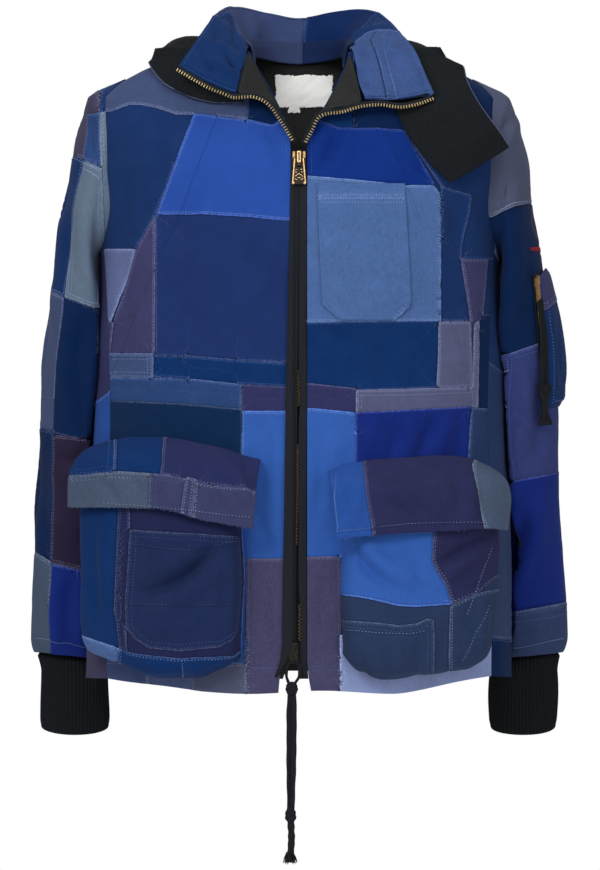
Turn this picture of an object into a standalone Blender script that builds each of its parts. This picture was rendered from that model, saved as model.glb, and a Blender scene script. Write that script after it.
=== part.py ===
"""Patched work jacket, worn form with nobody in it.

Millimetres in every table, metres in the meshes.  +Z is up, the front faces -Y and +X is the
wearer's left.  The origin lies between the shoulders, at the height of the armholes' tops.
Each cut piece of cloth is a sheet laid on a shared surface (body, sleeve or collar), thickened
outwards by Solidify.  Neighbouring sheets keep SEAM_GAP between their edges.
"""
import math

import bmesh
import bpy
import numpy as np

MM = 0.001
CLOTH = 1.6           # wall of a single cloth panel
COLLAR_WALL = 3.0     # two layers of cloth
RIB_WALL = 2.6        # knitted rib
SEAM_GAP = 0.3
LAP = 0.5             # air between a piece and the panel that it is sewn on
CURVE_LAP = 1.3       # the same on the tighter curve of a sleeve or shoulder

HEM = -617.0
UNDERARM = -178.0
SLIDER_Z = -85.0      # top slider of the main zip
CHEST_LINE = -100.0   # where panels stop being level rings and follow the shoulder
RIDGE_WIDEST = -5.0   # height of the shoulder tip

# Body, one row for each level ring: a rounded form, wider than deep, open at neck and hem.
# Columns: z, half_width, front, back, power.
BODY = np.array((
    (-617, 212, 128, 120, 2.2),
    (-520, 210, 131, 120, 2.2),
    (-400, 206, 129, 112, 2.2),
    (-300, 202, 126, 107, 2.2),
    (-200, 199, 126, 112, 2.3),
    (-140, 200, 122, 118, 2.5),
    (-90, 205, 112, 118, 2.9),
    (-50, 206, 97, 108, 3.0),
    (-25, 203, 82, 96, 3.0),
    (-17, 194, 77, 92, 2.9),
    (-5, 172, 72, 88, 2.8),
    (7, 148, 69, 84, 2.7),
    (15, 122, 65, 78, 2.5),
    (20, 95, 60, 72, 2.4),
    (23, 62, 50, 60, 2.2),
    (24, 46, 40, 48, 2.0),
), float)

# Armhole: an oval in the side plane, on the body's surface.
ARMHOLE_Z = -92.0
ARMHOLE_HALF_HEIGHT = 86.5
ARMHOLE_HALF_DEPTH = 62.0
ARMHOLE_POWER = 2.2

# Side seams, measured as depth in front of (or behind) the body's middle plane.
# Columns: z, depth.
SIDE_SEAM = np.array(((-617, 62), (-480, 60), (-355, 57), (-255, 48), (-165, 36.5)), float)

# Inner edge of each front above the slider: the line where the cloth turns back.
# Columns: z, distance from the middle.
ROLL_RIGHT = np.array(((-617, 29), (-602, 24), (-583, 13), (-560, 8.2), (-80, 8.2), (-70, 8.6),
                       (-50, 13), (-34, 19), (-14, 29), (0, 37), (12, 44), (23.5, 50)), float)
ROLL_LEFT = np.array(((-617, 12), (-602, 9.5), (-583, 8.2), (-560, 8.2), (-80, 8.2), (-70, 8.8),
                      (-50, 15), (-34, 24), (-14, 35), (0, 42), (12, 47), (23.5, 50)), float)

# Heights of the panels' rows below the armhole, shared so that neighbours' edges match.
SEAM_LEVELS = np.linspace(HEM, SIDE_SEAM[-1, 0], 10)
HEM_LEVELS = np.array((HEM, -604, -592, -580, SEAM_LEVELS[1]))

# Sleeve of the wearer's left arm, one row for each ring below the armhole.
# Columns: outer_x, outer_z, inner_x, inner_z, centre_y, half_depth.
SLEEVE = np.array((
    (196.5, -17, 203, -185, 0.5, 64.5),
    (206, -27, 205, -193, 2, 66),
    (217, -50, 204, -206, 5, 67),
    (227, -90, 202, -222, 9, 67),
    (232, -128, 199, -239, 14, 66),
    (239, -166, 193, -256, 19, 65),
    (246, -214, 186, -278, 25, 64),
    (253, -272, 179, -311, 31, 62),
    (256, -323, 172, -346, 36, 60),
    (258, -374, 168, -386, 42, 59),
    (260, -424, 167, -428, 48, 58),
    (264, -480, 168, -480, 55, 56),
    (267, -530, 173, -528, 63, 53),
    (268, -560, 179, -558, 69, 50),
    (265, -573, 186, -571, 74, 43),
    (258, -580, 192.5, -580, 77.5, 34),
    (258, -584.5, 192.5, -584.5, 77.5, 34),
), float)
ARM_CLEARANCE = 7.5   # the sleeve's inside hangs this far off the body
CUFF_TOP = -584.8
CUFF_END = -660.0
# Columns: z, outer_x, inner_x, centre_y, half_depth.
CUFF = np.array((
    (-584.8, 258, 192.5, 77.5, 34),
    (-592, 258, 192.5, 77.5, 34),
    (-635, 258, 192, 78, 33.5),
    (-660, 259, 191, 78, 34.5),
), float)

# Collar, one row a station from the front edge to the middle of the back.
# Columns: neck x, y, z, middle x, y, z, top x, y, z.
COLLAR_RIGHT = np.array((
    (-62.5, -102.6, -17.2, -87, -104, -8.4, -119.5, -98, 10.3),
    (-60, -92, -5, -86, -95, 5, -113, -86, 20),
    (-56, -79, 11, -78, -78, 23, -102, -60, 36),
    (-51, -50, 28, -68, -44, 38, -92, -27, 51),
    (-49, -10, 29.5, -62, -5, 45, -84, 5, 62),
    (-48, 25, 29.5, -56, 34, 47, -68, 50, 70),
    (-39, 51, 29, -45, 61, 47, -54, 76, 69),
    (-20, 68, 27.4, -23, 78, 45, -28, 95, 64),
    (0, 72.5, 26.5, 0, 83, 42, 0, 100, 59),
), float)
COLLAR_LEFT = np.array((
    (66, -102.6, -23, 98, -105, -24.4, 134.6, -98, -17.6),
    (61, -93, -10, 94, -98, -8, 128, -87, -3),
    (57, -80, 10, 84, -80, 18, 116, -62, 25),
    (52, -52, 27.5, 72, -46, 34, 103, -28, 41),
    (49, -10, 29.5, 64, -5, 43, 92, 5, 54),
    (48, 25, 29.5, 57, 34, 46, 76, 50, 66),
    (39, 51, 29, 46, 61, 46, 60, 76, 68),
    (20, 68, 27.4, 24, 78, 45, 31, 95, 64),
), float)

# Zip edges above the slider, where the teeth run, from the slider up to the collar's corner.
# Columns: x, y, z.
TEETH_RIGHT = np.array(((-6.5, -110, -68), (-16, -109, -52), (-22, -109, -43), (-29, -109, -33),
                        (-38, -108, -26), (-49, -106, -23), (-64, -104, -24), (-76, -104, -20),
                        (-89, -105, -15), (-102, -103, -8), (-122, -99, 4)), float)
TEETH_LEFT = np.array(((6.5, -111, -70), (14, -110, -56), (21, -110, -43), (29, -109, -40),
                       (42, -108, -38.5), (57, -105, -34), (66, -104, -32), (80, -105, -31),
                       (101, -107, -33.5), (120, -103, -30), (134, -99, -25)), float)
TAPE_WIDTH = 5.3

# Facings: strips between the roll line and the zip edge or the collar's seam.
# Columns: height on the roll line, outer x, y, z.
FACING_RIGHT = np.array((
    (-58, -12.4, -108.2, -51),
    (-50, -15.5, -108, -43.4),
    (-42, -19.5, -108, -36.2),
    (-32, -26.5, -107, -27.5),
    (-24, -36, -107, -20.6),
    (-14, -60.5, -101, -16),
    (-5, -57.5, -91, -3.5),
    (5, -53.5, -78, 10),
    (15, -49.5, -56, 23),
), float)
FACING_LEFT = np.array((
    (-58, 11, -109, -51.2),
    (-50, 16, -109.2, -43.5),
    (-42, 23, -108.2, -35.6),
    (-32, 33, -107.5, -32.8),
    (-24, 45, -106.5, -31),
    (-14, 62, -101, -25),
    (-5, 58.5, -92, -8),
    (5, 54.5, -79, 9),
    (15, 50.5, -57, 22),
), float)

# Ribbed band round the neck, below the collar; its free end hangs on the wearer's left.
# Columns: inner x, y, z, ridge x, y, z, outer x, y, z.
BAND = np.array((
    (-56, -86, -22, -56, -90, -25, -55, -88, -29),
    (-76, -80, -8, -80, -90, -15, -80, -88, -28),
    (-93, -66, 3, -104, -82, -2, -108, -82, -22),
    (-94, -44, 15, -122, -60, 12, -134, -64, -12),
    (-84, -20, 24, -122, -30, 28, -150, -34, 12),
    (-76, 5, 27, -112, 6, 38, -140, 8, 14),
    (-70, 35, 27, -100, 42, 35, -126, 48, 8),
    (-56, 64, 24.5, -76, 82, 28, -94, 92, -4),
    (-32, 83, 20, -42, 100, 22, -50, 106, -12),
    (0, 88, 18, 0, 103, 20, 0, 108, -14),
    (32, 83, 20, 42, 100, 22, 50, 106, -12),
    (56, 64, 24.5, 76, 82, 28, 94, 92, -4),
    (70, 35, 27, 100, 42, 33, 126, 48, 8),
    (76, 5, 27, 110, 6, 33, 138, 8, 14),
    (84, -20, 24, 118, -30, 28, 150, -26, 12),
    (90, -50, 9, 126, -54, 14, 164, -44, 8),
    (95, -84, -28, 132, -76, -8, 168, -64, -5),
    (105, -100, -54, 146, -98, -36, 178, -82, -26),
    (123, -109, -80, 162, -104, -62, 193, -86, -48),
    (151, -108, -108, 182, -99, -90, 210, -82, -72),
), float)

# Cargo pockets on the fronts: a bellows bag under a wide flap.
BAG_DEPTH = 40.0
# Columns: share of width, share of depth.
BAG_ACROSS = np.array(((0, 0.015), (0.012, 0.45), (0.05, 0.8), (0.14, 0.93), (0.3, 1.0), (0.5, 1.02),
                       (0.7, 1.0), (0.86, 0.93), (0.95, 0.8), (0.988, 0.45), (1, 0.015)), float)
BAG_DOWN = np.array(((0, 0.8), (0.25, 0.95), (0.5, 1.0), (0.75, 1.0), (0.9, 0.92), (0.965, 0.75),
                     (0.99, 0.42), (1, 0.015)), float)
# Columns: share of width, top z, bottom z.
BAG_RIGHT_SPAN = (-197.0, -56.0)
BAG_RIGHT_EDGES = np.array(((0, -398, -578), (0.2, -398, -588), (0.45, -398, -600),
                            (0.7, -402, -600), (0.9, -410, -588), (1, -412, -578)), float)
BAG_LEFT_SPAN = (45.0, 182.0)
BAG_LEFT_EDGES = np.array(((0, -420, -578), (0.12, -418, -596), (0.3, -416, -602),
                           (0.6, -414, -599), (0.85, -412, -590), (1, -412, -574)), float)
# Columns: share of width, top z, bottom z.
FLAP_RIGHT_SPAN = ((-193.0, -38.0), (-190.0, -41.0))
FLAP_RIGHT_EDGES = np.array(((0, -370, -434), (0.2, -362, -434), (0.45, -365, -435),
                             (0.7, -372, -446), (0.9, -382, -452), (1, -386, -455)), float)
FLAP_LEFT_SPAN = ((29.0, 183.0), (34.0, 175.0))
FLAP_LEFT_EDGES = np.array(((0, -398, -465), (0.12, -390, -463), (0.4, -384, -459),
                            (0.7, -382, -457), (0.9, -384, -455), (1, -389, -457)), float)
# Columns: share of height, distance off the body.
FLAP_RISE = np.array(((0, 3.2), (0.06, 13), (0.18, 27), (0.36, 39), (0.62, 46), (1, 49)), float)

# Columns: z, left x, right x.
CHEST_POCKET = np.array(((-109, 18, 105), (-150, 19.5, 107), (-190, 21, 109), (-230, 23, 111),
                         (-238, 32, 103), (-245, 41, 95)), float)

# Sleeve pocket: place on the sleeve as ring number and angle, from the outside (0) to the front.
SLEEVE_POCKET_RINGS = (6.6, 9.15)
SLEEVE_POCKET_ANGLES = (-80.0, 44.0)
SLEEVE_POCKET_DEPTH = 12.0
SLEEVE_TAPE_ANGLE = 47.5
SLEEVE_TAPE_WIDTH = 7.0

# Slider and tab of the main zip, in the slider's own tilted frame.
ZIP_TILT = math.radians(12.0)
SLIDER_SIZE = (13.6, 3.2, 17.0)
PIN_RADIUS = 0.9
PIN_OFF_BODY = 1.5
TAB_LENGTH = 26.0
TAB_TOP_WIDTH = 9.5
TAB_END_WIDTH = 14.0
TAB_THICKNESS = 1.6
TAB_WINDOW = (4.6, 0.9, 8.4)      # width, start and end of the opening below the pin

# Ribbon through the lower slider: points of its route, chosen by hand.
RIBBON_RADIUS = 2.0
RIBBON_LOOP = ((-10.2, -137.4, -608.1), (-12.6, -137.5, -600), (-12.0, -137.4, -592),
               (-9, -137.3, -587.4), (-5.5, -137.3, -586), (-2.2, -137.3, -587.4),
               (0.3, -137.4, -592), (0.4, -137.5, -600), (-4.2, -137.4, -608.1))
RIBBON_STRAND_RIGHT = ((-9.4, -137.4, -621.2), (-10.4, -137, -650), (-10.9, -137, -690), (-10.8, -137, -729.9))
RIBBON_STRAND_LEFT = ((-5, -137.4, -621.2), (-4.8, -137, -650), (-5.4, -137, -690), (-5.7, -137, -729.9))
RIBBON_TAIL = ((-8.2, -137, -749.1), (-7.5, -137, -765), (-8.6, -137, -778), (-9, -137, -790))
SLEEVE_RIBBON_RADIUS = 2.4

# name: (colour, roughness, metallic)
FINISHES = {
    "blue_cloth": ((0.035, 0.075, 0.30), 0.9, 0.0),
    "navy_cloth": ((0.012, 0.03, 0.10), 0.9, 0.0),
    "slate_cloth": ((0.09, 0.11, 0.24), 0.9, 0.0),
    "denim_cloth": ((0.09, 0.16, 0.38), 0.92, 0.0),
    "black_cloth": ((0.012, 0.013, 0.012), 0.9, 0.0),
    "black_rib": ((0.006, 0.008, 0.012), 0.95, 0.0),
    "white_label": ((0.72, 0.71, 0.67), 0.85, 0.0),
    "black_tape": ((0.01, 0.011, 0.014), 0.8, 0.0),
    "brass": ((0.42, 0.29, 0.13), 0.35, 1.0),
}


# ---------------------------------------------------------------- curves and surfaces

def smooth(xs, ys, at):
    """Shape-preserving cubic through the points (xs rising), read at the given places."""
    xs, ys, at = np.asarray(xs, float), np.asarray(ys, float), np.asarray(at, float)
    width = np.diff(xs)
    slope = np.diff(ys) / width
    tangent = np.zeros_like(ys)
    tangent[0], tangent[-1] = slope[0], slope[-1]
    same = slope[:-1] * slope[1:] > 0
    first = 2 * width[1:] + width[:-1]
    second = width[1:] + 2 * width[:-1]
    safe_a = np.where(same, slope[:-1], 1.0)
    safe_b = np.where(same, slope[1:], 1.0)
    tangent[1:-1] = np.where(same, (first + second) / (first / safe_a + second / safe_b), 0.0)
    at = np.clip(at, xs[0], xs[-1])
    cell = np.clip(np.searchsorted(xs, at, side="right") - 1, 0, len(xs) - 2)
    t = (at - xs[cell]) / width[cell]
    return ((1 + 2 * t) * (1 - t) ** 2 * ys[cell] + t * (1 - t) ** 2 * width[cell] * tangent[cell]
            + t * t * (3 - 2 * t) * ys[cell + 1] + t * t * (t - 1) * width[cell] * tangent[cell + 1])


def column(table, number, at):
    """One column of a table, read at values of its first column."""
    return smooth(table[:, 0], table[:, number], at)


def body_section(z, back):
    """Half width, depth and power of the body's level ring at z."""
    depth = np.where(back, column(BODY, 3, z), column(BODY, 2, z))
    return column(BODY, 1, z), depth, column(BODY, 4, z)


def body_y(x, z, side):
    """Depth coordinate of the body's surface; side is -1 in front and 1 behind."""
    half, depth, power = body_section(z, side > 0)
    rest = np.clip(1 - (np.abs(x) / half) ** power, 0, 1)
    return side * depth * rest ** (1 / power)


def body_x(y, z):
    """Half width of the body at a depth; nothing beyond its front or back."""
    half, depth, power = body_section(z, np.asarray(y) > 0)
    rest = np.clip(1 - (np.abs(y) / depth) ** power, 0, 1)
    return half * rest ** (1 / power)


def body_field(point):
    half, depth, power = body_section(point[..., 2], point[..., 1] > 0)
    return ((np.abs(point[..., 0]) / half) ** power + (np.abs(point[..., 1]) / depth) ** power)


def body_normal(point):
    """Outward unit normal of the body's surface."""
    step = 0.4
    slope = np.empty(np.shape(point))
    for axis in range(3):
        shift = np.zeros(3)
        shift[axis] = step
        slope[..., axis] = body_field(point + shift) - body_field(point - shift)
    return slope / np.linalg.norm(slope, axis=-1, keepdims=True)


def off_body(points, least):
    """The points, moved out where they lie nearer to the body's surface than the least."""
    for _ in range(4):
        normal = body_normal(points)
        step = 0.4
        rise = (body_field(points + normal * step) - body_field(points - normal * step)) / (2 * step)
        distance = (body_field(points) - 1) / rise
        points = points + normal * np.maximum(0, least - distance)[..., None]
    return points


def armhole_depth(z):
    """Half depth of the armhole at a height."""
    share = np.clip(np.abs((z - ARMHOLE_Z) / ARMHOLE_HALF_HEIGHT), 0, 1)
    return ARMHOLE_HALF_DEPTH * (1 - share ** ARMHOLE_POWER) ** (1 / ARMHOLE_POWER)


def ridge_z(x):
    """Height of the shoulder line at a distance from the middle."""
    above = BODY[BODY[:, 0] >= -25]
    return smooth(above[::-1, 1], above[::-1, 0], np.abs(x))


def lerp(a, b, t):
    return a + (b - a) * t


# ---------------------------------------------------------------- scene and mesh helpers

def clear_scene():
    for item in list(bpy.data.objects):
        bpy.data.objects.remove(item, do_unlink=True)


def collection(name):
    made = bpy.data.collections.new(name)
    bpy.context.scene.collection.children.link(made)
    return made


def finish_material(owner, finish):
    colour, roughness, metallic = FINISHES[finish]
    material = bpy.data.materials.new(owner + "_" + finish)
    material.use_nodes = True
    shader = material.node_tree.nodes["Principled BSDF"]
    shader.inputs["Base Color"].default_value = (*colour, 1)
    shader.inputs["Roughness"].default_value = roughness
    shader.inputs["Metallic"].default_value = metallic
    return material


def add_object(name, mesh, finish, into):
    made = bpy.data.objects.new(name, mesh)
    into.objects.link(made)
    made.data.materials.append(finish_material(name, finish))
    return made


def grid_mesh(name, grid, wrap=False):
    """Open quad surface over rows of points in millimetres; wrap joins last column to first."""
    rows, cols = grid.shape[:2]
    work = bmesh.new()
    corners = [[work.verts.new([float(value) * MM for value in grid[r, c]]) for c in range(cols)]
               for r in range(rows)]
    last = cols if wrap else cols - 1
    for r in range(rows - 1):
        for c in range(last):
            d = (c + 1) % cols
            work.faces.new((corners[r][c], corners[r][d], corners[r + 1][d], corners[r + 1][c]))
    mesh = bpy.data.meshes.new(name)
    work.to_mesh(mesh)
    work.free()
    return mesh


def looks_out(grid, wrap):
    """True where the grid's faces look away from its own axis, or from the body's."""
    along = grid[1:, :-1] - grid[:-1, :-1]
    around = grid[:-1, 1:] - grid[:-1, :-1]
    normal = np.cross(around, along)
    middle = (grid[1:, 1:] + grid[:-1, :-1]) / 2
    axis = middle.mean(axis=1, keepdims=True) if wrap else middle * (0, 0, 1)
    return float((normal * (middle - axis)).sum()) > 0


def cloth(name, grid, finish, into, wall=CLOTH, wrap=False):
    """A sheet of cloth: the grid is its inner side and its wall grows outwards."""
    if not looks_out(grid, wrap):
        grid = grid[:, ::-1]
    made = add_object(name, grid_mesh(name, grid, wrap), finish, into)
    made.data.shade_smooth()
    made.data.set_sharp_from_angle(angle=math.radians(50))
    solid = made.modifiers.new("wall", "SOLIDIFY")
    solid.thickness = wall * MM
    solid.offset = 1.0
    return made


# ---------------------------------------------------------------- body panels

def front_panel(name, side, roll, into):
    """A front: side is -1 for the wearer's right, 1 for the left."""
    levels = np.concatenate((HEM_LEVELS, SEAM_LEVELS[2:], (-135, CHEST_LINE)))
    cols = 10
    across = np.linspace(0, 1, cols + 1)
    rows = []
    for z in levels:
        seam = np.interp(z, SIDE_SEAM[:, 0], SIDE_SEAM[:, 1])
        edge = body_x(-seam, z) if z <= SIDE_SEAM[-1, 0] else body_x(-armhole_depth(z), z)
        x = lerp(column(roll, 1, z), edge - SEAM_GAP / 2, across)
        rows.append(np.stack((x, body_y(x, np.full_like(x, z), -1), np.full_like(x, z)), axis=1))
    top_x = lerp(50.0, float(body_x(0.0, RIDGE_WIDEST)), across)
    top_z = ridge_z(top_x)
    base = rows[-1]
    for share in (0.2, 0.4, 0.58, 0.74, 0.86, 0.94, 0.985, 1.0):
        arm_z = lerp(CHEST_LINE, RIDGE_WIDEST, share)
        roll_z = lerp(CHEST_LINE, 23.6, share)
        x = lerp(base[:, 0], top_x, share)
        z = lerp(base[:, 2], top_z, share)
        arm_x = float(body_x(-armhole_depth(arm_z), arm_z)) - SEAM_GAP / 2
        roll_x = float(column(roll, 1, roll_z))
        x = x + across * (arm_x - x[-1]) + (1 - across) * (roll_x - x[0])
        z = z + across * (arm_z - z[-1]) + (1 - across) * (roll_z - z[0])
        y = np.minimum(body_y(x, z, -1), -SEAM_GAP / 2)
        if share == 1.0:
            y = np.full_like(y, -SEAM_GAP / 2)
        rows.append(np.stack((x, y, z), axis=1))
    grid = np.array(rows)
    grid[..., 0] *= side
    cloth(name, grid, "blue_cloth", into)


def back_panel(into):
    """The back, one piece from side seam to side seam."""
    levels = np.append(SEAM_LEVELS, (-135, CHEST_LINE))
    half_cols = 10
    across = np.linspace(0, 1, half_cols + 1)
    neck = 4
    # The top edge: round the back of the neck, then along the shoulder.
    neck_x = np.array((0, 21, 40, 49, 50.5))
    neck_y = np.array((70.5, 66, 50, 25, 0.15))
    rows = []
    for z in levels:
        seam = np.interp(z, SIDE_SEAM[:, 0], SIDE_SEAM[:, 1])
        edge = body_x(seam, z) if z <= SIDE_SEAM[-1, 0] else body_x(armhole_depth(z), z)
        x = lerp(0.0, edge - SEAM_GAP / 2, across)
        rows.append(np.stack((x, body_y(x, np.full_like(x, z), 1), np.full_like(x, z)), axis=1))
    base = rows[-1]
    top_x = np.concatenate((neck_x, np.linspace(50.5, float(body_x(0.0, RIDGE_WIDEST)),
                                                half_cols - neck + 1)[1:]))
    top_y = np.concatenate((neck_y, np.full(half_cols - neck, SEAM_GAP / 2)))
    top_z = body_height(top_x, top_y)
    for share in (0.2, 0.4, 0.58, 0.74, 0.86, 0.94, 0.985, 1.0):
        arm_z = lerp(CHEST_LINE, RIDGE_WIDEST, share)
        x = lerp(base[:, 0], top_x, share)
        z = lerp(base[:, 2], top_z, share)
        arm_x = float(body_x(armhole_depth(arm_z), arm_z)) - SEAM_GAP / 2
        x = x + across * (arm_x - x[-1])
        z = z + across * (arm_z - z[-1])
        y = np.maximum(body_y(x, z, 1), SEAM_GAP / 2)
        if share == 1.0:
            y = top_y
        rows.append(np.stack((x, y, z), axis=1))
    right_half = np.array(rows)
    left_half = right_half[:, :0:-1].copy()
    left_half[..., 0] *= -1
    cloth("back", np.concatenate((left_half, right_half), axis=1), "navy_cloth", into)


def body_height(x, y):
    """Height of the body's top surface over a point, found by halving."""
    low = np.full(np.shape(x), -40.0)
    high = np.full(np.shape(x), 24.0)
    for _ in range(40):
        middle = (low + high) / 2
        inside = body_field(np.stack((x, y, middle), axis=-1)) < 1
        low = np.where(inside, middle, low)
        high = np.where(inside, high, middle)
    return low


def side_panel(name, side, into):
    """The strip under the arm, between the front and the back."""
    cols = 6
    rows = len(SEAM_LEVELS) - 1
    grid = np.empty((rows + 1, cols + 1, 3))
    for c in range(cols + 1):
        share = lerp(-1.0, 1.0, c / cols)
        depth_top = share * (36.5 - SEAM_GAP)
        reach = (abs(depth_top) / ARMHOLE_HALF_DEPTH) ** ARMHOLE_POWER
        top = ARMHOLE_Z - ARMHOLE_HALF_HEIGHT * (1 - reach) ** (1 / ARMHOLE_POWER)
        for r in range(rows + 1):
            z = lerp(HEM, top, r / rows)
            y = share * (np.interp(z, SIDE_SEAM[:, 0], SIDE_SEAM[:, 1]) - SEAM_GAP)
            grid[r, c] = (side * float(body_x(y, z)), y, z)
    cloth(name, grid, "slate_cloth", into)


# ---------------------------------------------------------------- sleeves

def sleeve_ring(number, angles):
    """Ring of the wearer's left sleeve; number 0 is the armhole and angles run to the front."""
    sine, cosine = np.sin(angles), np.cos(angles)
    rounded_sine = np.sign(sine) * np.abs(sine) ** (2 / ARMHOLE_POWER)
    rounded_cosine = np.sign(cosine) * np.abs(cosine) ** (2 / ARMHOLE_POWER)
    if number == 0:
        y = -ARMHOLE_HALF_DEPTH * rounded_sine
        z = ARMHOLE_Z + ARMHOLE_HALF_HEIGHT * rounded_cosine
        rim = np.stack((body_x(y, z), y, z), axis=1)
        shoulder = (1 + cosine) / 2
        away = CLOTH + CURVE_LAP * (0.6 + 2.2 * shoulder) + CLOTH * (1 - shoulder)
        return rim + body_normal(rim) * away[:, None]
    steps = np.arange(1, len(SLEEVE) + 1)
    row = [smooth(steps, SLEEVE[:, c], number) for c in range(SLEEVE.shape[1])]
    outer_x, outer_z, inner_x, inner_z, centre_y, half_depth = row
    x = (outer_x + inner_x) / 2 + (outer_x - inner_x) / 2 * rounded_cosine
    z = (outer_z + inner_z) / 2 + (outer_z - inner_z) / 2 * rounded_cosine
    y = centre_y - half_depth * rounded_sine
    x = np.maximum(x, body_x(y, z) + ARM_CLEARANCE)
    return np.stack((x, y, z), axis=1)


def sleeve_surface(number, angle):
    """Point and outward normal of the left sleeve."""
    step = 0.05
    turn = math.radians(3)

    def at(n, a):
        return sleeve_ring(n, np.array([a]))[0]

    along = at(number + step, angle) - at(number - step, angle)
    around = at(number, angle + turn) - at(number, angle - turn)
    normal = np.cross(around, along)
    return at(number, angle), normal / np.linalg.norm(normal)


def sleeve(name, side, into):
    angles = np.linspace(0, 2 * math.pi, 20, endpoint=False)
    grid = np.array([sleeve_ring(n, angles) for n in range(len(SLEEVE) + 1)])
    grid[..., 0] *= side
    cloth(name, grid, "navy_cloth", into, wrap=True)


def cuff(name, side, into):
    angles = np.linspace(0, 2 * math.pi, 20, endpoint=False)
    rows = []
    for z, outer_x, inner_x, centre_y, half_depth in CUFF:
        x = (outer_x + inner_x) / 2 + (outer_x - inner_x) / 2 * np.cos(angles)
        y = centre_y - half_depth * np.sin(angles)
        rows.append(np.stack((side * x, y, np.full_like(x, z)), axis=1))
    cloth(name, np.array(rows), "black_rib", into, wall=RIB_WALL, wrap=True)


def sleeve_pocket(into):
    """A low bellows pocket on the outside of the wearer's left sleeve."""
    rise = np.array((0.08, 0.7, 0.97, 1.0, 0.97, 0.7, 0.08))
    height = np.array((0.08, 0.6, 0.9, 1.0, 0.9, 0.08))
    rings = lerp(SLEEVE_POCKET_RINGS[0], SLEEVE_POCKET_RINGS[1],
                 np.array((0, 0.06, 0.3, 0.65, 0.92, 1.0)))
    turns = np.radians(lerp(SLEEVE_POCKET_ANGLES[0], SLEEVE_POCKET_ANGLES[1],
                            np.array((0, 0.05, 0.25, 0.5, 0.75, 0.95, 1.0))))
    grid = np.empty((len(rings), len(turns), 3))
    for r, ring in enumerate(rings):
        for c, turn in enumerate(turns):
            point, normal = sleeve_surface(ring, turn)
            lift = CLOTH + CURVE_LAP + SLEEVE_POCKET_DEPTH * rise[c] * height[r]
            grid[r, c] = point + normal * lift
    cloth("sleeve_pocket", grid, "slate_cloth", into, wall=1.2)


def sleeve_strip(name, rings, angle, width, lift, wall, finish, into, steps=6):
    """A strip laid along the left sleeve at an angle, such as the pocket's zip tape."""
    grid = np.empty((steps + 1, 3, 3))
    for r in range(steps + 1):
        ring = lerp(rings[0], rings[1], r / steps)
        for c in range(3):
            point, normal = sleeve_surface(ring, math.radians(angle))
            side_step, _ = sleeve_surface(ring, math.radians(angle + 2))
            across = (side_step - point) / np.linalg.norm(side_step - point)
            grid[r, c] = point + across * width * (c - 1) / 2 + normal * lift
    return cloth(name, grid, finish, into, wall=wall)


# ---------------------------------------------------------------- collar, facings, band

def collar(into):
    stations = np.concatenate((COLLAR_RIGHT, COLLAR_LEFT[::-1]))
    rows = []
    for share in (0, 0.33, 0.67, 1.0):
        neck, middle, top = stations[:, 0:3], stations[:, 3:6], stations[:, 6:9]
        handle = 2 * middle - (neck + top) / 2
        rows.append((1 - share) ** 2 * neck + 2 * share * (1 - share) * handle + share ** 2 * top)
    cloth("collar", np.array(rows), "denim_cloth", into, wall=COLLAR_WALL)


def facing(name, table, roll_line, side, into):
    """Turned-back inside of a front, from its roll line out to the zip or the collar."""
    z = table[:, 0]
    x = column(roll_line, 1, z) + LAP
    y = body_y(x, z, -1) - CLOTH - CURVE_LAP
    roll, outer = np.stack((side * x, y, z), axis=1), table[:, 1:4]
    grid = np.stack([lerp(roll, outer, share) + (0, -1.2 * share * (1 - share) * 4, 0)
                     for share in (0, 0.5, 1)], axis=1)
    cloth(name, grid, "black_cloth", into, wall=1.2)


def rib_band(into):
    rows = []
    for share in (0, 0.25, 0.5, 0.75, 1.0):
        inner, ridge, outer = BAND[:, 0:3], BAND[:, 3:6], BAND[:, 6:9]
        handle = 2 * ridge - (inner + outer) / 2
        rows.append((1 - share) ** 2 * inner + 2 * share * (1 - share) * handle + share ** 2 * outer)
    cloth("rib_band", off_body(np.array(rows), CLOTH + 2 * CURVE_LAP), "black_rib", into, wall=RIB_WALL)


# ---------------------------------------------------------------- pockets on the fronts

def lifted(x, z, off):
    """Point over the body's front at an outward distance."""
    point = np.stack((x, body_y(x, z, -1), z), axis=-1)
    return point + body_normal(point) * np.asarray(off)[..., None]


def bag(name, span, edges, into):
    across, depth_across = BAG_ACROSS[:, 0], BAG_ACROSS[:, 1]
    down, depth_down = BAG_DOWN[:, 0], BAG_DOWN[:, 1]
    x = np.tile(lerp(span[0], span[1], across), (len(down), 1))
    top = smooth(edges[:, 0], edges[:, 1], across)
    bottom = smooth(edges[:, 0], edges[:, 2], across)
    z = top[None, :] + (bottom - top)[None, :] * down[:, None]
    off = CLOTH + LAP + BAG_DEPTH * depth_down[:, None] * depth_across[None, :]
    cloth(name, lifted(x, z, off), "navy_cloth", into, wall=1.4)


def flap(name, spans, edges, into):
    across = np.linspace(0, 1, 9)
    down, rise = FLAP_RISE[:, 0], FLAP_RISE[:, 1]
    left = lerp(spans[0][0], spans[1][0], down)
    right = lerp(spans[0][1], spans[1][1], down)
    x = left[:, None] + (right - left)[:, None] * across[None, :]
    top = smooth(edges[:, 0], edges[:, 1], across)
    bottom = smooth(edges[:, 0], edges[:, 2], across)
    z = top[None, :] + (bottom - top)[None, :] * down[:, None]
    off = np.tile(rise[:, None], (1, len(across)))
    cloth(name, lifted(x, z, off), "slate_cloth", into, wall=1.8)


def chest_pocket(into):
    across = np.linspace(0, 1, 6)
    rows = []
    for z, left, right in CHEST_POCKET:
        x = lerp(left, right, across)
        rows.append(lifted(x, np.full_like(x, z), np.full_like(x, CLOTH + CURVE_LAP)))
    cloth("chest_pocket", np.array(rows), "denim_cloth", into, wall=1.2)


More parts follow.
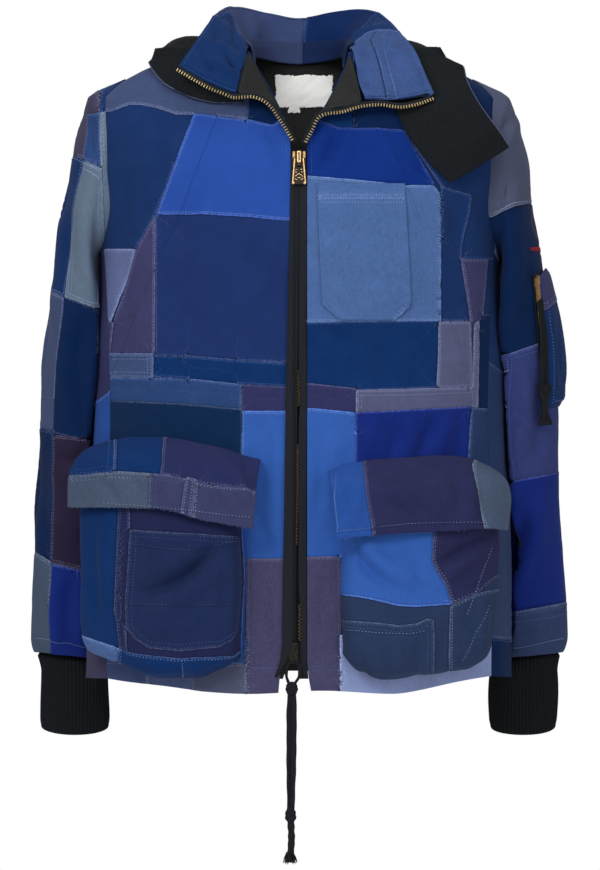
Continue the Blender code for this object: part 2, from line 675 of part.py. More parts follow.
def back_lining(into):
    """The dark lining that shows through the open neck."""
    across = np.linspace(-1, 1, 11)
    rows = []
    for z in (-90, -60, -30, -8, 8):
        x = across * 112.0
        y = body_y(x, np.full_like(x, z), 1) - 7.0
        rows.append(np.stack((x, y, np.full_like(x, float(z))), axis=1))
    cloth("back_lining", np.array(rows), "black_cloth", into, wall=1.2)


def neck_tag(name, centre_x, top, width, height, finish, into):
    """A plain label sewn to the lining, its inner side towards the wearer."""
    across = np.linspace(-0.5, 0.5, 4)
    rows = []
    for z in np.linspace(top, top - height, 3):
        x = centre_x + across * width
        y = body_y(x, np.full_like(x, z), 1) - 9.0
        rows.append(np.stack((x, y, np.full_like(x, z)), axis=1))
    cloth(name, np.array(rows), finish, into, wall=0.8)


# ---------------------------------------------------------------- zips

def closed_zip(name, side, roll, into):
    """Tape and teeth of one side below the slider; its foot spreads with the front's."""
    rows = []
    for z in np.concatenate((HEM_LEVELS[1:], SEAM_LEVELS[2:], (-135, CHEST_LINE, -79))):
        outer = float(column(roll, 1, z)) - SEAM_GAP - 0.2
        inner = max(0.25, outer - 7.6)
        rows.append([(side * x, float(body_y(x, z, -1)), z) for x in (outer, inner)])
    cloth(name, np.array(rows), "black_tape", into, wall=1.8)


def open_zip(name, side, teeth, into):
    """Tape and teeth of one side, from the slider up to the collar's corner."""
    tape_edge, teeth_edge = [], []
    path = np.array(teeth, float)
    along = np.gradient(path, axis=0)
    along /= np.linalg.norm(along, axis=1, keepdims=True)
    towards = np.cross(along, np.array((0.0, 1.0, 0.0))) * side
    towards /= np.linalg.norm(towards, axis=1, keepdims=True)
    for point, inward in zip(path, towards):
        teeth_edge.append(tuple(point))
        tape_edge.append(tuple(point + inward * TAPE_WIDTH + np.array((0, 0.8, 0))))
    grid = np.stack((np.array(tape_edge), np.array(teeth_edge)), axis=1)
    cloth(name, grid, "black_tape", into, wall=1.6)


def slider_frame(height):
    """Empty that stands on the closed zip's outer side at a height, tilted with the front."""
    holder = bpy.data.objects.new("slider_frame", None)
    holder.location = (0, float(body_y(0.0, height, -1) - 1.8 - LAP) * MM, height * MM)
    return holder


def box_mesh(name, size, centre):
    work = bmesh.new()
    bmesh.ops.create_cube(work, size=1.0)
    bmesh.ops.scale(work, vec=[value * MM for value in size], verts=work.verts)
    bmesh.ops.translate(work, vec=[value * MM for value in centre], verts=work.verts)
    mesh = bpy.data.meshes.new(name)
    work.to_mesh(mesh)
    work.free()
    return mesh


def hidden(name, mesh, parent, into):
    """A cutter or an added lump, left out of the build."""
    made = bpy.data.objects.new(name, mesh)
    into.objects.link(made)
    made.parent = parent
    made.hide_render = True
    made.display_type = "WIRE"
    return made


def boolean(target, tool, operation):
    step = target.modifiers.new(operation.lower(), "BOOLEAN")
    step.operation = operation
    step.solver = "EXACT"
    step.object = tool


def main_slider(parts, guides):
    """Slider with its bridge, and the tab that swings on the bridge's pin."""
    width, depth, height = SLIDER_SIZE
    frame = slider_frame(SLIDER_Z)
    frame.rotation_euler = (-ZIP_TILT, 0, 0)
    parts.objects.link(frame)
    body = add_object("zip_slider", box_mesh("zip_slider", (width, depth, height),
                                             (0, -depth / 2, 0)), "brass", parts)
    body.parent = frame
    edge = body.modifiers.new("edge", "BEVEL")
    edge.width = 0.7 * MM
    edge.segments = 2
    pin_y = -depth - PIN_OFF_BODY
    bridge = box_mesh("bridge", (3.4, 5.2, 13.0), (0, -depth - 5.2 / 2 + 0.6, -1.0))
    boolean(body, hidden("bridge_block", bridge, frame, guides), "UNION")
    window = box_mesh("window", (6.0, 3.2, 7.6), (0, pin_y + 0.1, -1.0))
    boolean(body, hidden("bridge_window", window, frame, guides), "DIFFERENCE")

    hinge = bpy.data.objects.new("tab_hinge", None)
    parts.objects.link(hinge)
    hinge.parent = frame
    hinge.location = (0, pin_y * MM, 0)
    work = bmesh.new()
    half_top, half_end = TAB_TOP_WIDTH / 2, TAB_END_WIDTH / 2
    outline = ((-half_top, PIN_RADIUS), (half_top, PIN_RADIUS), (half_end, -TAB_LENGTH),
               (-half_end, -TAB_LENGTH))
    corners = [work.verts.new((x * MM, -TAB_THICKNESS / 2 * MM, z * MM)) for x, z in outline]
    face = work.faces.new(corners)
    pushed = bmesh.ops.extrude_face_region(work, geom=[face])
    moved = [item for item in pushed["geom"] if isinstance(item, bmesh.types.BMVert)]
    bmesh.ops.translate(work, vec=(0, TAB_THICKNESS * MM, 0), verts=moved)
    bmesh.ops.recalc_face_normals(work, faces=work.faces)
    mesh = bpy.data.meshes.new("zip_pull_tab")
    work.to_mesh(mesh)
    work.free()
    tab = add_object("zip_pull_tab", mesh, "brass", parts)
    tab.parent = hinge
    wide, start, end = TAB_WINDOW
    opening = box_mesh("tab_window", (wide, 6, end - start), (0, 0, -(start + end) / 2))
    boolean(tab, hidden("tab_window", opening, hinge, guides), "DIFFERENCE")
    edge = tab.modifiers.new("edge", "BEVEL")
    edge.width = 0.3 * MM
    edge.segments = 1


def lower_slider(parts, guides):
    """The second slider, near the hem, with a bridge for the ribbon."""
    frame = slider_frame(-578)
    frame.location.x = -5.5 * MM
    parts.objects.link(frame)
    body = add_object("lower_slider", box_mesh("lower_slider", (9.6, 3.0, 20.0), (0, -1.5, 0)),
                      "brass", parts)
    body.parent = frame
    edge = body.modifiers.new("edge", "BEVEL")
    edge.width = 0.7 * MM
    edge.segments = 2


def tube(name, points, radius, finish, into):
    """Round ribbon: a smooth curve through the route's points, read often, with closed ends."""
    route = np.array(points, float)
    steps = np.arange(len(route))
    length = np.linalg.norm(np.diff(route, axis=0), axis=1).sum()
    count = max(6, int(length / (2.4 * 2 * radius)))
    at = np.linspace(0, len(route) - 1, count)
    read = np.stack([smooth(steps, route[:, axis], at) for axis in range(3)], axis=1)
    curve = bpy.data.curves.new(name, "CURVE")
    curve.dimensions = "3D"
    curve.bevel_depth = radius * MM
    curve.bevel_resolution = 2
    curve.use_fill_caps = True
    spline = curve.splines.new("POLY")
    spline.points.add(count - 1)
    for slot, point in zip(spline.points, read):
        slot.co = (*(point * MM), 1)
    made = bpy.data.objects.new(name, curve)
    into.objects.link(made)
    curve.materials.append(finish_material(name, finish))
    return made


def knot(name, centre, size, finish, into):
    work = bmesh.new()
    bmesh.ops.create_uvsphere(work, u_segments=12, v_segments=8, radius=0.5)
    bmesh.ops.scale(work, vec=[value * MM for value in size], verts=work.verts)
    mesh = bpy.data.meshes.new(name)
    work.to_mesh(mesh)
    work.free()
    mesh.shade_smooth()
    made = add_object(name, mesh, finish, into)
    made.location = [value * MM for value in centre]
    return made


def ribbons(into):
    tube("ribbon_loop", RIBBON_LOOP, RIBBON_RADIUS, "black_tape", into)
    knot("ribbon_knot_upper", (-7.2, -137.4, -614.6), (13, 9, 12.5), "black_tape", into)
    tube("ribbon_strand_right", RIBBON_STRAND_RIGHT, RIBBON_RADIUS, "black_tape", into)
    tube("ribbon_strand_left", RIBBON_STRAND_LEFT, RIBBON_RADIUS, "black_tape", into)
    knot("ribbon_knot_lower", (-8.2, -137, -739.5), (12, 8.5, 18.5), "black_tape", into)
    tube("ribbon_tail", RIBBON_TAIL, RIBBON_RADIUS, "black_tape", into)


def sleeve_zip(into):
    """Tape, slider, tab and ribbon of the sleeve pocket."""
    angle = SLEEVE_TAPE_ANGLE + 4
    on_tape = CLOTH + 2 * LAP + 1.0 + LAP
    sleeve_strip("sleeve_zip_tape", (6.42, 8.04), angle, SLEEVE_TAPE_WIDTH, CLOTH + 2 * LAP, 1.0,
                 "black_tape", into)
    sleeve_strip("sleeve_zip_slider", (6.49, 6.67), angle, 7.0, on_tape, 3.0, "brass", into, steps=2)
    sleeve_strip("sleeve_pull_tab", (6.68, 6.98), angle, 5.0, on_tape + 0.8, 1.8, "brass", into,
                 steps=2)
    route = []
    for ring in np.linspace(7.02, 9.46, 9):
        point, normal = sleeve_surface(ring, math.radians(angle))
        route.append(point + normal * (on_tape + SLEEVE_RIBBON_RADIUS))
    tube("sleeve_ribbon", route, SLEEVE_RIBBON_RADIUS, "black_tape", into)


def build():
    clear_scene()
    parts = collection("patched_jacket")
    guides = collection("guides")
    front_panel("front_right", -1, ROLL_RIGHT, parts)
    front_panel("front_left", 1, ROLL_LEFT, parts)
    side_panel("side_right", -1, parts)
    side_panel("side_left", 1, parts)
    back_panel(parts)
    for name, side in (("right", -1), ("left", 1)):
        sleeve("sleeve_" + name, side, parts)
        cuff("cuff_" + name, side, parts)
    collar(parts)
    facing("facing_right", FACING_RIGHT, ROLL_RIGHT, -1, parts)
    facing("facing_left", FACING_LEFT, ROLL_LEFT, 1, parts)
    rib_band(parts)
    back_lining(parts)
    neck_tag("neck_label", 5.0, 1.0, 58.0, 33.0, "white_label", parts)
    neck_tag("size_tab", -5.0, -35.0, 12.0, 9.0, "white_label", parts)
    bag("cargo_pocket_right", BAG_RIGHT_SPAN, BAG_RIGHT_EDGES, parts)
    bag("cargo_pocket_left", BAG_LEFT_SPAN, BAG_LEFT_EDGES, parts)
    flap("cargo_flap_right", FLAP_RIGHT_SPAN, FLAP_RIGHT_EDGES, parts)
    flap("cargo_flap_left", FLAP_LEFT_SPAN, FLAP_LEFT_EDGES, parts)
    chest_pocket(parts)
    sleeve_pocket(parts)
    closed_zip("zip_right", -1, ROLL_RIGHT, parts)
    closed_zip("zip_left", 1, ROLL_LEFT, parts)
    open_zip("zip_edge_right", -1, TEETH_RIGHT, parts)
    open_zip("zip_edge_left", 1, TEETH_LEFT, parts)
    main_slider(parts, guides)
    lower_slider(parts, guides)
    ribbons(parts)
    sleeve_zip(parts)


build()
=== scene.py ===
"""Looks of the patched jacket: every cloth piece is a thin shell on its own solid's form.

Millimetres in the tables and surfaces, metres in the meshes.  +Z is up, the front faces -Y and
+X is the wearer's left.  The surfaces repeat those of part.py, read more finely, and carry the
patches, seams, stitches and creases.
"""

import math

import bmesh
import bpy
import numpy as np
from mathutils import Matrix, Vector
from mathutils.geometry import delaunay_2d_cdt
from mathutils.kdtree import KDTree


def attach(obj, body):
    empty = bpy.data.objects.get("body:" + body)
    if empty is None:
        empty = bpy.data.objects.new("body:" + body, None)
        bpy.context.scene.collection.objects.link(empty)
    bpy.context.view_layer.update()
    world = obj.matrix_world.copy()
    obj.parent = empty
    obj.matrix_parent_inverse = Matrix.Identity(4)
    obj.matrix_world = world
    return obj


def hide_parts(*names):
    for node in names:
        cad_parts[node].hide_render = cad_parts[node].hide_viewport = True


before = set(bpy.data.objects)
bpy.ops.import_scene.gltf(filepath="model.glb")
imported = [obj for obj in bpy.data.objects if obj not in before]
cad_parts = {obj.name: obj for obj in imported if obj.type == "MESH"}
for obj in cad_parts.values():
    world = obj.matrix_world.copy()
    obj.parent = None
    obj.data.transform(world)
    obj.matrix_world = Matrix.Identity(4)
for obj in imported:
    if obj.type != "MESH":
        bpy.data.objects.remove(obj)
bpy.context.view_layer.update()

MM = 0.001
CLOTH = 1.6           # wall of a single cloth panel
SEAM_GAP = 0.3
LAP = 0.5             # air between a piece and the panel that it is sewn on
CURVE_LAP = 1.3       # the same on the tighter curve of a sleeve or shoulder

HEM = -617.0
UNDERARM = -178.0
SLIDER_Z = -85.0      # top slider of the main zip
CHEST_LINE = -100.0   # where panels stop being level rings and follow the shoulder
RIDGE_WIDEST = -5.0   # height of the shoulder tip
FRONT_WIDTH = 190.0   # flat width given to a front
BACK_HALF = 200.0     # flat half width given to the back
SIDE_HALF = 62.0      # flat half width of the strip under an arm
PATTERN_TOP = 35.0    # flat height at the shoulder line
NECK_X = 50.0         # where a front's shoulder line meets the neck
ROLL_TOP = 23.6       # height of the turned edge there

# Body, one row for each level ring: a rounded form, wider than deep, open at neck and hem.
# Columns: z, half_width, front, back, power.
BODY = np.array((
    (-617, 212, 128, 120, 2.2),
    (-520, 210, 131, 120, 2.2),
    (-400, 206, 129, 112, 2.2),
    (-300, 202, 126, 107, 2.2),
    (-200, 199, 126, 112, 2.3),
    (-140, 200, 122, 118, 2.5),
    (-90, 205, 112, 118, 2.9),
    (-50, 206, 97, 108, 3.0),
    (-25, 203, 82, 96, 3.0),
    (-17, 194, 77, 92, 2.9),
    (-5, 172, 72, 88, 2.8),
    (7, 148, 69, 84, 2.7),
    (15, 122, 65, 78, 2.5),
    (20, 95, 60, 72, 2.4),
    (23, 62, 50, 60, 2.2),
    (24, 46, 40, 48, 2.0),
), float)

# Armhole: an oval in the side plane, on the body's surface.
ARMHOLE_Z = -92.0
ARMHOLE_HALF_HEIGHT = 86.5
ARMHOLE_HALF_DEPTH = 62.0
ARMHOLE_POWER = 2.2

# Side seams, measured as depth in front of (or behind) the body's middle plane.
# Columns: z, depth.
SIDE_SEAM = np.array(((-617, 62), (-480, 60), (-355, 57), (-255, 48), (-165, 36.5)), float)

# Inner edge of each front above the slider: the line where the cloth turns back.
# Columns: z, distance from the middle.
ROLL_RIGHT = np.array((
    (-617, 29), (-602, 24), (-583, 13), (-560, 8.2), (-80, 8.2), (-70, 8.6), (-50, 13), (-34, 19),
    (-14, 29), (0, 37), (12, 44), (23.5, 50),
), float)
ROLL_LEFT = np.array((
    (-617, 12), (-602, 9.5), (-583, 8.2), (-560, 8.2), (-80, 8.2), (-70, 8.8), (-50, 15), (-34, 24),
    (-14, 35), (0, 42), (12, 47), (23.5, 50),
), float)
# The front cloth's edge on the wearer's right keeps nearer the middle at the hem, under the tape.
EDGE_RIGHT = ROLL_RIGHT.copy()
EDGE_RIGHT[:3, 1] = (20.5, 19.0, 12.5)
# How far the closed tape of that side lies over the cloth. Columns: z, overlap.
TAPE_OVERLAP = np.array((
    (-604, 0.5), (-590, 4.0), (-580, 7.0), (-560, 9.2), (-445, 7.4), (-305, 5.2), (-130, 1.2), (-80, 0),
), float)

# Sleeve of the wearer's left arm, one row for each ring below the armhole.
# Columns: outer_x, outer_z, inner_x, inner_z, centre_y, half_depth.
SLEEVE = np.array((
    (196.5, -17, 203, -185, 0.5, 64.5),
    (206, -27, 205, -193, 2, 66),
    (217, -50, 204, -206, 5, 67),
    (227, -90, 202, -222, 9, 67),
    (232, -128, 199, -239, 14, 66),
    (239, -166, 193, -256, 19, 65),
    (246, -214, 186, -278, 25, 64),
    (253, -272, 179, -311, 31, 62),
    (256, -323, 172, -346, 36, 60),
    (258, -374, 168, -386, 42, 59),
    (260, -424, 167, -428, 48, 58),
    (264, -480, 168, -480, 55, 56),
    (267, -530, 173, -528, 63, 53),
    (268, -560, 179, -558, 69, 50),
    (266.5, -571, 184, -575, 74, 44),
    (264, -577, 187.5, -584, 76, 39),
    (261.5, -580.5, 190, -588.5, 77, 36.5),
), float)
ARM_CLEARANCE = 7.5   # the sleeve's inside hangs this far off the body
CUFF_SEAM = -576.0     # where the cuff goes into the sleeve, on its outside
CUFF_END = -660.0
# Columns: z, outer_x, inner_x, centre_y, half_depth.
CUFF = np.array((
    (-584.8, 258, 192.5, 77.5, 34),
    (-592, 258, 192.5, 77.5, 34),
    (-635, 258, 192, 78, 33.5),
    (-660, 259, 191, 78, 34.5),
), float)

# Collar, one row a station from the front edge to the middle of the back.
# Columns: neck x, y, z, middle x, y, z, top x, y, z.
COLLAR_RIGHT = np.array((
    (-62.5, -102.6, -17.2, -87, -104, -8.4, -119.5, -98, 10.3),
    (-60, -92, -5, -86, -95, 5, -113, -86, 20),
    (-56, -79, 11, -78, -78, 23, -102, -60, 36),
    (-51, -50, 28, -68, -44, 38, -92, -27, 51),
    (-49, -10, 29.5, -62, -5, 45, -84, 5, 62),
    (-48, 25, 29.5, -56, 34, 47, -68, 50, 70),
    (-39, 51, 29, -45, 61, 47, -54, 76, 69),
    (-20, 68, 27.4, -23, 78, 45, -28, 95, 64),
    (0, 72.5, 26.5, 0, 83, 42, 0, 100, 59),
), float)
COLLAR_LEFT = np.array((
    (66, -102.6, -23, 98, -105, -24.4, 134.6, -98, -17.6),
    (61, -93, -10, 94, -98, -8, 128, -87, -3),
    (57, -80, 10, 84, -80, 18, 116, -62, 25),
    (52, -52, 27.5, 72, -46, 34, 103, -28, 41),
    (49, -10, 29.5, 64, -5, 43, 92, 5, 54),
    (48, 25, 29.5, 57, 34, 46, 76, 50, 66),
    (39, 51, 29, 46, 61, 46, 60, 76, 68),
    (20, 68, 27.4, 24, 78, 45, 31, 95, 64),
), float)

# Zip edges above the slider, where the teeth run, from the slider up to the collar's corner.
# Columns: x, y, z.
TEETH_RIGHT = np.array((
    (-6.5, -110, -68), (-16, -109, -52), (-22, -109, -43), (-29, -109, -33), (-38, -108, -26),
    (-49, -106, -23), (-64, -104, -24), (-76, -104, -20), (-89, -105, -15), (-102, -103, -8),
    (-122, -99, 4),
), float)
TEETH_LEFT = np.array((
    (6.5, -111, -70), (14, -110, -56), (21, -110, -43), (29, -109, -40), (42, -108, -38.5),
    (57, -105, -34), (66, -104, -32), (80, -105, -31), (101, -107, -33.5), (120, -103, -30),
    (134, -99, -25),
), float)
TAPE_WIDTH = 5.3

# Facings: strips between the roll line and the zip edge or the collar's seam.
# Columns: height on the roll line, outer x, y, z.
FACING_RIGHT = np.array((
    (-58, -12.4, -108.2, -51),
    (-50, -15.5, -108, -43.4),
    (-42, -19.5, -108, -36.2),
    (-32, -26.5, -107, -27.5),
    (-24, -36, -107, -20.6),
    (-14, -60.5, -101, -16),
    (-5, -57.5, -91, -3.5),
    (5, -53.5, -78, 10),
    (15, -49.5, -56, 23),
), float)
FACING_LEFT = np.array((
    (-58, 11, -109, -51.2),
    (-50, 16, -109.2, -43.5),
    (-42, 23, -108.2, -35.6),
    (-32, 33, -107.5, -32.8),
    (-24, 45, -106.5, -31),
    (-14, 62, -101, -25),
    (-5, 58.5, -92, -8),
    (5, 54.5, -79, 9),
    (15, 50.5, -57, 22),
), float)

# Ribbed band round the neck, below the collar; its free end hangs on the wearer's left.
# Columns: inner x, y, z, ridge x, y, z, outer x, y, z.
BAND = np.array((
    (-56, -86, -22, -56, -90, -25, -55, -88, -29),
    (-76, -80, -8, -80, -90, -15, -80, -88, -28),
    (-93, -66, 3, -104, -82, -2, -108, -82, -22),
    (-94, -44, 15, -122, -60, 12, -134, -64, -12),
    (-84, -20, 24, -122, -30, 28, -150, -34, 12),
    (-76, 5, 27, -112, 6, 38, -140, 8, 14),
    (-70, 35, 27, -100, 42, 35, -126, 48, 8),
    (-56, 64, 24.5, -76, 82, 28, -94, 92, -4),
    (-32, 83, 20, -42, 100, 22, -50, 106, -12),
    (0, 88, 18, 0, 103, 20, 0, 108, -14),
    (32, 83, 20, 42, 100, 22, 50, 106, -12),
    (56, 64, 24.5, 76, 82, 28, 94, 92, -4),
    (70, 35, 27, 100, 42, 33, 126, 48, 8),
    (76, 5, 27, 110, 6, 33, 138, 8, 14),
    (84, -20, 24, 118, -30, 28, 150, -26, 12),
    (90, -50, 9, 126, -54, 14, 164, -44, 8),
    (95, -84, -28, 132, -76, -8, 168, -64, -5),
    (105, -100, -54, 146, -98, -36, 178, -82, -26),
    (123, -109, -80, 162, -104, -62, 193, -86, -48),
    (151, -108, -108, 182, -99, -90, 210, -82, -72),
), float)

# Cargo pockets on the fronts: a bellows bag under a wide flap.
BAG_DEPTH = 40.0
# Columns: share of width, share of depth.
BAG_ACROSS = np.array((
    (0, 0.015), (0.012, 0.45), (0.05, 0.8), (0.14, 0.93), (0.3, 1.0), (0.5, 1.02), (0.7, 1.0),
    (0.86, 0.93), (0.95, 0.8), (0.988, 0.45), (1, 0.015),
), float)
BAG_DOWN = np.array((
    (0, 0.8), (0.25, 0.95), (0.5, 1.0), (0.75, 1.0), (0.9, 0.92), (0.965, 0.75), (0.99, 0.42), (1, 0.015),
), float)
# Columns: share of width, top z, bottom z.
BAG_RIGHT_SPAN = (-197.0, -56.0)
BAG_RIGHT_EDGES = np.array((
    (0, -398, -578), (0.2, -398, -588), (0.45, -398, -600), (0.7, -402, -600), (0.9, -410, -588),
    (1, -412, -578),
), float)
BAG_LEFT_SPAN = (45.0, 182.0)
BAG_LEFT_EDGES = np.array((
    (0, -420, -578), (0.12, -418, -596), (0.3, -416, -602), (0.6, -414, -599), (0.85, -412, -590),
    (1, -412, -574),
), float)
# Columns: share of width, top z, bottom z.
FLAP_RIGHT_SPAN = ((-193.0, -38.0), (-190.0, -41.0))
FLAP_RIGHT_EDGES = np.array((
    (0, -370, -434), (0.2, -362, -434), (0.45, -365, -435), (0.7, -372, -446), (0.9, -382, -452),
    (1, -386, -455),
), float)
FLAP_LEFT_SPAN = ((29.0, 183.0), (34.0, 175.0))
FLAP_LEFT_EDGES = np.array((
    (0, -398, -465), (0.12, -390, -463), (0.4, -384, -459), (0.7, -382, -457), (0.9, -384, -455),
    (1, -389, -457),
), float)
# Columns: share of height, distance off the body.
FLAP_RISE = np.array(((0, 3.2), (0.06, 13), (0.18, 27), (0.36, 39), (0.62, 46), (1, 49)), float)

# Columns: z, left x, right x.
CHEST_POCKET = np.array((
    (-109, 18, 105), (-150, 19.5, 107), (-190, 21, 109), (-230, 23, 111), (-238, 32, 103), (-245, 41, 95),
), float)

# Sleeve pocket: place on the sleeve as ring number and angle, from the outside (0) to the front.
SLEEVE_POCKET_RINGS = (6.6, 9.15)
SLEEVE_POCKET_ANGLES = (-80.0, 44.0)
SLEEVE_POCKET_DEPTH = 12.0
SLEEVE_TAPE_ANGLE = 47.5
SLEEVE_TAPE_WIDTH = 7.0

# Slider and tab of the main zip, in the slider's own tilted frame.
ZIP_TILT = math.radians(12.0)
SLIDER_SIZE = (13.6, 3.2, 17.0)
PIN_RADIUS = 0.9
PIN_OFF_BODY = 1.5
TAB_LENGTH = 26.0
TAB_TOP_WIDTH = 9.5
TAB_END_WIDTH = 14.0

# Ribbon through the lower slider: points of its route.
RIBBON_LOOP = (
    (-10.2, -137.4, -608.1), (-12.6, -137.5, -600), (-12.0, -137.4, -592), (-9, -137.3, -587.4),
    (-5.5, -137.3, -586), (-2.2, -137.3, -587.4), (0.3, -137.4, -592), (0.4, -137.5, -600),
    (-4.2, -137.4, -608.1),
)
RIBBON_STRAND_RIGHT = (
    (-8.6, -136.8, -617), (-9.8, -136.4, -640), (-9.9, -136.4, -690), (-9.3, -136.6, -733),
)
RIBBON_STRAND_LEFT = ((-5.4, -138, -617), (-4.9, -138.2, -640), (-5.5, -138.2, -690), (-6.9, -138, -733))
RIBBON_TAIL = ((-8.2, -137, -745), (-7.5, -137, -762), (-8.2, -137, -776), (-8.8, -137, -787))
SLEEVE_RIBBON_RADIUS = 2.4


# ---------------------------------------------------------------- curves and surfaces

def length_along(points):
    """Length along a route of points, up to each of them."""
    return np.concatenate(((0,), np.cumsum(np.linalg.norm(np.diff(points, axis=0), axis=1))))


def smooth(xs, ys, at):
    """Shape-preserving cubic through the points (xs rising), read at the given places."""
    xs, ys, at = np.asarray(xs, float), np.asarray(ys, float), np.asarray(at, float)
    width = np.diff(xs)
    slope = np.diff(ys) / width
    tangent = np.zeros_like(ys)
    tangent[0], tangent[-1] = slope[0], slope[-1]
    same = slope[:-1] * slope[1:] > 0
    first = 2 * width[1:] + width[:-1]
    second = width[1:] + 2 * width[:-1]
    safe_a = np.where(same, slope[:-1], 1.0)
    safe_b = np.where(same, slope[1:], 1.0)
    tangent[1:-1] = np.where(same, (first + second) / (first / safe_a + second / safe_b), 0.0)
    at = np.clip(at, xs[0], xs[-1])
    cell = np.clip(np.searchsorted(xs, at, side="right") - 1, 0, len(xs) - 2)
    t = (at - xs[cell]) / width[cell]
    return ((1 + 2 * t) * (1 - t) ** 2 * ys[cell] + t * (1 - t) ** 2 * width[cell] * tangent[cell]
            + t * t * (3 - 2 * t) * ys[cell + 1] + t * t * (t - 1) * width[cell] * tangent[cell + 1])


def column(table, number, at):
    """One column of a table, read at values of its first column."""
    return smooth(table[:, 0], table[:, number], at)


def body_section(z, back):
    """Half width, depth and power of the body's level ring at z."""
    depth = np.where(back, column(BODY, 3, z), column(BODY, 2, z))
    return column(BODY, 1, z), depth, column(BODY, 4, z)


def body_y(x, z, side):
    """Depth coordinate of the body's surface; side is -1 in front and 1 behind."""
    half, depth, power = body_section(z, side > 0)
    rest = np.clip(1 - (np.abs(x) / half) ** power, 0, 1)
    return side * depth * rest ** (1 / power)


def body_x(y, z):
    """Half width of the body at a depth; nothing beyond its front or back."""
    half, depth, power = body_section(z, np.asarray(y) > 0)
    rest = np.clip(1 - (np.abs(y) / depth) ** power, 0, 1)
    return half * rest ** (1 / power)


def body_field(point):
    half, depth, power = body_section(point[..., 2], point[..., 1] > 0)
    return ((np.abs(point[..., 0]) / half) ** power + (np.abs(point[..., 1]) / depth) ** power)


def body_normal(point):
    """Outward unit normal of the body's surface."""
    step = 0.4
    slope = np.empty(np.shape(point))
    for axis in range(3):
        shift = np.zeros(3)
        shift[axis] = step
        slope[..., axis] = body_field(point + shift) - body_field(point - shift)
    return slope / np.linalg.norm(slope, axis=-1, keepdims=True)


def off_body(points, least):
    """The points, moved out where they lie nearer to the body's surface than the least."""
    for _ in range(4):
        normal = body_normal(points)
        step = 0.4
        rise = (body_field(points + normal * step) - body_field(points - normal * step)) / (2 * step)
        distance = (body_field(points) - 1) / rise
        points = points + normal * np.maximum(0, least - distance)[..., None]
    return points


def armhole_depth(z):
    """Half depth of the armhole at a height."""
    share = np.clip(np.abs((z - ARMHOLE_Z) / ARMHOLE_HALF_HEIGHT), 0, 1)
    return ARMHOLE_HALF_DEPTH * (1 - share ** ARMHOLE_POWER) ** (1 / ARMHOLE_POWER)


def ridge_z(x):
    """Height of the shoulder line at a distance from the middle."""
    above = BODY[BODY[:, 0] >= -25]
    return smooth(above[::-1, 1], above[::-1, 0], np.abs(x))


def lerp(a, b, t):
    return a + (b - a) * t


# ---------------------------------------------------------------- surfaces in flat places

SHOULDER_RUN = PATTERN_TOP - CHEST_LINE   # flat length from the chest line to the shoulder
HEM_DRAWN_UP = 15.0    # the hem stands this much higher at the sides and behind
HEM_MIDDLE_UP = 5.0    # and this much more at the middle of the back
HEM_REACH = 150.0      # how far up from the hem this is felt


def hem_rise(points):
    """The points, with the hem drawn up a little towards the sides as the jacket hangs."""
    aside = np.clip((np.abs(points[:, 0]) - 95.0) / 95.0, 0, 1)
    near = np.clip((HEM + HEM_REACH - points[:, 2]) / HEM_REACH, 0, 1)
    behind = np.clip(points[:, 1] / 40.0, 0, 1)
    wave = 1.6 * np.sin(points[:, 0] / 23.0 + 0.6) * (points[:, 1] < 0)
    lift = HEM_DRAWN_UP * np.maximum(aside ** 1.3, behind) + HEM_MIDDLE_UP * behind * (1 - aside)
    lift = lift * near ** 1.5 + wave * near ** 3
    return points + lift[:, None] * (0, 0, 1)


def level_edges(z, roll, half):
    """Inner and side edges of a panel at a height below the chest line; half is -1 in front, 1 behind."""
    seam = np.interp(z, SIDE_SEAM[:, 0], SIDE_SEAM[:, 1])
    edge = np.where(z <= SIDE_SEAM[-1, 0], body_x(half * seam, z), body_x(half * armhole_depth(z), z))
    inner = column(roll, 1, z) if roll is not None else np.zeros_like(z)
    return inner, edge - SEAM_GAP / 2


def front_surface(side, roll):
    """Surface of a front over flat places: u from the zip to the side, v the height."""
    tip = float(body_x(0.0, RIDGE_WIDEST))
    tip_z, neck_z = (float(ridge_z(np.array(x))) for x in (tip, NECK_X))

    def at(u, v):
        across = u / FRONT_WIDTH
        share = np.clip((v - CHEST_LINE) / SHOULDER_RUN, 0, 1)
        base_z = np.minimum(v, CHEST_LINE)
        inner, edge = level_edges(base_z, roll, -1)
        top_x = lerp(NECK_X, tip, across)
        arm_z = lerp(CHEST_LINE, RIDGE_WIDEST, share)
        roll_z = lerp(CHEST_LINE, ROLL_TOP, share)
        arm_x = body_x(-armhole_depth(arm_z), arm_z) - SEAM_GAP / 2
        x = lerp(lerp(inner, edge, across), top_x, share)
        z = lerp(base_z, ridge_z(top_x), share)
        above = share > 0
        x = x + above * (across * (arm_x - lerp(edge, tip, share))
                         + (1 - across) * (column(roll, 1, roll_z) - lerp(inner, NECK_X, share)))
        z = z + above * (across * (arm_z - lerp(base_z, tip_z, share))
                         + (1 - across) * (roll_z - lerp(base_z, neck_z, share)))
        y = np.minimum(body_y(x, z, -1), -SEAM_GAP / 2)
        return hem_rise(np.stack((side * x, y, z), axis=1))
    return at


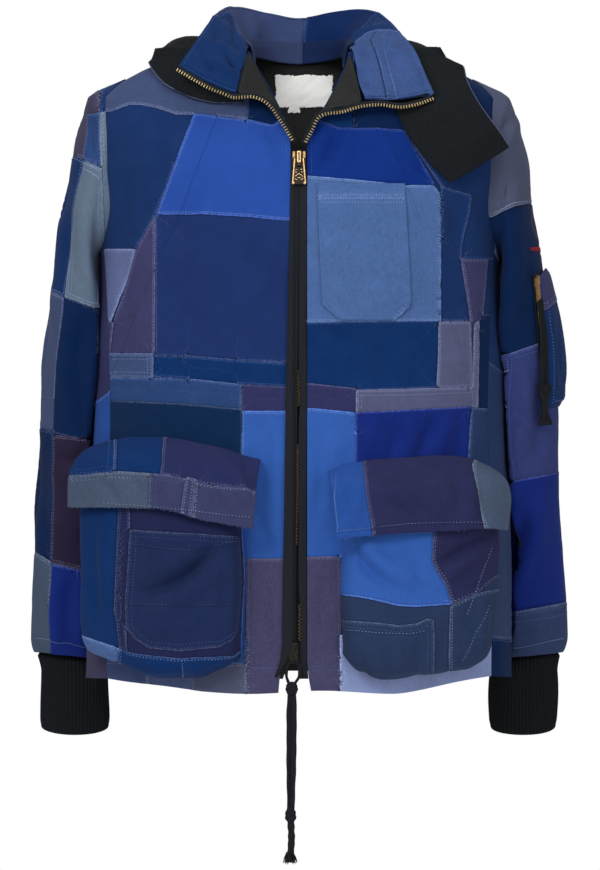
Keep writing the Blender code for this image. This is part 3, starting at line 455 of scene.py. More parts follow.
def back_surface():
    """Surface of the back: u runs from the wearer's right side seam to the left one."""
    tip = float(body_x(0.0, RIDGE_WIDEST))
    tip_z = float(body_height(np.array(tip), np.array(0.15)))
    neck_share = np.array((0, 0.1, 0.2, 0.3, 0.4, 1.0))
    neck_x = np.array((0, 21, 40, 49, 50.5, tip))
    neck_y = np.array((70.5, 66, 50, 25, 0.15, 0.15))

    def at(u, v):
        across = np.abs(u) / BACK_HALF
        share = np.clip((v - CHEST_LINE) / SHOULDER_RUN, 0, 1)
        base_z = np.minimum(v, CHEST_LINE)
        _, edge = level_edges(base_z, None, 1)
        top_x = np.interp(across, neck_share, neck_x)
        top_y = np.interp(across, neck_share, neck_y)
        arm_z = lerp(CHEST_LINE, RIDGE_WIDEST, share)
        arm_x = body_x(armhole_depth(arm_z), arm_z) - SEAM_GAP / 2
        x = lerp(across * edge, top_x, share)
        z = lerp(base_z, body_height(top_x, top_y), share)
        above = share > 0
        x = x + above * across * (arm_x - lerp(edge, tip, share))
        z = z + above * across * (arm_z - lerp(base_z, tip_z, share))
        y = np.maximum(body_y(x, z, 1), SEAM_GAP / 2)
        y = np.where(share > 0.999, top_y, y)
        return hem_rise(np.stack((np.sign(u + 1e-9) * x, y, z), axis=1))
    return at


def body_height(x, y):
    """Height of the body's top surface over a point, found by halving."""
    low = np.full(np.shape(x), -40.0)
    high = np.full(np.shape(x), 24.0)
    for _ in range(30):
        middle = (low + high) / 2
        inside = body_field(np.stack((x, y, middle), axis=-1)) < 1
        low = np.where(inside, middle, low)
        high = np.where(inside, high, middle)
    return low


def side_surface(side):
    """Surface of the strip under an arm: u from back to front, v the height below its top."""
    def at(u, v):
        share = u / SIDE_HALF
        depth_top = share * (SIDE_SEAM[-1, 1] - SEAM_GAP)
        reach = (np.abs(depth_top) / ARMHOLE_HALF_DEPTH) ** ARMHOLE_POWER
        top = ARMHOLE_Z - ARMHOLE_HALF_HEIGHT * (1 - reach) ** (1 / ARMHOLE_POWER)
        z = lerp(HEM, top, (v - HEM) / (UNDERARM - HEM))
        y = -share * (np.interp(z, SIDE_SEAM[:, 0], SIDE_SEAM[:, 1]) - SEAM_GAP)
        return hem_rise(np.stack((side * body_x(y, z), y, z), axis=1))
    return at


HEAD_LIFT = 0.9     # the sleeve's head turns in until it lies on the armhole's edge


def sleeve_points(number, angles):
    """Points of the left sleeve for ring numbers from 0 and angles, one of each."""
    sine, cosine = np.sin(angles), np.cos(angles)
    rounded_sine = np.sign(sine) * np.abs(sine) ** (2 / ARMHOLE_POWER)
    rounded_cosine = np.sign(cosine) * np.abs(cosine) ** (2 / ARMHOLE_POWER)
    y = -ARMHOLE_HALF_DEPTH * rounded_sine
    z = ARMHOLE_Z + ARMHOLE_HALF_HEIGHT * rounded_cosine
    rim = np.stack((body_x(y, z), y, z), axis=1)
    first = rim + body_normal(rim) * HEAD_LIFT
    steps = np.arange(1, len(SLEEVE) + 1)
    at = np.maximum(number, 1)
    outer_x, outer_z, inner_x, inner_z, centre_y, half_depth = [
        smooth(steps, SLEEVE[:, c], at) for c in range(SLEEVE.shape[1])]
    x = (outer_x + inner_x) / 2 + (outer_x - inner_x) / 2 * rounded_cosine
    z = (outer_z + inner_z) / 2 + (outer_z - inner_z) / 2 * rounded_cosine
    y = centre_y - half_depth * rounded_sine
    x = np.maximum(x, body_x(y, z) + ARM_CLEARANCE)
    below = np.stack((x, y, z), axis=1)
    mix = np.clip(number, 0, 1)[:, None]
    return first * (1 - mix) + below * mix


SLEEVE_LENGTHS = np.array((
    0, 12, 30, 62, 95, 128, 170, 220, 265, 311, 356, 406, 454, 483, 500, 513, 518,
), float)
SLEEVE_AROUND = 350.0   # flat width of a sleeve; its cut edges meet under the arm


def sleeve_flat(side):
    """Surface of a sleeve: u from 0 under the arm over the back and outside to the front, v down."""
    def at(u, v):
        number = np.interp(-v, SLEEVE_LENGTHS, np.arange(len(SLEEVE_LENGTHS)))
        turn = math.pi + 2 * math.pi * u / SLEEVE_AROUND
        points = sleeve_points(number, turn)
        return points * (side, 1, 1)
    return at


# ---------------------------------------------------------------- flat sewing plan

def resample(points, step, closed=True):
    """Points along a polyline, no further apart than the step."""
    route = np.array(points, float)
    if closed:
        route = np.concatenate((route, route[:1]))
    made = []
    for a, b in zip(route[:-1], route[1:]):
        count = max(1, int(np.ceil(np.linalg.norm(b - a) / step)))
        made.extend(lerp(a, b, share) for share in np.arange(count) / count)
    if not closed:
        made.append(route[-1])
    return np.array(made)


def inside(polygon, points):
    """True for each point that lies in the polygon."""
    found = np.zeros(len(points), bool)
    x, y = points[:, 0], points[:, 1]
    for (ax, ay), (bx, by) in zip(polygon, np.roll(polygon, -1, axis=0)):
        if ay == by:
            continue
        crosses = (ay > y) != (by > y)
        found ^= crosses & (x < (bx - ax) * (y - ay) / (by - ay) + ax)
    return found


def nearest(points, others):
    """Distance from each point to the nearest of the others, and which one it is."""
    tree = KDTree(len(others))
    flat = others.shape[1] == 2
    for number, other in enumerate(others.tolist()):
        tree.insert((*other, 0.0) if flat else other, number)
    tree.balance()
    found = [tree.find((*point, 0.0) if flat else point) for point in points.tolist()]
    return np.array([item[2] for item in found]), np.array([item[1] for item in found])


def front_view_finder(surface, size):
    """Finds the flat places of points given as they are seen from the front or back."""
    u, v = np.meshgrid(np.linspace(size[0], size[2], 120), np.linspace(size[1], size[3], 240))
    u, v = u.ravel(), v.ravel()
    seen = surface(u, v)[:, (0, 2)]

    def find(points):
        points = np.asarray(points, float)
        _, which = nearest(points, seen)
        place = start = np.stack((u[which], v[which]), axis=1)
        for _ in range(5):
            here = surface(place[:, 0], place[:, 1])[:, (0, 2)]
            by_u = surface(place[:, 0] + 0.5, place[:, 1])[:, (0, 2)] - here
            by_v = surface(place[:, 0], place[:, 1] + 0.5)[:, (0, 2)] - here
            miss = points - here
            turn = by_u[:, 0] * by_v[:, 1] - by_u[:, 1] * by_v[:, 0]
            turn = np.where(np.abs(turn) < 1e-3, 1e-3, turn)
            step_u = (miss[:, 0] * by_v[:, 1] - miss[:, 1] * by_v[:, 0]) / turn * 0.5
            step_v = (by_u[:, 0] * miss[:, 1] - by_u[:, 1] * miss[:, 0]) / turn * 0.5
            place = place + np.clip(np.stack((step_u, step_v), axis=1), -8, 8)
            place = np.clip(place, size[:2], size[2:])
        miss = np.linalg.norm(surface(place[:, 0], place[:, 1])[:, (0, 2)] - points, axis=1)
        return np.where((miss < 1.5)[:, None], place, start)
    return find


def same_place(points):
    return np.array(points, float)


def flat_view(points, places):
    """Folds placed on the flat piece instead of in a view."""
    return places


def ripple(points, length, seed):
    """Soft uneven waves over points, from -1 to 1, about the given length apart."""
    chance = np.random.default_rng(seed)
    total = np.zeros(len(points))
    for _ in range(7):
        heading = chance.normal(size=points.shape[1])
        heading /= np.linalg.norm(heading)
        wave = length * chance.uniform(0.7, 1.6)
        total += np.sin(points @ heading * (2 * math.pi / wave) + chance.uniform(0, 2 * math.pi))
    return total / 7 * 1.6


FOLD_STRENGTH = 1.75   # the fold tables' heights are multiplied by this


def crease_height(creases, view):
    """Height of the listed folds at places seen in a view."""
    total = np.zeros(len(view))
    for x1, z1, x2, z2, x3, z3, width, height in creases:
        share = np.linspace(0, 1, 15)[:, None]
        a, b, c = np.array((x1, z1)), np.array((x2, z2)), np.array((x3, z3))
        line = (1 - share) ** 2 * a + 2 * share * (1 - share) * (2 * b - (a + c) / 2) + share ** 2 * c
        start, run = line[:-1], line[1:] - line[:-1]
        to = view[:, None, :] - start[None, :, :]
        along = np.clip((to * run).sum(axis=2) / (run ** 2).sum(axis=1), 0, 1)
        gap = np.linalg.norm(to - along[..., None] * run, axis=2)
        which = gap.argmin(axis=1)
        rows = np.arange(len(view))
        place = (which + along[rows, which]) / len(start)
        fade = np.clip(np.sin(np.pi * np.clip(place * 0.92 + 0.04, 0, 1)), 0, 1) ** 0.7
        total += FOLD_STRENGTH * height * fade * np.exp(-(gap[rows, which] / width) ** 2)
    return total


# ---------------------------------------------------------------- sewing a piece

materials = {}
pieces = {}


def new_mesh(name, points, faces, *used):
    """Mesh of points in mm, with the named materials."""
    mesh = bpy.data.meshes.new(name)
    mesh.from_pydata((np.array(points) * MM).tolist(), [], faces)
    for material in used:
        mesh.materials.append(materials[material])
    return mesh


def placed(name, mesh):
    """The mesh as an object of the scene."""
    made = bpy.data.objects.new(name, mesh)
    bpy.context.collection.objects.link(made)
    return made


def srgb(red, green, blue):
    """Linear colour from a screen colour of 0 to 255."""
    made = []
    for value in (red, green, blue):
        part = value / 255
        made.append(part / 12.92 if part <= 0.04045 else ((part + 0.055) / 1.055) ** 2.4)
    return made


def outward_normals(surface, places, flip):
    """Unit normals of a surface over flat places."""
    u, v = places[:, 0], places[:, 1]
    by_u = surface(u + 0.4, v) - surface(u - 0.4, v)
    by_v = surface(u, v + 0.4) - surface(u, v - 0.4)
    normal = np.cross(by_u, by_v) * flip
    return normal / np.maximum(np.linalg.norm(normal, axis=1, keepdims=True), 1e-9)


def offset_line(route, distance):
    """An open or closed flat route moved to its left by a distance."""
    along = np.gradient(route, axis=0)
    along /= np.maximum(np.linalg.norm(along, axis=1, keepdims=True), 1e-9)
    left = np.stack((-along[:, 1], along[:, 0]), axis=1)
    return route + left * distance


def signed_area(polygon):
    following = np.roll(polygon, -1, axis=0)
    return float((polygon[:, 0] * following[:, 1] - polygon[:, 1] * following[:, 0]).sum() / 2)


# Rows of points kept beside every seam, so that the lap has an edge, in mm.
BESIDE_SEAM = (0.75, -0.75, 2.3, -2.3)
STITCH_STEP = 2.9      # from one stitch to the next
FIRST_ROW = 1.9        # from a patch's edge to its first row of stitches
ROW_GAP = 3.6          # between two rows
LINE_ROW = 1.6         # from a sewn line to its stitches
WEAVE_SCALE = 100      # mm of cloth to one unit of the weave's pattern


class Piece:
    """One sewn piece: its surface, its patches and how high its cloth stands off the solid."""

    def __init__(self, name, surface, size, patches, find=None, lines=(), creases=(), seed=1,
                 spacing=3.2, wall=1.4, base=0.2, swell=1.2, pucker=0.35, seam_height=0.6,
                 inward=False, view=None, folds=None, calm=()):
        self.name, self.surface, self.size, self.seed = name, surface, size, seed
        self.spacing, self.wall, self.base = spacing, wall, base
        self.swell, self.pucker, self.seam_height = swell, pucker, seam_height
        self.creases, self.view, self.folds, self.calm = creases, view, folds, calm
        find = find or front_view_finder(surface, size)
        self.patches = []
        for cloth_name, thread, rows, outline in patches:
            border = np.clip(find(resample(outline, spacing)), size[:2], size[2:])
            self.patches.append((cloth_name, thread, rows, border))
        self.lines = [(thread, depth, find(resample(route, spacing, closed=False)))
                      for thread, depth, route in lines]
        middle = np.array(((size[0] + size[2]) / 2, (size[1] + size[3]) / 2))
        self.flip = -self.outside(middle) if inward else self.outside(middle)
        self.plan()

    def outside(self, middle):
        """1 or -1, so that the normals look away from the middle of the surface's own points."""
        chance = np.random.default_rng(3)
        places = chance.uniform(self.size[:2], self.size[2:], (400, 2))
        points = self.surface(places[:, 0], places[:, 1])
        normals = outward_normals(self.surface, places, 1)
        return 1 if ((points - points.mean(axis=0)) * normals).sum() > 0 else -1

    def patch_at(self, places):
        """Number of the topmost patch at each place; the first patch is the ground."""
        found = np.zeros(len(places), int)
        for number, patch in enumerate(self.patches):
            found[inside(patch[3], places)] = number
        return found

    def plan(self):
        """Triangles over the flat rectangle, with edges along every patch and line."""
        u0, v0, u1, v1 = self.size
        step = self.spacing
        corners = ((u0, v0), (u1, v0), (u1, v1), (u0, v1))
        routes = [resample(corners, step)] + [patch[3] for patch in self.patches[1:]]
        closed = [True] * len(routes) + [False] * len(self.lines)
        routes += [line[2] for line in self.lines]
        points, edges, beside = [], [], []
        for route, shut in zip(routes, closed):
            first = len(points)
            points.extend(route)
            count = len(route)
            edges += [(first + i, first + (i + 1) % count) for i in range(count if shut else count - 1)]
            for distance in BESIDE_SEAM:
                beside.append(offset_line(route, distance))
        fixed = np.array(points)
        beside = np.concatenate(beside)
        chance = np.random.default_rng(self.seed)
        cols, rows = int((u1 - u0) / step), int((v1 - v0) / (step * 0.87))
        grid = np.stack(np.meshgrid(np.arange(cols) + 0.5, np.arange(rows) + 0.5), axis=2).astype(float)
        grid[1::2, :, 0] += 0.5
        free = grid.reshape(-1, 2) * ((u1 - u0) / cols, (v1 - v0) / rows) + (u0, v0)
        free += chance.uniform(-0.25, 0.25, free.shape) * step
        within = ((free > (u0 + 1, v0 + 1)) & (free < (u1 - 1, v1 - 1))).all(axis=1)
        free = free[within]
        within = ((beside > (u0 + 0.4, v0 + 0.4)) & (beside < (u1 - 0.4, v1 - 0.4))).all(axis=1)
        beside = beside[within]
        dense = np.concatenate([resample(route, 1.0, shut) for route, shut in zip(routes, closed)])
        beside = beside[nearest(beside, dense)[0] > 0.6]
        free = free[nearest(free, dense)[0] > 3.0]
        every = np.concatenate((fixed, beside, free))
        flat, _, faces, *_ = delaunay_2d_cdt([Vector(p) for p in every], edges, [], 0, 1e-3)
        self.places = np.array([tuple(p) for p in flat])
        triangles = np.array([face for face in faces if len(face) == 3])
        corner = self.places[triangles]
        cross = ((corner[:, 1, 0] - corner[:, 0, 0]) * (corner[:, 2, 1] - corner[:, 0, 1])
                 - (corner[:, 1, 1] - corner[:, 0, 1]) * (corner[:, 2, 0] - corner[:, 0, 0]))
        self.triangles = triangles[np.abs(cross) > 1e-3]
        middles = self.places[self.triangles].mean(axis=1)
        self.face_patch = self.patch_at(np.clip(middles, (u0 + 0.8, v0 + 0.8), (u1 - 0.8, v1 - 0.8)))
        self.find_seams()

    def find_seams(self):
        """Places along the seams where two patches meet, and the patch that lies on top there."""
        sides = np.concatenate([self.triangles[:, pair] for pair in ((0, 1), (1, 2), (2, 0))])
        owner = np.tile(self.face_patch, 3)
        key = np.sort(sides, axis=1)
        order = np.lexsort((key[:, 1], key[:, 0]))
        key, owner = key[order], owner[order]
        same = (key[:-1] == key[1:]).all(axis=1) & (owner[:-1] != owner[1:])
        a, b = self.places[key[:-1][same, 0]], self.places[key[:-1][same, 1]]
        top = np.maximum(owner[:-1][same], owner[1:][same])
        self.seam_places = np.concatenate((a, (a + b) / 2, lerp(a, b, 0.25), lerp(a, b, 0.75)))
        self.seam_top = np.tile(top, 4)

    def seam_distance(self, places, patch):
        """Distance from the nearest seam in mm: above 0 on the lapped side, below 0 under it."""
        if len(self.seam_places) == 0:
            return np.full(len(places), 30.0)
        distance, which = nearest(places, self.seam_places)
        return np.where(patch == self.seam_top[which], distance, -distance)

    def height(self, places, patch):
        """How far the inner side of the cloth stands off its solid's inner side."""
        points = self.surface(places[:, 0], places[:, 1])
        distance = self.seam_distance(places, patch)
        lap = np.where(distance >= 0, np.exp(-distance / 5.0) * np.clip(distance / 0.7, 0, 1),
                       -0.6 * np.exp(distance / 1.6) * np.clip(-distance / 0.7, 0, 1))
        total = self.base + self.seam_height * lap
        near = np.exp(-np.abs(distance) / 7.0)
        total = total + self.pucker * near * ripple(places, 9.0, self.seed + 5)
        for _, depth, route in self.lines:
            gap, _ = nearest(places, resample(route, 1.5, closed=False))
            groove, rim = np.exp(-(gap / 1.3) ** 2), np.exp(-((gap - 3) / 2.0) ** 2)
            total = total - depth * groove + depth * 0.5 * rim
        if self.folds is not None:
            total = total + self.folds(points)
        return total + self.large_folds(points, places)

    def large_folds(self, points, places):
        """The wide waves and the listed folds, which also lift what is sewn on top."""
        seen = points[:, (0, 2)] if self.view is None else self.view(points, places)
        waves = self.swell * ripple(points, 75.0, self.seed + 9)
        waves = waves + 0.22 * ripple(points, 17.0, self.seed + 11)
        waves = waves + crease_height(self.creases, seen)
        if places is None or not self.calm:
            return waves
        gaps = np.concatenate((places - self.size[:2], np.array(self.size[2:]) - places), axis=1)
        reach = np.array(self.calm, float)
        fade = np.where(reach > 0, gaps / np.maximum(reach, 1e-6), 1.0).min(axis=1)
        return waves * np.clip(fade, 0.08, 1)

    def outer(self, places):
        """Points on the outside of the finished cloth, and normals there."""
        normals = outward_normals(self.surface, places, self.flip)
        rise = self.height(places, self.patch_at(places)) + self.wall
        return self.surface(places[:, 0], places[:, 1]) + normals * rise[:, None], normals

    def make(self, lining="lining"):
        """The mesh object, built from the flat cut and given its wall by a solidify modifier."""
        vertex_patch = np.zeros(len(self.places), int)
        for corner in range(3):
            np.maximum.at(vertex_patch, self.triangles[:, corner], self.face_patch)
        rise = self.height(self.places, vertex_patch)
        normals = outward_normals(self.surface, self.places, self.flip)
        points = self.surface(self.places[:, 0], self.places[:, 1]) + normals * rise[:, None]
        faces = self.triangles if self.flip > 0 else self.triangles[:, ::-1]
        used = []
        for patch in self.patches:
            if patch[0] not in used:
                used.append(patch[0])
        mesh = new_mesh(self.name, points, faces.tolist(), *used, *([lining] if lining else []))
        seam = mesh.attributes.new("seam", "FLOAT", "POINT")
        lower = np.full(len(self.places), len(self.patches))
        for corner in range(3):
            np.minimum.at(lower, self.triangles[:, corner], self.face_patch)
        distance = self.seam_distance(self.places, vertex_patch)
        distance[lower != vertex_patch] = 0
        seam.data.foreach_set("value", np.clip(distance, -30, 30))
        slots = np.array([used.index(patch[0]) for patch in self.patches])
        mesh.polygons.foreach_set("material_index", slots[self.face_patch])
        chance = np.random.default_rng(self.seed + 40)
        turns = np.radians(chance.choice((0, 0, 90, 4, -6, 12), len(self.patches)))
        shift = chance.uniform(0, 9, (len(self.patches), 2))
        loops = self.places[faces] / WEAVE_SCALE
        turn = turns[self.face_patch][:, None]
        across = loops[..., 0] * np.cos(turn) - loops[..., 1] * np.sin(turn)
        down = loops[..., 0] * np.sin(turn) + loops[..., 1] * np.cos(turn)
        place = np.stack((across, down), axis=2) + shift[self.face_patch][:, None, :]
        weave = mesh.uv_layers.new(name="weave")
        weave.data.foreach_set("uv", place.ravel())
        mesh.shade_smooth()
        made = placed(self.name + "_cloth", mesh)
        solid = made.modifiers.new("wall", "SOLIDIFY")
        solid.thickness = self.wall * MM
        solid.offset = 1.0
        solid.material_offset = len(used) if lining else 0
        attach(made, "jacket")
        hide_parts(self.name)
        pieces[self.name] = self
        self.stitch()
        return made

    def stitch(self):
        """Rows of thread along the patches' edges and the lines, in one mesh for each colour."""
        rows = {}
        for number, (_, thread, count, border) in enumerate(self.patches):
            if thread is None or number == 0:
                continue
            turn = 1 if signed_area(border) > 0 else -1
            ring = np.concatenate((border, border[:1]))
            for row in range(count):
                offset = offset_line(ring, turn * (FIRST_ROW + ROW_GAP * row))
                route = resample(offset, STITCH_STEP, closed=False)
                route = resample(route, STITCH_STEP / 2, closed=False)
                route = even_steps(route, STITCH_STEP)
                if len(route) < 3:
                    continue
                middle, along = (route[1:] + route[:-1]) / 2, route[1:] - route[:-1]
                keep = self.patch_at(middle) == number
                keep &= self.in_size(middle, 1.5)
                gap = self.seam_distance(middle, self.patch_at(middle))
                keep &= (gap > max(1.2, 0.7 + ROW_GAP * row)) & (gap < 2.9 + ROW_GAP * row)
                rows.setdefault(thread, []).append((middle[keep], along[keep]))
        for thread, _, route in self.lines:
            if thread is None:
                continue
            steps = even_steps(offset_line(route, LINE_ROW), STITCH_STEP)
            if len(steps) < 3:
                continue
            middle, along = (steps[1:] + steps[:-1]) / 2, steps[1:] - steps[:-1]
            keep = self.in_size(middle, 1.0)
            rows.setdefault(thread, []).append((middle[keep], along[keep]))
        for thread, parts in rows.items():
            middle = np.concatenate([part[0] for part in parts])
            along = np.concatenate([part[1] for part in parts])
            if len(middle):
                thread_mesh(self, middle, along, thread)

    def in_size(self, places, margin):
        low, high = np.array(self.size[:2]) + margin, np.array(self.size[2:]) - margin
        return ((places > low) & (places < high)).all(axis=1)


def even_steps(route, step):
    """Points at an even distance along an open route."""
    run = length_along(route)
    at = np.arange(0, run[-1], step)
    return np.stack([np.interp(at, run, route[:, axis]) for axis in range(route.shape[1])], axis=1)


def thread_mesh(piece, middle, along, thread):
    """Spindle-shaped stitches on a piece: two ends in the cloth and a raised waist."""
    chance = np.random.default_rng(piece.seed + len(middle))
    along = along / np.maximum(np.linalg.norm(along, axis=1, keepdims=True), 1e-9)
    along = along + chance.normal(0, 0.05, along.shape)
    points, normals = piece.outer(middle)
    ahead = piece.surface(*(middle + along * 0.5).T)
    behind = piece.surface(*(middle - along * 0.5).T)
    run = ahead - behind
    run /= np.maximum(np.linalg.norm(run, axis=1, keepdims=True), 1e-9)
    across = np.cross(run, normals)
    half = chance.uniform(0.85, 1.15, (len(middle), 1))
    made = [points + run * half - normals * 0.12, points - run * half - normals * 0.12,
            points + across * 0.36 + normals * 0.05, points - across * 0.36 + normals * 0.05,
            points + normals * 0.32]
    verts = np.stack(made, axis=1).reshape(-1, 3)
    faces = np.array(((0, 2, 4), (2, 1, 4), (1, 3, 4), (3, 0, 4)))
    every = (faces[None] + 5 * np.arange(len(middle))[:, None, None]).reshape(-1, 3)
    name = piece.name + "_stitches_" + thread
    stitches = placed(name, new_mesh(name, verts, every.tolist(), thread))
    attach(stitches, "jacket")


# ---------------------------------------------------------------- materials

# Each cloth: screen colour, fade towards white, slub contrast, twill contrast.
CLOTHS = {
    "lavender_slate": ((66, 80, 118), 0.20, 0.12, 0.05),
    "dark_navy": ((22, 50, 100), 0.16, 0.08, 0.04),
    "ink_navy": ((6, 35, 78), 0.14, 0.08, 0.04),
    "big_navy": ((30, 51, 104), 0.16, 0.08, 0.04),
    "pale_lavender": ((98, 110, 154), 0.18, 0.12, 0.05),
    "plum": ((62, 62, 104), 0.16, 0.14, 0.06),
    "purple_plum": ((50, 52, 96), 0.16, 0.14, 0.06),
    "slate": ((62, 80, 122), 0.20, 0.16, 0.06),
    "cobalt": ((40, 78, 164), 0.12, 0.06, 0.03),
    "teal_navy": ((10, 48, 102), 0.18, 0.12, 0.05),
    "grey_blue": ((42, 70, 120), 0.20, 0.14, 0.06),
    "night_teal": ((12, 41, 78), 0.14, 0.12, 0.05),
    "cornflower": ((52, 96, 178), 0.14, 0.08, 0.04),
    "plum_linen": ((72, 70, 104), 0.22, 0.26, 0.02),
    "bright_blue": ((40, 80, 156), 0.14, 0.10, 0.05),
    "ultramarine": ((12, 48, 128), 0.12, 0.06, 0.03),
    "indigo_blue": ((20, 42, 122), 0.12, 0.06, 0.03),
    "light_denim": ((76, 106, 160), 0.26, 0.24, 0.08),
    "lavender_grey": ((88, 92, 126), 0.22, 0.16, 0.05),
    "steel_slate": ((38, 58, 100), 0.18, 0.12, 0.05),
    "purple_navy": ((38, 45, 88), 0.16, 0.10, 0.04),
    "grey_green": ((100, 117, 138), 0.22, 0.20, 0.05),
    "mauve_grey": ((80, 86, 112), 0.20, 0.12, 0.04),
    "indigo_purple": ((54, 64, 120), 0.18, 0.18, 0.06),
    "dark_plum": ((44, 36, 62), 0.14, 0.10, 0.04),
    "plum_brown": ((66, 64, 92), 0.16, 0.14, 0.05),
    "hem_lavender": ((84, 96, 136), 0.22, 0.18, 0.05),
    "slate_navy": ((50, 66, 104), 0.18, 0.14, 0.05),
    "green_slate": ((72, 86, 110), 0.20, 0.16, 0.05),
    "bag_purple": ((34, 40, 80), 0.16, 0.12, 0.05),
    "bag_navy": ((30, 44, 84), 0.14, 0.14, 0.05),
    "bag_slate": ((42, 58, 92), 0.18, 0.14, 0.05),
    "band_plum": ((58, 62, 98), 0.18, 0.14, 0.05),
    "plum_navy": ((42, 44, 84), 0.18, 0.12, 0.05),
    "worn_denim": ((60, 84, 136), 0.30, 0.24, 0.08),
    "wing_navy": ((16, 48, 98), 0.18, 0.12, 0.05),
    "collar_navy": ((10, 38, 88), 0.12, 0.08, 0.04),
    # A paler copy of hem_lavender, partly painted light that lifts the shade under the left cargo pocket.
    "pale_hem": ((140, 155, 202), 0.30, 0.16, 0.05),
    "collar_slate": ((56, 70, 112), 0.16, 0.12, 0.05),
}
THREADS = {
    "pale_thread": (148, 168, 208),
    "blue_thread": (84, 116, 180),
    "dark_thread": (10, 18, 42),
    "lilac_thread": (140, 138, 176),
    "dim_thread": (84, 98, 138),
}


class Nodes:
    """Short way to place shader nodes and join them."""

    def __init__(self, name):
        self.material = bpy.data.materials.new(name)
        self.material.use_nodes = True
        self.tree = self.material.node_tree
        self.shader = self.tree.nodes["Principled BSDF"]

    def add(self, kind, **values):
        node = self.tree.nodes.new(kind)
        for key, value in values.items():
            if key in node.inputs:
                node.inputs[key].default_value = value
            else:
                setattr(node, key, value)
        return node

    def join(self, source, output, target, socket):
        self.tree.links.new(source.outputs[output], target.inputs[socket])

    def math(self, operation, first, second, clamp=False):
        node = self.tree.nodes.new("ShaderNodeMath")
        node.operation = operation
        node.use_clamp = clamp
        for socket, value in enumerate((first, second)):
            if isinstance(value, (int, float)):
                node.inputs[socket].default_value = value
            else:
                self.tree.links.new(value, node.inputs[socket])
        return node.outputs[0]

    def between(self, value, low, high, from_low=0.0, from_high=1.0):
        node = self.tree.nodes.new("ShaderNodeMapRange")
        node.clamp = True
        node.inputs["From Min"].default_value = from_low
        node.inputs["From Max"].default_value = from_high
        node.inputs["To Min"].default_value = low
        node.inputs["To Max"].default_value = high
        self.tree.links.new(value, node.inputs["Value"])
        return node.outputs["Result"]

    def mix(self, factor, first, second, blend="MIX"):
        node = self.tree.nodes.new("ShaderNodeMix")
        node.data_type = "RGBA"
        node.blend_type = blend
        for socket, value in ((0, factor), (6, first), (7, second)):
            if isinstance(value, (int, float)):
                node.inputs[socket].default_value = value
            elif isinstance(value, (tuple, list)):
                node.inputs[socket].default_value = (*value, 1)
            else:
                self.tree.links.new(value, node.inputs[socket])
        return node.outputs[2]

    def noise(self, vector, scale, detail=2.0, rough=0.5, stretch=None):
        if stretch is not None:
            node = self.tree.nodes.new("ShaderNodeMapping")
            node.inputs["Scale"].default_value = stretch
            self.tree.links.new(vector, node.inputs["Vector"])
            vector = node.outputs["Vector"]
        made = self.add("ShaderNodeTexNoise", Scale=scale, Detail=detail, Roughness=rough)
        self.tree.links.new(vector, made.inputs["Vector"])
        return made.outputs["Fac"]


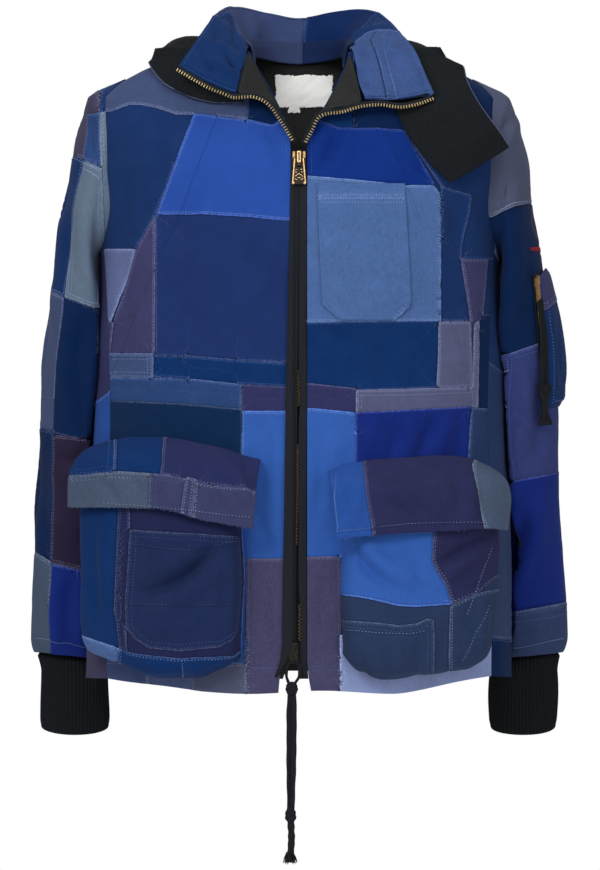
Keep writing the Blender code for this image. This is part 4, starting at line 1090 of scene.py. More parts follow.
def cloth_material(name, colour, fade, slub, twill):
    """Woven cotton: washed-out areas, slubs along the warp, a fine twill, worn seams, painted lap shade.
    """
    nodes = Nodes(name)
    weave = nodes.add("ShaderNodeUVMap", uv_map="weave").outputs["UV"]
    seam = nodes.add("ShaderNodeAttribute", attribute_name="seam").outputs["Fac"]
    base = srgb(*colour)
    light = [value * 1.5 + 0.009 for value in base]
    dark = [value * 0.5 for value in base]
    # Washed-out areas, then slubs along the warp and the weft.
    wash = nodes.between(nodes.noise(weave, 3.2, 3.0, 0.6), 0.0, fade, 0.42, 0.72)
    shade = nodes.mix(wash, base, light)
    streak = nodes.noise(weave, 60.0, 3.0, 0.65, stretch=(1.0, 0.16, 1.0))
    cross = nodes.noise(weave, 95.0, 2.0, 0.6, stretch=(0.2, 1.0, 1.0))
    grain = nodes.math("ADD", streak, cross)
    shade = nodes.mix(nodes.between(grain, 0.0, slub, 0.98, 1.25), shade, light)
    shade = nodes.mix(nodes.between(grain, slub * 1.4, 0.0, 0.75, 1.0), shade, dark)
    # The fine slanting twill.
    turned = nodes.add("ShaderNodeMapping")
    turned.inputs["Rotation"].default_value = (0, 0, math.radians(62))
    nodes.tree.links.new(weave, turned.inputs["Vector"])
    ribs = nodes.add("ShaderNodeTexWave", Scale=26.0, Distortion=1.2, Detail=1.0)
    ribs.inputs["Detail Scale"].default_value = 3.0
    nodes.join(turned, "Vector", ribs, "Vector")
    shade = nodes.mix(nodes.between(ribs.outputs["Fac"], 0.0, twill * 2, 0.4, 1.0), shade, dark)
    # The worn edge of a lapped patch, the roping beside it and the shade under it.
    worn = nodes.noise(weave, 34.0, 2.0, 0.7)
    edge = nodes.math("MULTIPLY", nodes.between(seam, 1.0, 0.0, 0.35, 1.5),
                      nodes.between(seam, 0.0, 1.0, -0.15, 0.1))
    edge = nodes.math("MULTIPLY", edge, nodes.between(worn, 0.15, 0.85, 0.35, 0.62))
    roped = nodes.math("MULTIPLY", nodes.between(seam, 1.0, 0.0, 2.0, 7.5),
                       nodes.between(seam, 0.0, 1.0, 0.3, 1.5))
    roped = nodes.math("MULTIPLY", roped, nodes.between(worn, 0.0, fade + 0.08, 0.4, 0.7))
    shade = nodes.mix(roped, shade, light)
    pale = [value * 1.9 + 0.085 for value in base]
    shade = nodes.mix(edge, shade, pale)
    # Painted shade: the cloth just under a lapped edge is darkened in its colour.
    under = nodes.math("MULTIPLY", nodes.between(seam, 0.0, 1.0, -2.2, -0.6),
                       nodes.between(seam, 1.0, 0.0, -0.3, 0.1))
    painted_lap_shade = [value * 0.3 for value in base]
    shade = nodes.mix(nodes.math("MULTIPLY", under, 0.55), shade, painted_lap_shade)
    nodes.tree.links.new(shade, nodes.shader.inputs["Base Color"])
    nodes.shader.inputs["Roughness"].default_value = 0.92
    nodes.shader.inputs["Specular IOR Level"].default_value = 0.08
    nodes.shader.inputs["Sheen Weight"].default_value = 0.02
    nodes.shader.inputs["Sheen Roughness"].default_value = 0.6
    bump = nodes.add("ShaderNodeBump", Strength=0.22, Distance=0.0006)
    fine = nodes.math("ADD", nodes.math("MULTIPLY", grain, 0.6),
                      nodes.math("MULTIPLY", ribs.outputs["Fac"], 0.4))
    nodes.tree.links.new(fine, bump.inputs["Height"])
    nodes.join(bump, "Normal", nodes.shader, "Normal")
    return nodes.material


def plain_material(name, colour, roughness, metal=0.0, grain=0.0, scale=900.0, strength=0.3):
    """One colour with a little unevenness read from the object's own coordinates."""
    nodes = Nodes(name)
    place = nodes.add("ShaderNodeTexCoord").outputs["Object"]
    base = srgb(*colour)
    uneven = nodes.noise(place, scale, 3.0, 0.6)
    light = [min(1.0, value * (1 + grain) + grain * 0.03) for value in base]
    dark = [value * (1 - grain) for value in base]
    shade = nodes.mix(nodes.between(uneven, 0.0, 1.0, 0.35, 0.68), dark, light)
    nodes.tree.links.new(shade, nodes.shader.inputs["Base Color"])
    nodes.shader.inputs["Roughness"].default_value = roughness
    nodes.shader.inputs["Metallic"].default_value = metal
    if not metal:
        nodes.shader.inputs["Specular IOR Level"].default_value = 0.15
    bump = nodes.add("ShaderNodeBump", Strength=strength, Distance=0.0004)
    nodes.tree.links.new(uneven, bump.inputs["Height"])
    nodes.join(bump, "Normal", nodes.shader, "Normal")
    return nodes.material


for cloth_name, (colour, fade, slub, twill) in CLOTHS.items():
    materials[cloth_name] = cloth_material(cloth_name, colour, fade, slub, twill)
for thread_name, colour in THREADS.items():
    materials[thread_name] = plain_material(thread_name, colour, 0.7, grain=0.12)
# Other materials: screen colour, roughness, metal, unevenness, its scale, strength of the bump.
PLAIN = {
    "lining": ((36, 36, 37), 0.85, 0.0, 0.2, 900.0, 0.3),
    "facing": ((38, 39, 38), 0.85, 0.0, 0.22, 900.0, 0.3),
    "foot_slate": ((50, 62, 99), 0.9, 0.0, 0.08, 500.0, 0.3),
    "foot_navy": ((14, 34, 74), 0.9, 0.0, 0.08, 500.0, 0.3),
    "rib": ((15, 20, 25), 0.95, 0.0, 0.35, 1400.0, 0.5),
    "tape": ((27, 31, 37), 0.85, 0.0, 0.25, 1600.0, 0.5),
    "ribbon": ((18, 21, 27), 0.8, 0.0, 0.35, 1100.0, 0.5),
    "label": ((252, 252, 248), 0.9, 0.0, 0.04, 500.0, 0.3),
    "flap_lining": ((96, 84, 102), 0.9, 0.0, 0.2, 900.0, 0.3),
    "band_back": ((92, 98, 128), 0.9, 0.0, 0.25, 1500.0, 0.4),
    "red_bar": ((140, 24, 44), 0.8, 0.0, 0.15, 900.0, 0.3),
    "brass": ((186, 148, 92), 0.38, 0.85, 0.35, 700.0, 0.3),
    "brass_bright": ((222, 186, 132), 0.36, 0.7, 0.25, 500.0, 0.3),
    "teeth": ((206, 184, 138), 0.4, 0.65, 0.3, 600.0, 0.3),
    # A darker copy of teeth: painted shade for the teeth sunk in the closed zip's slit.
    "teeth_painted_shade": ((128, 104, 70), 0.5, 0.6, 0.3, 600.0, 0.3),
    "blackened": ((34, 30, 24), 0.35, 0.6, 0.5, 500.0, 0.3),
    "dark_metal": ((60, 46, 30), 0.5, 0.7, 0.3, 900.0, 0.3),
    "tab_ground": ((40, 26, 14), 0.55, 0.5, 0.4, 800.0, 0.3),
}
for plain_name, values in PLAIN.items():
    materials[plain_name] = plain_material(plain_name, *values)


# ---------------------------------------------------------------- camera, lamps, floor

def look_at(holder, point):
    holder.rotation_euler = (Vector(point) - holder.location).to_track_quat("-Z", "Y").to_euler()


CAMERA_DISTANCE = 40.0
FRONT_REACH = 0.08                # how far the fronts stand towards the camera
SENSOR = 24.0
FRAME_CENTRE = (0.001, -0.36)     # x and z of the view's middle
FRAME_HEIGHT = 0.87               # seen from top to bottom where the fronts lie

lens = bpy.data.cameras.new("camera")
lens.sensor_fit = "VERTICAL"
lens.sensor_height = SENSOR
lens.lens = SENSOR * (CAMERA_DISTANCE - FRONT_REACH) / FRAME_HEIGHT
lens.clip_end = 120.0
camera = bpy.data.objects.new("camera", lens)
camera.location = (FRAME_CENTRE[0], -CAMERA_DISTANCE, FRAME_CENTRE[1])
camera.rotation_euler = (math.radians(90), 0, 0)
bpy.context.collection.objects.link(camera)
bpy.context.scene.camera = camera
bpy.context.scene.view_settings.view_transform = "Standard"


def lamp(name, place, size, power):
    """Soft oblong lamp that looks at the jacket's middle."""
    light = bpy.data.lights.new(name, "AREA")
    light.shape = "RECTANGLE"
    light.size, light.size_y = size
    light.energy = power
    made = bpy.data.objects.new(name, light)
    made.location = place
    look_at(made, (0, 0, -0.3))
    bpy.context.collection.objects.link(made)


lamp("front_light", (-1.5, -2.9, 1.5), (1.3, 1.3), 47)
lamp("neck_light", (0.1, -2.8, 1.3), (0.7, 0.7), 9)
lamp("fill_light", (1.9, -2.8, 0.3), (1.6, 2.4), 13)
lamp("top_light", (0.2, -0.6, 2.6), (2.0, 1.6), 22)
lamp("back_light", (0.0, 3.0, 0.8), (2.6, 2.0), 20)

# A narrow lamp that reaches down the open neck to the label.
aimed = bpy.data.lights.new("label_light", "SPOT")
aimed.energy = 36
aimed.spot_size = math.radians(4.2)
aimed.spot_blend = 0.7
aimed.shadow_soft_size = 0.02
holder = bpy.data.objects.new("label_light", aimed)
holder.location = (0.05, -1.25, 0.22)
look_at(holder, (0.006, 0.03, -0.016))
bpy.context.collection.objects.link(holder)

world = bpy.data.worlds.new("studio")
bpy.context.scene.world = world
world.use_nodes = True
tree = world.node_tree
sky = tree.nodes["Background"]
sky.inputs["Color"].default_value = (1, 1, 1, 1)
sky.inputs["Strength"].default_value = 0.34
bright = tree.nodes.new("ShaderNodeBackground")
bright.inputs["Color"].default_value = (1, 1, 1, 1)
bright.inputs["Strength"].default_value = 1.0
seen = tree.nodes.new("ShaderNodeLightPath")
choose = tree.nodes.new("ShaderNodeMixShader")
tree.links.new(seen.outputs["Is Camera Ray"], choose.inputs["Fac"])
tree.links.new(sky.outputs["Background"], choose.inputs[1])
tree.links.new(bright.outputs["Background"], choose.inputs[2])
tree.links.new(choose.outputs["Shader"], tree.nodes["World Output"].inputs["Surface"])

FLOOR = -1.25              # height of the ground, in metres
FLOOR_HALF = 3
floor_corners = [(x * FLOOR_HALF, y * FLOOR_HALF, FLOOR) for x, y in ((-1, -1), (1, -1), (1, 1), (-1, 1))]
floor_mesh = bpy.data.meshes.new("floor")
floor_mesh.from_pydata(floor_corners, [], [(0, 1, 2, 3)])
floor = placed("floor", floor_mesh)
floor_mesh.materials.append(plain_material("floor", (246, 246, 246), 0.9, grain=0.01))


# ---------------------------------------------------------------- ribbons

def read_route(points, count):
    """The route's points read as one smooth curve at even steps, in mm."""
    route = np.array(points, float)
    steps = np.arange(len(route))
    at = np.linspace(0, len(route) - 1, count * 6)
    fine = np.stack([smooth(steps, route[:, axis], at) for axis in range(3)], axis=1)
    run = length_along(fine)
    even = np.linspace(0, run[-1], count)
    return np.stack([np.interp(even, run, fine[:, axis]) for axis in range(3)], axis=1)


def flat_ribbon(name, points, width, thick, turns, seed, flare=1.0, facing=(0.0, -1.0, 0.0)):
    """A flat woven ribbon along a route; turns is how far it twists, flare how wide its end opens."""
    rough_length = sum(np.linalg.norm(np.diff(np.array(points, float), axis=0), axis=1))
    centre = read_route(points, max(24, int(rough_length)))
    count = len(centre)
    along = np.gradient(centre, axis=0)
    along /= np.linalg.norm(along, axis=1, keepdims=True)
    share = np.linspace(0, 1, count)
    facing = np.broadcast_to(np.array(facing, float), centre.shape)
    across = np.cross(along, facing)
    across /= np.maximum(np.linalg.norm(across, axis=1, keepdims=True), 1e-6)
    out = np.cross(across, along)
    wave = np.sin(share * 7 + seed) * 0.35 + np.sin(share * 17 + 2 * seed) * 0.12
    twist = (turns * 2 * math.pi * share + wave)[:, None]
    flat_way = across * np.cos(twist) + out * np.sin(twist)
    thick_way = out * np.cos(twist) - across * np.sin(twist)
    half = width / 2 * (1 + (flare - 1) * np.clip((share - 0.86) / 0.14, 0, 1) ** 1.5)
    half = half * (1 + 0.06 * np.sin(share * 31 + seed))
    corners = ((-1.0, 0.0), (-0.9, 0.5), (-0.45, 0.62), (0, 0.42), (0.45, 0.62), (0.9, 0.5),
               (1.0, 0.0), (0.9, -0.5), (0.45, -0.62), (0, -0.42), (-0.45, -0.62), (-0.9, -0.5))
    rings = [centre + flat_way * (half * x)[:, None] + thick_way * thick * y for x, y in corners]
    verts = np.stack(rings, axis=1).reshape(-1, 3)
    sides = len(corners)
    faces = [(r * sides + c, r * sides + (c + 1) % sides,
              (r + 1) * sides + (c + 1) % sides, (r + 1) * sides + c)
             for r in range(count - 1) for c in range(sides)]
    faces += [tuple(range(sides))[::-1], tuple((count - 1) * sides + c for c in range(sides))]
    mesh = new_mesh(name, verts, faces, "ribbon")
    mesh.polygons.foreach_set("use_smooth", [len(face) == 4 for face in faces])
    made = placed(name, mesh)
    length = float(np.linalg.norm(np.diff(centre, axis=0), axis=1).sum()) * MM
    return made, [tuple(float(value) for value in point) for point in centre * MM], length


def tied_knot(name, node, centre, size, turn):
    """A knot of flat ribbon: a rounded lump with the ribbon's passes raised on it."""
    work = bmesh.new()
    bmesh.ops.create_uvsphere(work, u_segments=56, v_segments=36, radius=1.0)
    for vertex in work.verts:
        x, y, z = vertex.co
        angle = math.atan2(y, x) * 2 + turn + z * 2.6
        pass_over = 0.10 * math.cos(angle) + 0.07 * math.cos(2.1 * angle + 4 * z)
        crease = -0.13 * math.exp(-((math.sin(angle / 2) * 3) ** 2)) * (1 - z * z)
        scale = 0.93 + pass_over + crease
        place = (x * scale * size[0] / 2, y * scale * size[1] / 2, z * 0.97 * size[2] / 2)
        vertex.co = Vector(place) * MM
    mesh = bpy.data.meshes.new(name)
    work.to_mesh(mesh)
    work.free()
    mesh.shade_smooth()
    mesh.materials.append(materials["ribbon"])
    made = placed(name, mesh)
    made.location = [value * MM for value in centre]
    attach(made, "jacket")
    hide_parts(node)
    return made


def hung_ribbon(name, node, points, turns, seed, width, flare=1.0):
    """A ribbon of the zip's foot, declared as a cord; measure is its width where it isn't drawn wider."""
    made, path, length = flat_ribbon(name, points, width, 1.5, turns, seed, flare)
    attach(made, "jacket")
    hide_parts(node)


upper_knot = tied_knot("ribbon_upper_knot", "ribbon_knot_upper", (-7.2, -137.4, -613.4),
                       (13, 9, 15), 0.4)
lower_knot = tied_knot("ribbon_lower_knot", "ribbon_knot_lower", (-8.4, -137, -739),
                       (12, 9, 18.5), 1.9)
hung_ribbon("ribbon_loop_band", "ribbon_loop", RIBBON_LOOP, 0.0, 1, width=3.0)
hung_ribbon("ribbon_right_band", "ribbon_strand_right", RIBBON_STRAND_RIGHT, 0.04, 2,
            width=5.6)
hung_ribbon("ribbon_left_band", "ribbon_strand_left", RIBBON_STRAND_LEFT, -0.03, 5, width=5.6)


def frayed_end(name, centre, reach, count, seed):
    """The ribbon's own threads, loose and spread at its cut end."""
    chance = np.random.default_rng(seed)
    verts, faces = [], []
    for thread in range(count):
        share = (thread + chance.uniform(0.2, 0.8)) / count * 2 - 1
        start = np.array(centre) + (share * 3.4, chance.uniform(-0.7, 0.7), chance.uniform(0, 3))
        end = start + (share * 4.2 + chance.normal(0, 0.5), chance.normal(0, 0.9),
                       -reach * chance.uniform(0.7, 1))
        bend = lerp(start, end, 0.6) + chance.normal(0, 0.5, 3)
        first = len(verts)
        for point, size in ((start, 0.75), (bend, 0.6), (end, 0.18)):
            for step in range(4):
                angle = step * math.pi / 2
                verts.append(point + np.array((math.cos(angle), math.sin(angle), 0)) * size)
        faces += [(row + step, row + (step + 1) % 4, row + 4 + (step + 1) % 4, row + 4 + step)
                  for row in (first, first + 4) for step in range(4)]
        faces.append((first + 8, first + 9, first + 10, first + 11))
    made = placed(name, new_mesh(name, verts, faces, "ribbon"))
    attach(made, "jacket")
    return made


tail_fray = frayed_end("ribbon_tail_fray", (-8.7, -137.0, -779.0), 11.0, 30, 6)
hung_ribbon("ribbon_tail_band", "ribbon_tail", RIBBON_TAIL, 0.02, 3, width=7.2,
            flare=1.5)


# ---------------------------------------------------------------- fronts

# Patches of a front: cloth, thread, rows of stitches, corners x and z as seen from the front.
# The first is the ground; a later one lies over the earlier ones.
FRONT_RIGHT_PATCHES = (
    ("dark_navy", None, 0, ((-240, -640), (0, -640), (0, 60), (-240, 60))),
    ("dark_navy", "blue_thread", 1, ((-240, -36), (-185, -36), (-169, -30), (-158, -30), (-142, -33),
     (-123, -39), (-104.5, -40), (-142, -138), (-162, -175), (-240, -174))),
    ("lavender_slate", "pale_thread", 1, ((-240, 60), (-51, 60), (-51, -45), (-80, -42), (-104.5, -40),
     (-123, -39), (-142, -33), (-158, -30), (-169, -30), (-185, -36), (-240, -40))),
    ("ink_navy", None, 0, ((-51, 60), (0, 60), (0, -60), (-27, -50.5), (-51, -45))),
    ("pale_lavender", "pale_thread", 1, ((-240, -174), (-162, -174.5), (-187, -248), (-240, -248))),
    ("plum", "lilac_thread", 1, ((-143, -142), (-162, -175), (-184, -247), (-188, -279), (-144, -279))),
    ("plum", None, 0, ((-184, -247), (-240, -247), (-240, -282), (-188, -279))),
    ("big_navy", None, 0, ((-142, -139), (-95, -139), (-50, -141.6), (0, -146), (0, -287), (-63, -285),
     (-111, -281), (-142, -280))),
    ("cobalt", "pale_thread", 1, ((-104.5, -39), (-80.5, -42), (-51, -45), (-27, -50.5), (-8, -40),
     (0, -60), (0, -146), (-12, -145.6), (-50, -141.6), (-95, -139), (-142, -139))),
    ("teal_navy", "blue_thread", 1, ((-145, -280), (-111, -281), (-63, -285), (0, -289), (0, -312.5),
     (-63, -309), (-110, -304), (-145, -301.5))),
    ("slate", "pale_thread", 2, ((-190, -278.5), (-145, -279), (-145, -303.5), (-187, -302))),
    ("grey_blue", "blue_thread", 1, ((-190, -303), (-145, -303.5), (-110, -304), (-63, -309),
     (-57.5, -310), (-57.5, -334.5), (-118, -329), (-185, -326), (-240, -325), (-240, -303))),
    ("purple_plum", None, 0, ((-57.5, -310), (0, -312.5), (0, -336.5), (-57, -336.5))),
    ("night_teal", None, 0, ((-240, -325), (-185, -326), (-118, -329), (-57.5, -334.5), (-57, -450),
     (-240, -450))),
    ("cornflower", "pale_thread", 1, ((-57, -336.5), (0, -336.5), (0, -484), (-57, -484))),
    ("grey_blue", None, 0, ((-240, -450), (-57, -450), (-57, -484), (-52, -484), (-52, -588),
     (-240, -585))),
    ("plum_linen", "lilac_thread", 1, ((-52, -484), (0, -484), (0, -640), (-52, -640))),
    ("hem_lavender", "pale_thread", 1, ((-150, -588), (-108, -590), (-104, -640), (-150, -640))),
    ("lavender_slate", "pale_thread", 1, ((-240, -585), (-150, -588), (-150, -640), (-240, -640))),
    ("mauve_grey", "pale_thread", 1, ((-108, -590), (-52, -588), (-52, -640), (-104, -640))),
)
FRONT_LEFT_PATCHES = (
    ("dark_navy", None, 0, ((0, -640), (240, -640), (240, 60), (0, 60))),
    ("teal_navy", None, 0, ((0, 60), (240, 60), (240, -57), (105.6, -56.7), (77.5, -54), (56, -54),
     (39, -53), (20, -46), (8, -40), (0, -40))),
    ("ink_navy", None, 0, ((54.5, 60), (240, 60), (240, -57), (105.6, -56.7), (77.5, -54), (54.5, -54))),
    ("dark_navy", "blue_thread", 1, ((105.6, -56.7), (240, -57), (240, -184), (136.5, -184),
     (141, -110))),
    ("ultramarine", "blue_thread", 1, ((0, -40), (8, -40), (20, -46), (39, -53), (56, -54), (77.5, -54),
     (105.6, -56.7), (135, -109), (134, -111), (107, -111), (62, -106.4), (0, -101))),
    ("dark_navy", "blue_thread", 1, ((141, -111), (170, -120), (162, -184), (170, -246), (141, -246))),
    ("plum", "lilac_thread", 1, ((162, -184), (188, -185), (176, -312), (172, -312), (170, -248))),
    ("teal_navy", None, 0, ((0, -248), (141, -246), (137.5, -312), (57, -315), (0, -308))),
    ("light_denim", "pale_thread", 1, ((0, -101), (62, -106.4), (107, -111), (134, -111), (141, -120),
     (141, -246), (0, -247))),
    ("lavender_grey", "pale_thread", 1, ((139, -247), (170, -247), (172.5, -312), (137.5, -313))),
    ("ink_navy", None, 0, ((178.5, -240), (240, -240), (240, -340), (178.5, -340))),
    ("purple_plum", None, 0, ((0, -308), (51, -313), (57, -314), (57, -338), (11, -333.6), (0, -333))),
    ("lavender_grey", "pale_thread", 2, ((57, -315), (105, -314.5), (172.5, -312), (173.5, -250),
     (178.5, -245), (178.5, -332), (173, -332), (105, -335.6), (57, -338))),
    ("cornflower", "pale_thread", 1, ((0, -333), (11, -333.6), (57, -338), (57, -482), (0, -482))),
    ("indigo_blue", None, 0, ((57, -338), (105, -335.6), (173, -332), (166, -420), (57, -420))),
    ("steel_slate", "blue_thread", 1, ((172.5, -333), (240, -338), (240, -420), (166, -420))),
    ("steel_slate", None, 0, ((57, -420), (240, -420), (240, -585), (57, -585))),
    ("plum_linen", "lilac_thread", 1, ((0, -482), (41, -482), (41, -640), (0, -640))),
    # The hem under the left bag takes the brightened cloth: painted light against the bag's shadow.
    ("pale_hem", "pale_thread", 1, ((41, -560), (240, -560), (240, -640), (41, -640))),
)
# Lines sewn across the fronts: thread, depth of the groove, points x and z.
FRONT_RIGHT_LINES = (
    ("dark_thread", 0.5, ((-80, -42), (-98, -88), (-120, -144), (-126, -157), (-139, -184), (-161, -241),
     (-185, -299))),
    ("blue_thread", 0.3, ((-12, -55), (-10.5, -90), (-11.5, -146))),
    (None, 0.7, ((-187, -248), (-162, -241))), ("blue_thread", 0.4, ((-52, -591), (-10, -591))),
)
FRONT_LEFT_LINES = (
    ("dark_thread", 0.5, ((85, -55), (107, -111), (135, -188), (142, -216), (151, -245), (167, -299))),
    ("blue_thread", 0.3, ((11.5, -48), (11, -100))), ("blue_thread", 0.4, ((10, -593), (41, -593))),
    (None, 0.5, ((54.5, -30), (54.5, -54))),
)
# Folds: start, middle and end (x and z), width and height; below 0 is a trough.
FRONT_RIGHT_FOLDS = (
    (-139, -64, -137, -90, -139, -118, 7, -2.2), (-152, -56, -150, -84, -148, -112, 8, 1.6),
    (-99, -110, -112, -145, -128, -172, 9, -2.6), (-86, -118, -98, -150, -112, -182, 9, 1.8),
    (-35, -52, -24, -70, -18, -92, 5, -1.6), (-44, -60, -34, -84, -24, -110, 6, 1.3),
    (-60, -88, -48, -116, -42, -138, 8, -1.1), (-30, -150, -44, -180, -50, -212, 9, -1.8),
    (-22, -160, -31, -190, -34, -225, 7, 1.4), (-84, -160, -90, -200, -86, -240, 12, 1.5),
    (-112, -178, -116, -214, -108, -256, 10, -1.5), (-72, -230, -60, -255, -44, -275, 9, -1.2),
    (-176, -180, -172, -210, -178, -240, 6, -1.4), (-160, -220, -158, -246, -164, -270, 6, 1.2),
    (-170, -100, -174, -140, -170, -172, 8, -1.6), (-40, -345, -34, -380, -42, -430, 8, -1.6),
    (-26, -350, -22, -385, -26, -440, 7, 1.3), (-44, -430, -34, -460, -20, -480, 7, -1.7),
    (-34, -495, -36, -540, -30, -580, 7, -1.3), (-18, -500, -20, -545, -16, -585, 6, 1.0),
    (-128, -330, -124, -350, -126, -366, 7, 0.9), (-90, -332, -86, -352, -90, -372, 7, -0.9),
)
FRONT_LEFT_FOLDS = (
    (38, -56, 32, -78, 20, -96, 5, -2.6), (28, -50, 21, -68, 14, -84, 5, 1.8),
    (50, -58, 44, -82, 34, -102, 7, 1.5), (84, -60, 94, -84, 104, -108, 7, 1.3),
    (118, -80, 122, -96, 128, -108, 6, -1.4), (150, -120, 156, -150, 160, -182, 8, -2.2),
    (168, -112, 170, -140, 176, -170, 7, 1.4), (20, -250, 40, -262, 66, -272, 7, -1.8),
    (30, -270, 56, -284, 90, -290, 9, 1.4), (70, -262, 82, -284, 92, -306, 8, -1.6),
    (112, -262, 106, -284, 100, -306, 8, 1.2), (120, -150, 126, -190, 122, -234, 8, -1.2),
    (92, -345, 96, -366, 88, -386, 7, -2.0), (108, -342, 112, -364, 104, -386, 6, 1.6),
    (136, -342, 128, -362, 120, -384, 7, -2.2), (150, -342, 144, -362, 140, -382, 6, 1.7),
    (70, -345, 72, -362, 66, -382, 6, 1.2), (30, -345, 36, -390, 26, -440, 8, 1.4),
    (18, -360, 22, -400, 14, -450, 7, -1.5), (26, -495, 22, -540, 26, -580, 7, -1.3),
    (40, -500, 36, -545, 40, -590, 6, 0.9), (160, -340, 162, -365, 156, -390, 6, -1.6),
)

front_right = Piece("front_right", front_surface(-1, EDGE_RIGHT), (0, HEM, FRONT_WIDTH, PATTERN_TOP),
                    FRONT_RIGHT_PATCHES, lines=FRONT_RIGHT_LINES, creases=FRONT_RIGHT_FOLDS, seed=3,
                    calm=(0, 0, 14, 12))
front_right.make()
front_left = Piece("front_left", front_surface(1, ROLL_LEFT), (0, HEM, FRONT_WIDTH, PATTERN_TOP),
                   FRONT_LEFT_PATCHES, lines=FRONT_LEFT_LINES, creases=FRONT_LEFT_FOLDS, seed=8,
                   calm=(0, 0, 14, 12))
front_left.make()


# ---------------------------------------------------------------- sides and back

SIDE_RIGHT_PATCHES = (
    ("purple_plum", None, 0, ((-80, -700), (80, -700), (80, -100), (-80, -100))),
    ("bright_blue", "pale_thread", 1, ((10, -328), (80, -324), (80, -452), (10, -450))),
    ("ink_navy", "blue_thread", 1, ((-80, -328), (10, -328), (10, -500), (-80, -500))),
    ("slate", "pale_thread", 1, ((-80, -160), (80, -166), (80, -100), (-80, -100))),
    ("grey_blue", "blue_thread", 1, ((10, -450), (80, -452), (80, -572), (-80, -572), (-80, -500),
     (10, -500))),
    ("plum_brown", "lilac_thread", 1, ((-80, -572), (80, -574), (80, -700), (-80, -700))),
)
SIDE_LEFT_PATCHES = (
    ("dark_navy", None, 0, ((-80, -700), (80, -700), (80, -100), (-80, -100))),
    ("light_denim", "pale_thread", 1, ((30, -90), (80, -90), (80, -189), (30, -188))),
    ("steel_slate", "blue_thread", 1, ((-80, -300), (80, -296), (80, -430), (-80, -432))),
    ("cornflower", "pale_thread", 1, ((-80, -432), (-5, -431), (-5, -560), (-80, -560))),
    ("slate_navy", "blue_thread", 1, ((-5, -431), (80, -430), (80, -572), (-5, -574))),
    ("ink_navy", "blue_thread", 1, ((-80, -574), (80, -574), (80, -700), (-80, -700))),
)


def side_piece(name, side, patches, seed):
    folds = ((-20, -210, -24, -280, -18, -340, 8, -1.6), (14, -200, 20, -270, 16, -330, 9, 1.4),
             (-4, -380, 6, -440, -2, -520, 9, 1.5), (26, -400, 22, -460, 28, -530, 8, -1.6))
    made = Piece(name, side_surface(side), (-SIDE_HALF, HEM, SIDE_HALF, UNDERARM), patches,
                 find=same_place, creases=folds, seed=seed, calm=(12, 0, 12, 10),
                 view=flat_view)
    made.make()


side_piece("side_right", -1, SIDE_RIGHT_PATCHES, 12)
side_piece("side_left", 1, SIDE_LEFT_PATCHES, 14)

# The back is pieced plainly in the same cloths; how it really looks isn't known.
BACK_PATCHES = (
    ("dark_navy", None, 0, ((-240, -700), (240, -700), (240, 60), (-240, 60))),
    ("lavender_slate", "pale_thread", 1, ((-240, 60), (-240, -52), (-60, -46), (40, -50), (240, -44),
     (240, 60))),
    ("teal_navy", "blue_thread", 1, ((-240, -52), (-60, -46), (-62, -190), (-240, -196))),
    ("cobalt", "pale_thread", 1, ((-60, -46), (40, -50), (46, -182), (-62, -190))),
    ("light_denim", "pale_thread", 2, ((40, -50), (132, -47), (128, -236), (46, -232), (46, -182))),
    ("purple_navy", None, 0, ((132, -47), (240, -44), (240, -240), (128, -236))),
    ("plum", "lilac_thread", 1, ((-240, -196), (-132, -193), (-126, -330), (-240, -334))),
    ("big_navy", "blue_thread", 1, ((-132, -193), (-62, -190), (46, -182), (46, -232), (50, -338),
     (-126, -330))),
    ("ultramarine", "blue_thread", 1, ((50, -232), (128, -236), (126, -342), (50, -338))),
    ("slate", "pale_thread", 1, ((128, -236), (240, -240), (240, -345), (126, -342))),
    ("grey_blue", "pale_thread", 1, ((-240, -334), (-126, -330), (50, -338), (126, -342), (240, -345),
     (240, -372), (-240, -362))),
    ("cornflower", "pale_thread", 1, ((-240, -362), (-98, -365), (-92, -500), (-240, -496))),
    ("night_teal", "blue_thread", 1, ((-98, -365), (40, -368), (36, -468), (-94, -460))),
    ("lavender_grey", "pale_thread", 1, ((40, -368), (140, -370), (144, -476), (36, -468))),
    ("indigo_blue", None, 0, ((140, -370), (240, -372), (240, -480), (144, -476))),
    ("plum_linen", "lilac_thread", 1, ((-94, -460), (36, -468), (30, -586), (-92, -584), (-92, -500))),
    ("teal_navy", "blue_thread", 1, ((36, -468), (144, -476), (240, -480), (240, -588), (30, -586))),
    ("slate", "pale_thread", 1, ((-240, -496), (-92, -500), (-92, -584), (-240, -586))),
    ("hem_lavender", "pale_thread", 1, ((-240, -586), (-92, -584), (30, -586), (240, -588), (240, -700),
     (-240, -700))),
)
BACK_FOLDS = (
    (-40, -60, -60, -110, -90, -150, 10, -2.0), (50, -64, 70, -112, 102, -160, 10, -1.8),
    (-150, -70, -158, -130, -150, -190, 9, -2.4), (152, -70, 160, -128, 150, -186, 9, -2.2),
    (-130, -90, -138, -150, -128, -210, 9, 1.8), (134, -86, 140, -150, 130, -214, 9, 1.7),
    (-20, -210, -6, -260, -24, -320, 12, 1.5), (24, -230, 34, -280, 22, -330, 10, -1.6),
    (-90, -350, -84, -420, -98, -490, 10, -2.2), (-70, -360, -62, -430, -72, -500, 9, 1.8),
    (80, -350, 90, -420, 78, -480, 10, 1.9), (104, -360, 112, -420, 100, -490, 9, -2.0),
    (-30, -400, -22, -470, -34, -540, 11, -1.6), (10, -430, 18, -500, 6, -570, 10, 1.4),
    (-150, -400, -156, -470, -148, -540, 9, 1.6), (150, -420, 158, -490, 148, -560, 9, -1.8),
)
back = Piece("back", back_surface(), (-BACK_HALF, HEM, BACK_HALF, PATTERN_TOP), BACK_PATCHES,
             find=same_place, creases=BACK_FOLDS, seed=21, spacing=3.8, calm=(14, 0, 14, 16),
             view=flat_view)
back.make()


# ---------------------------------------------------------------- sleeves

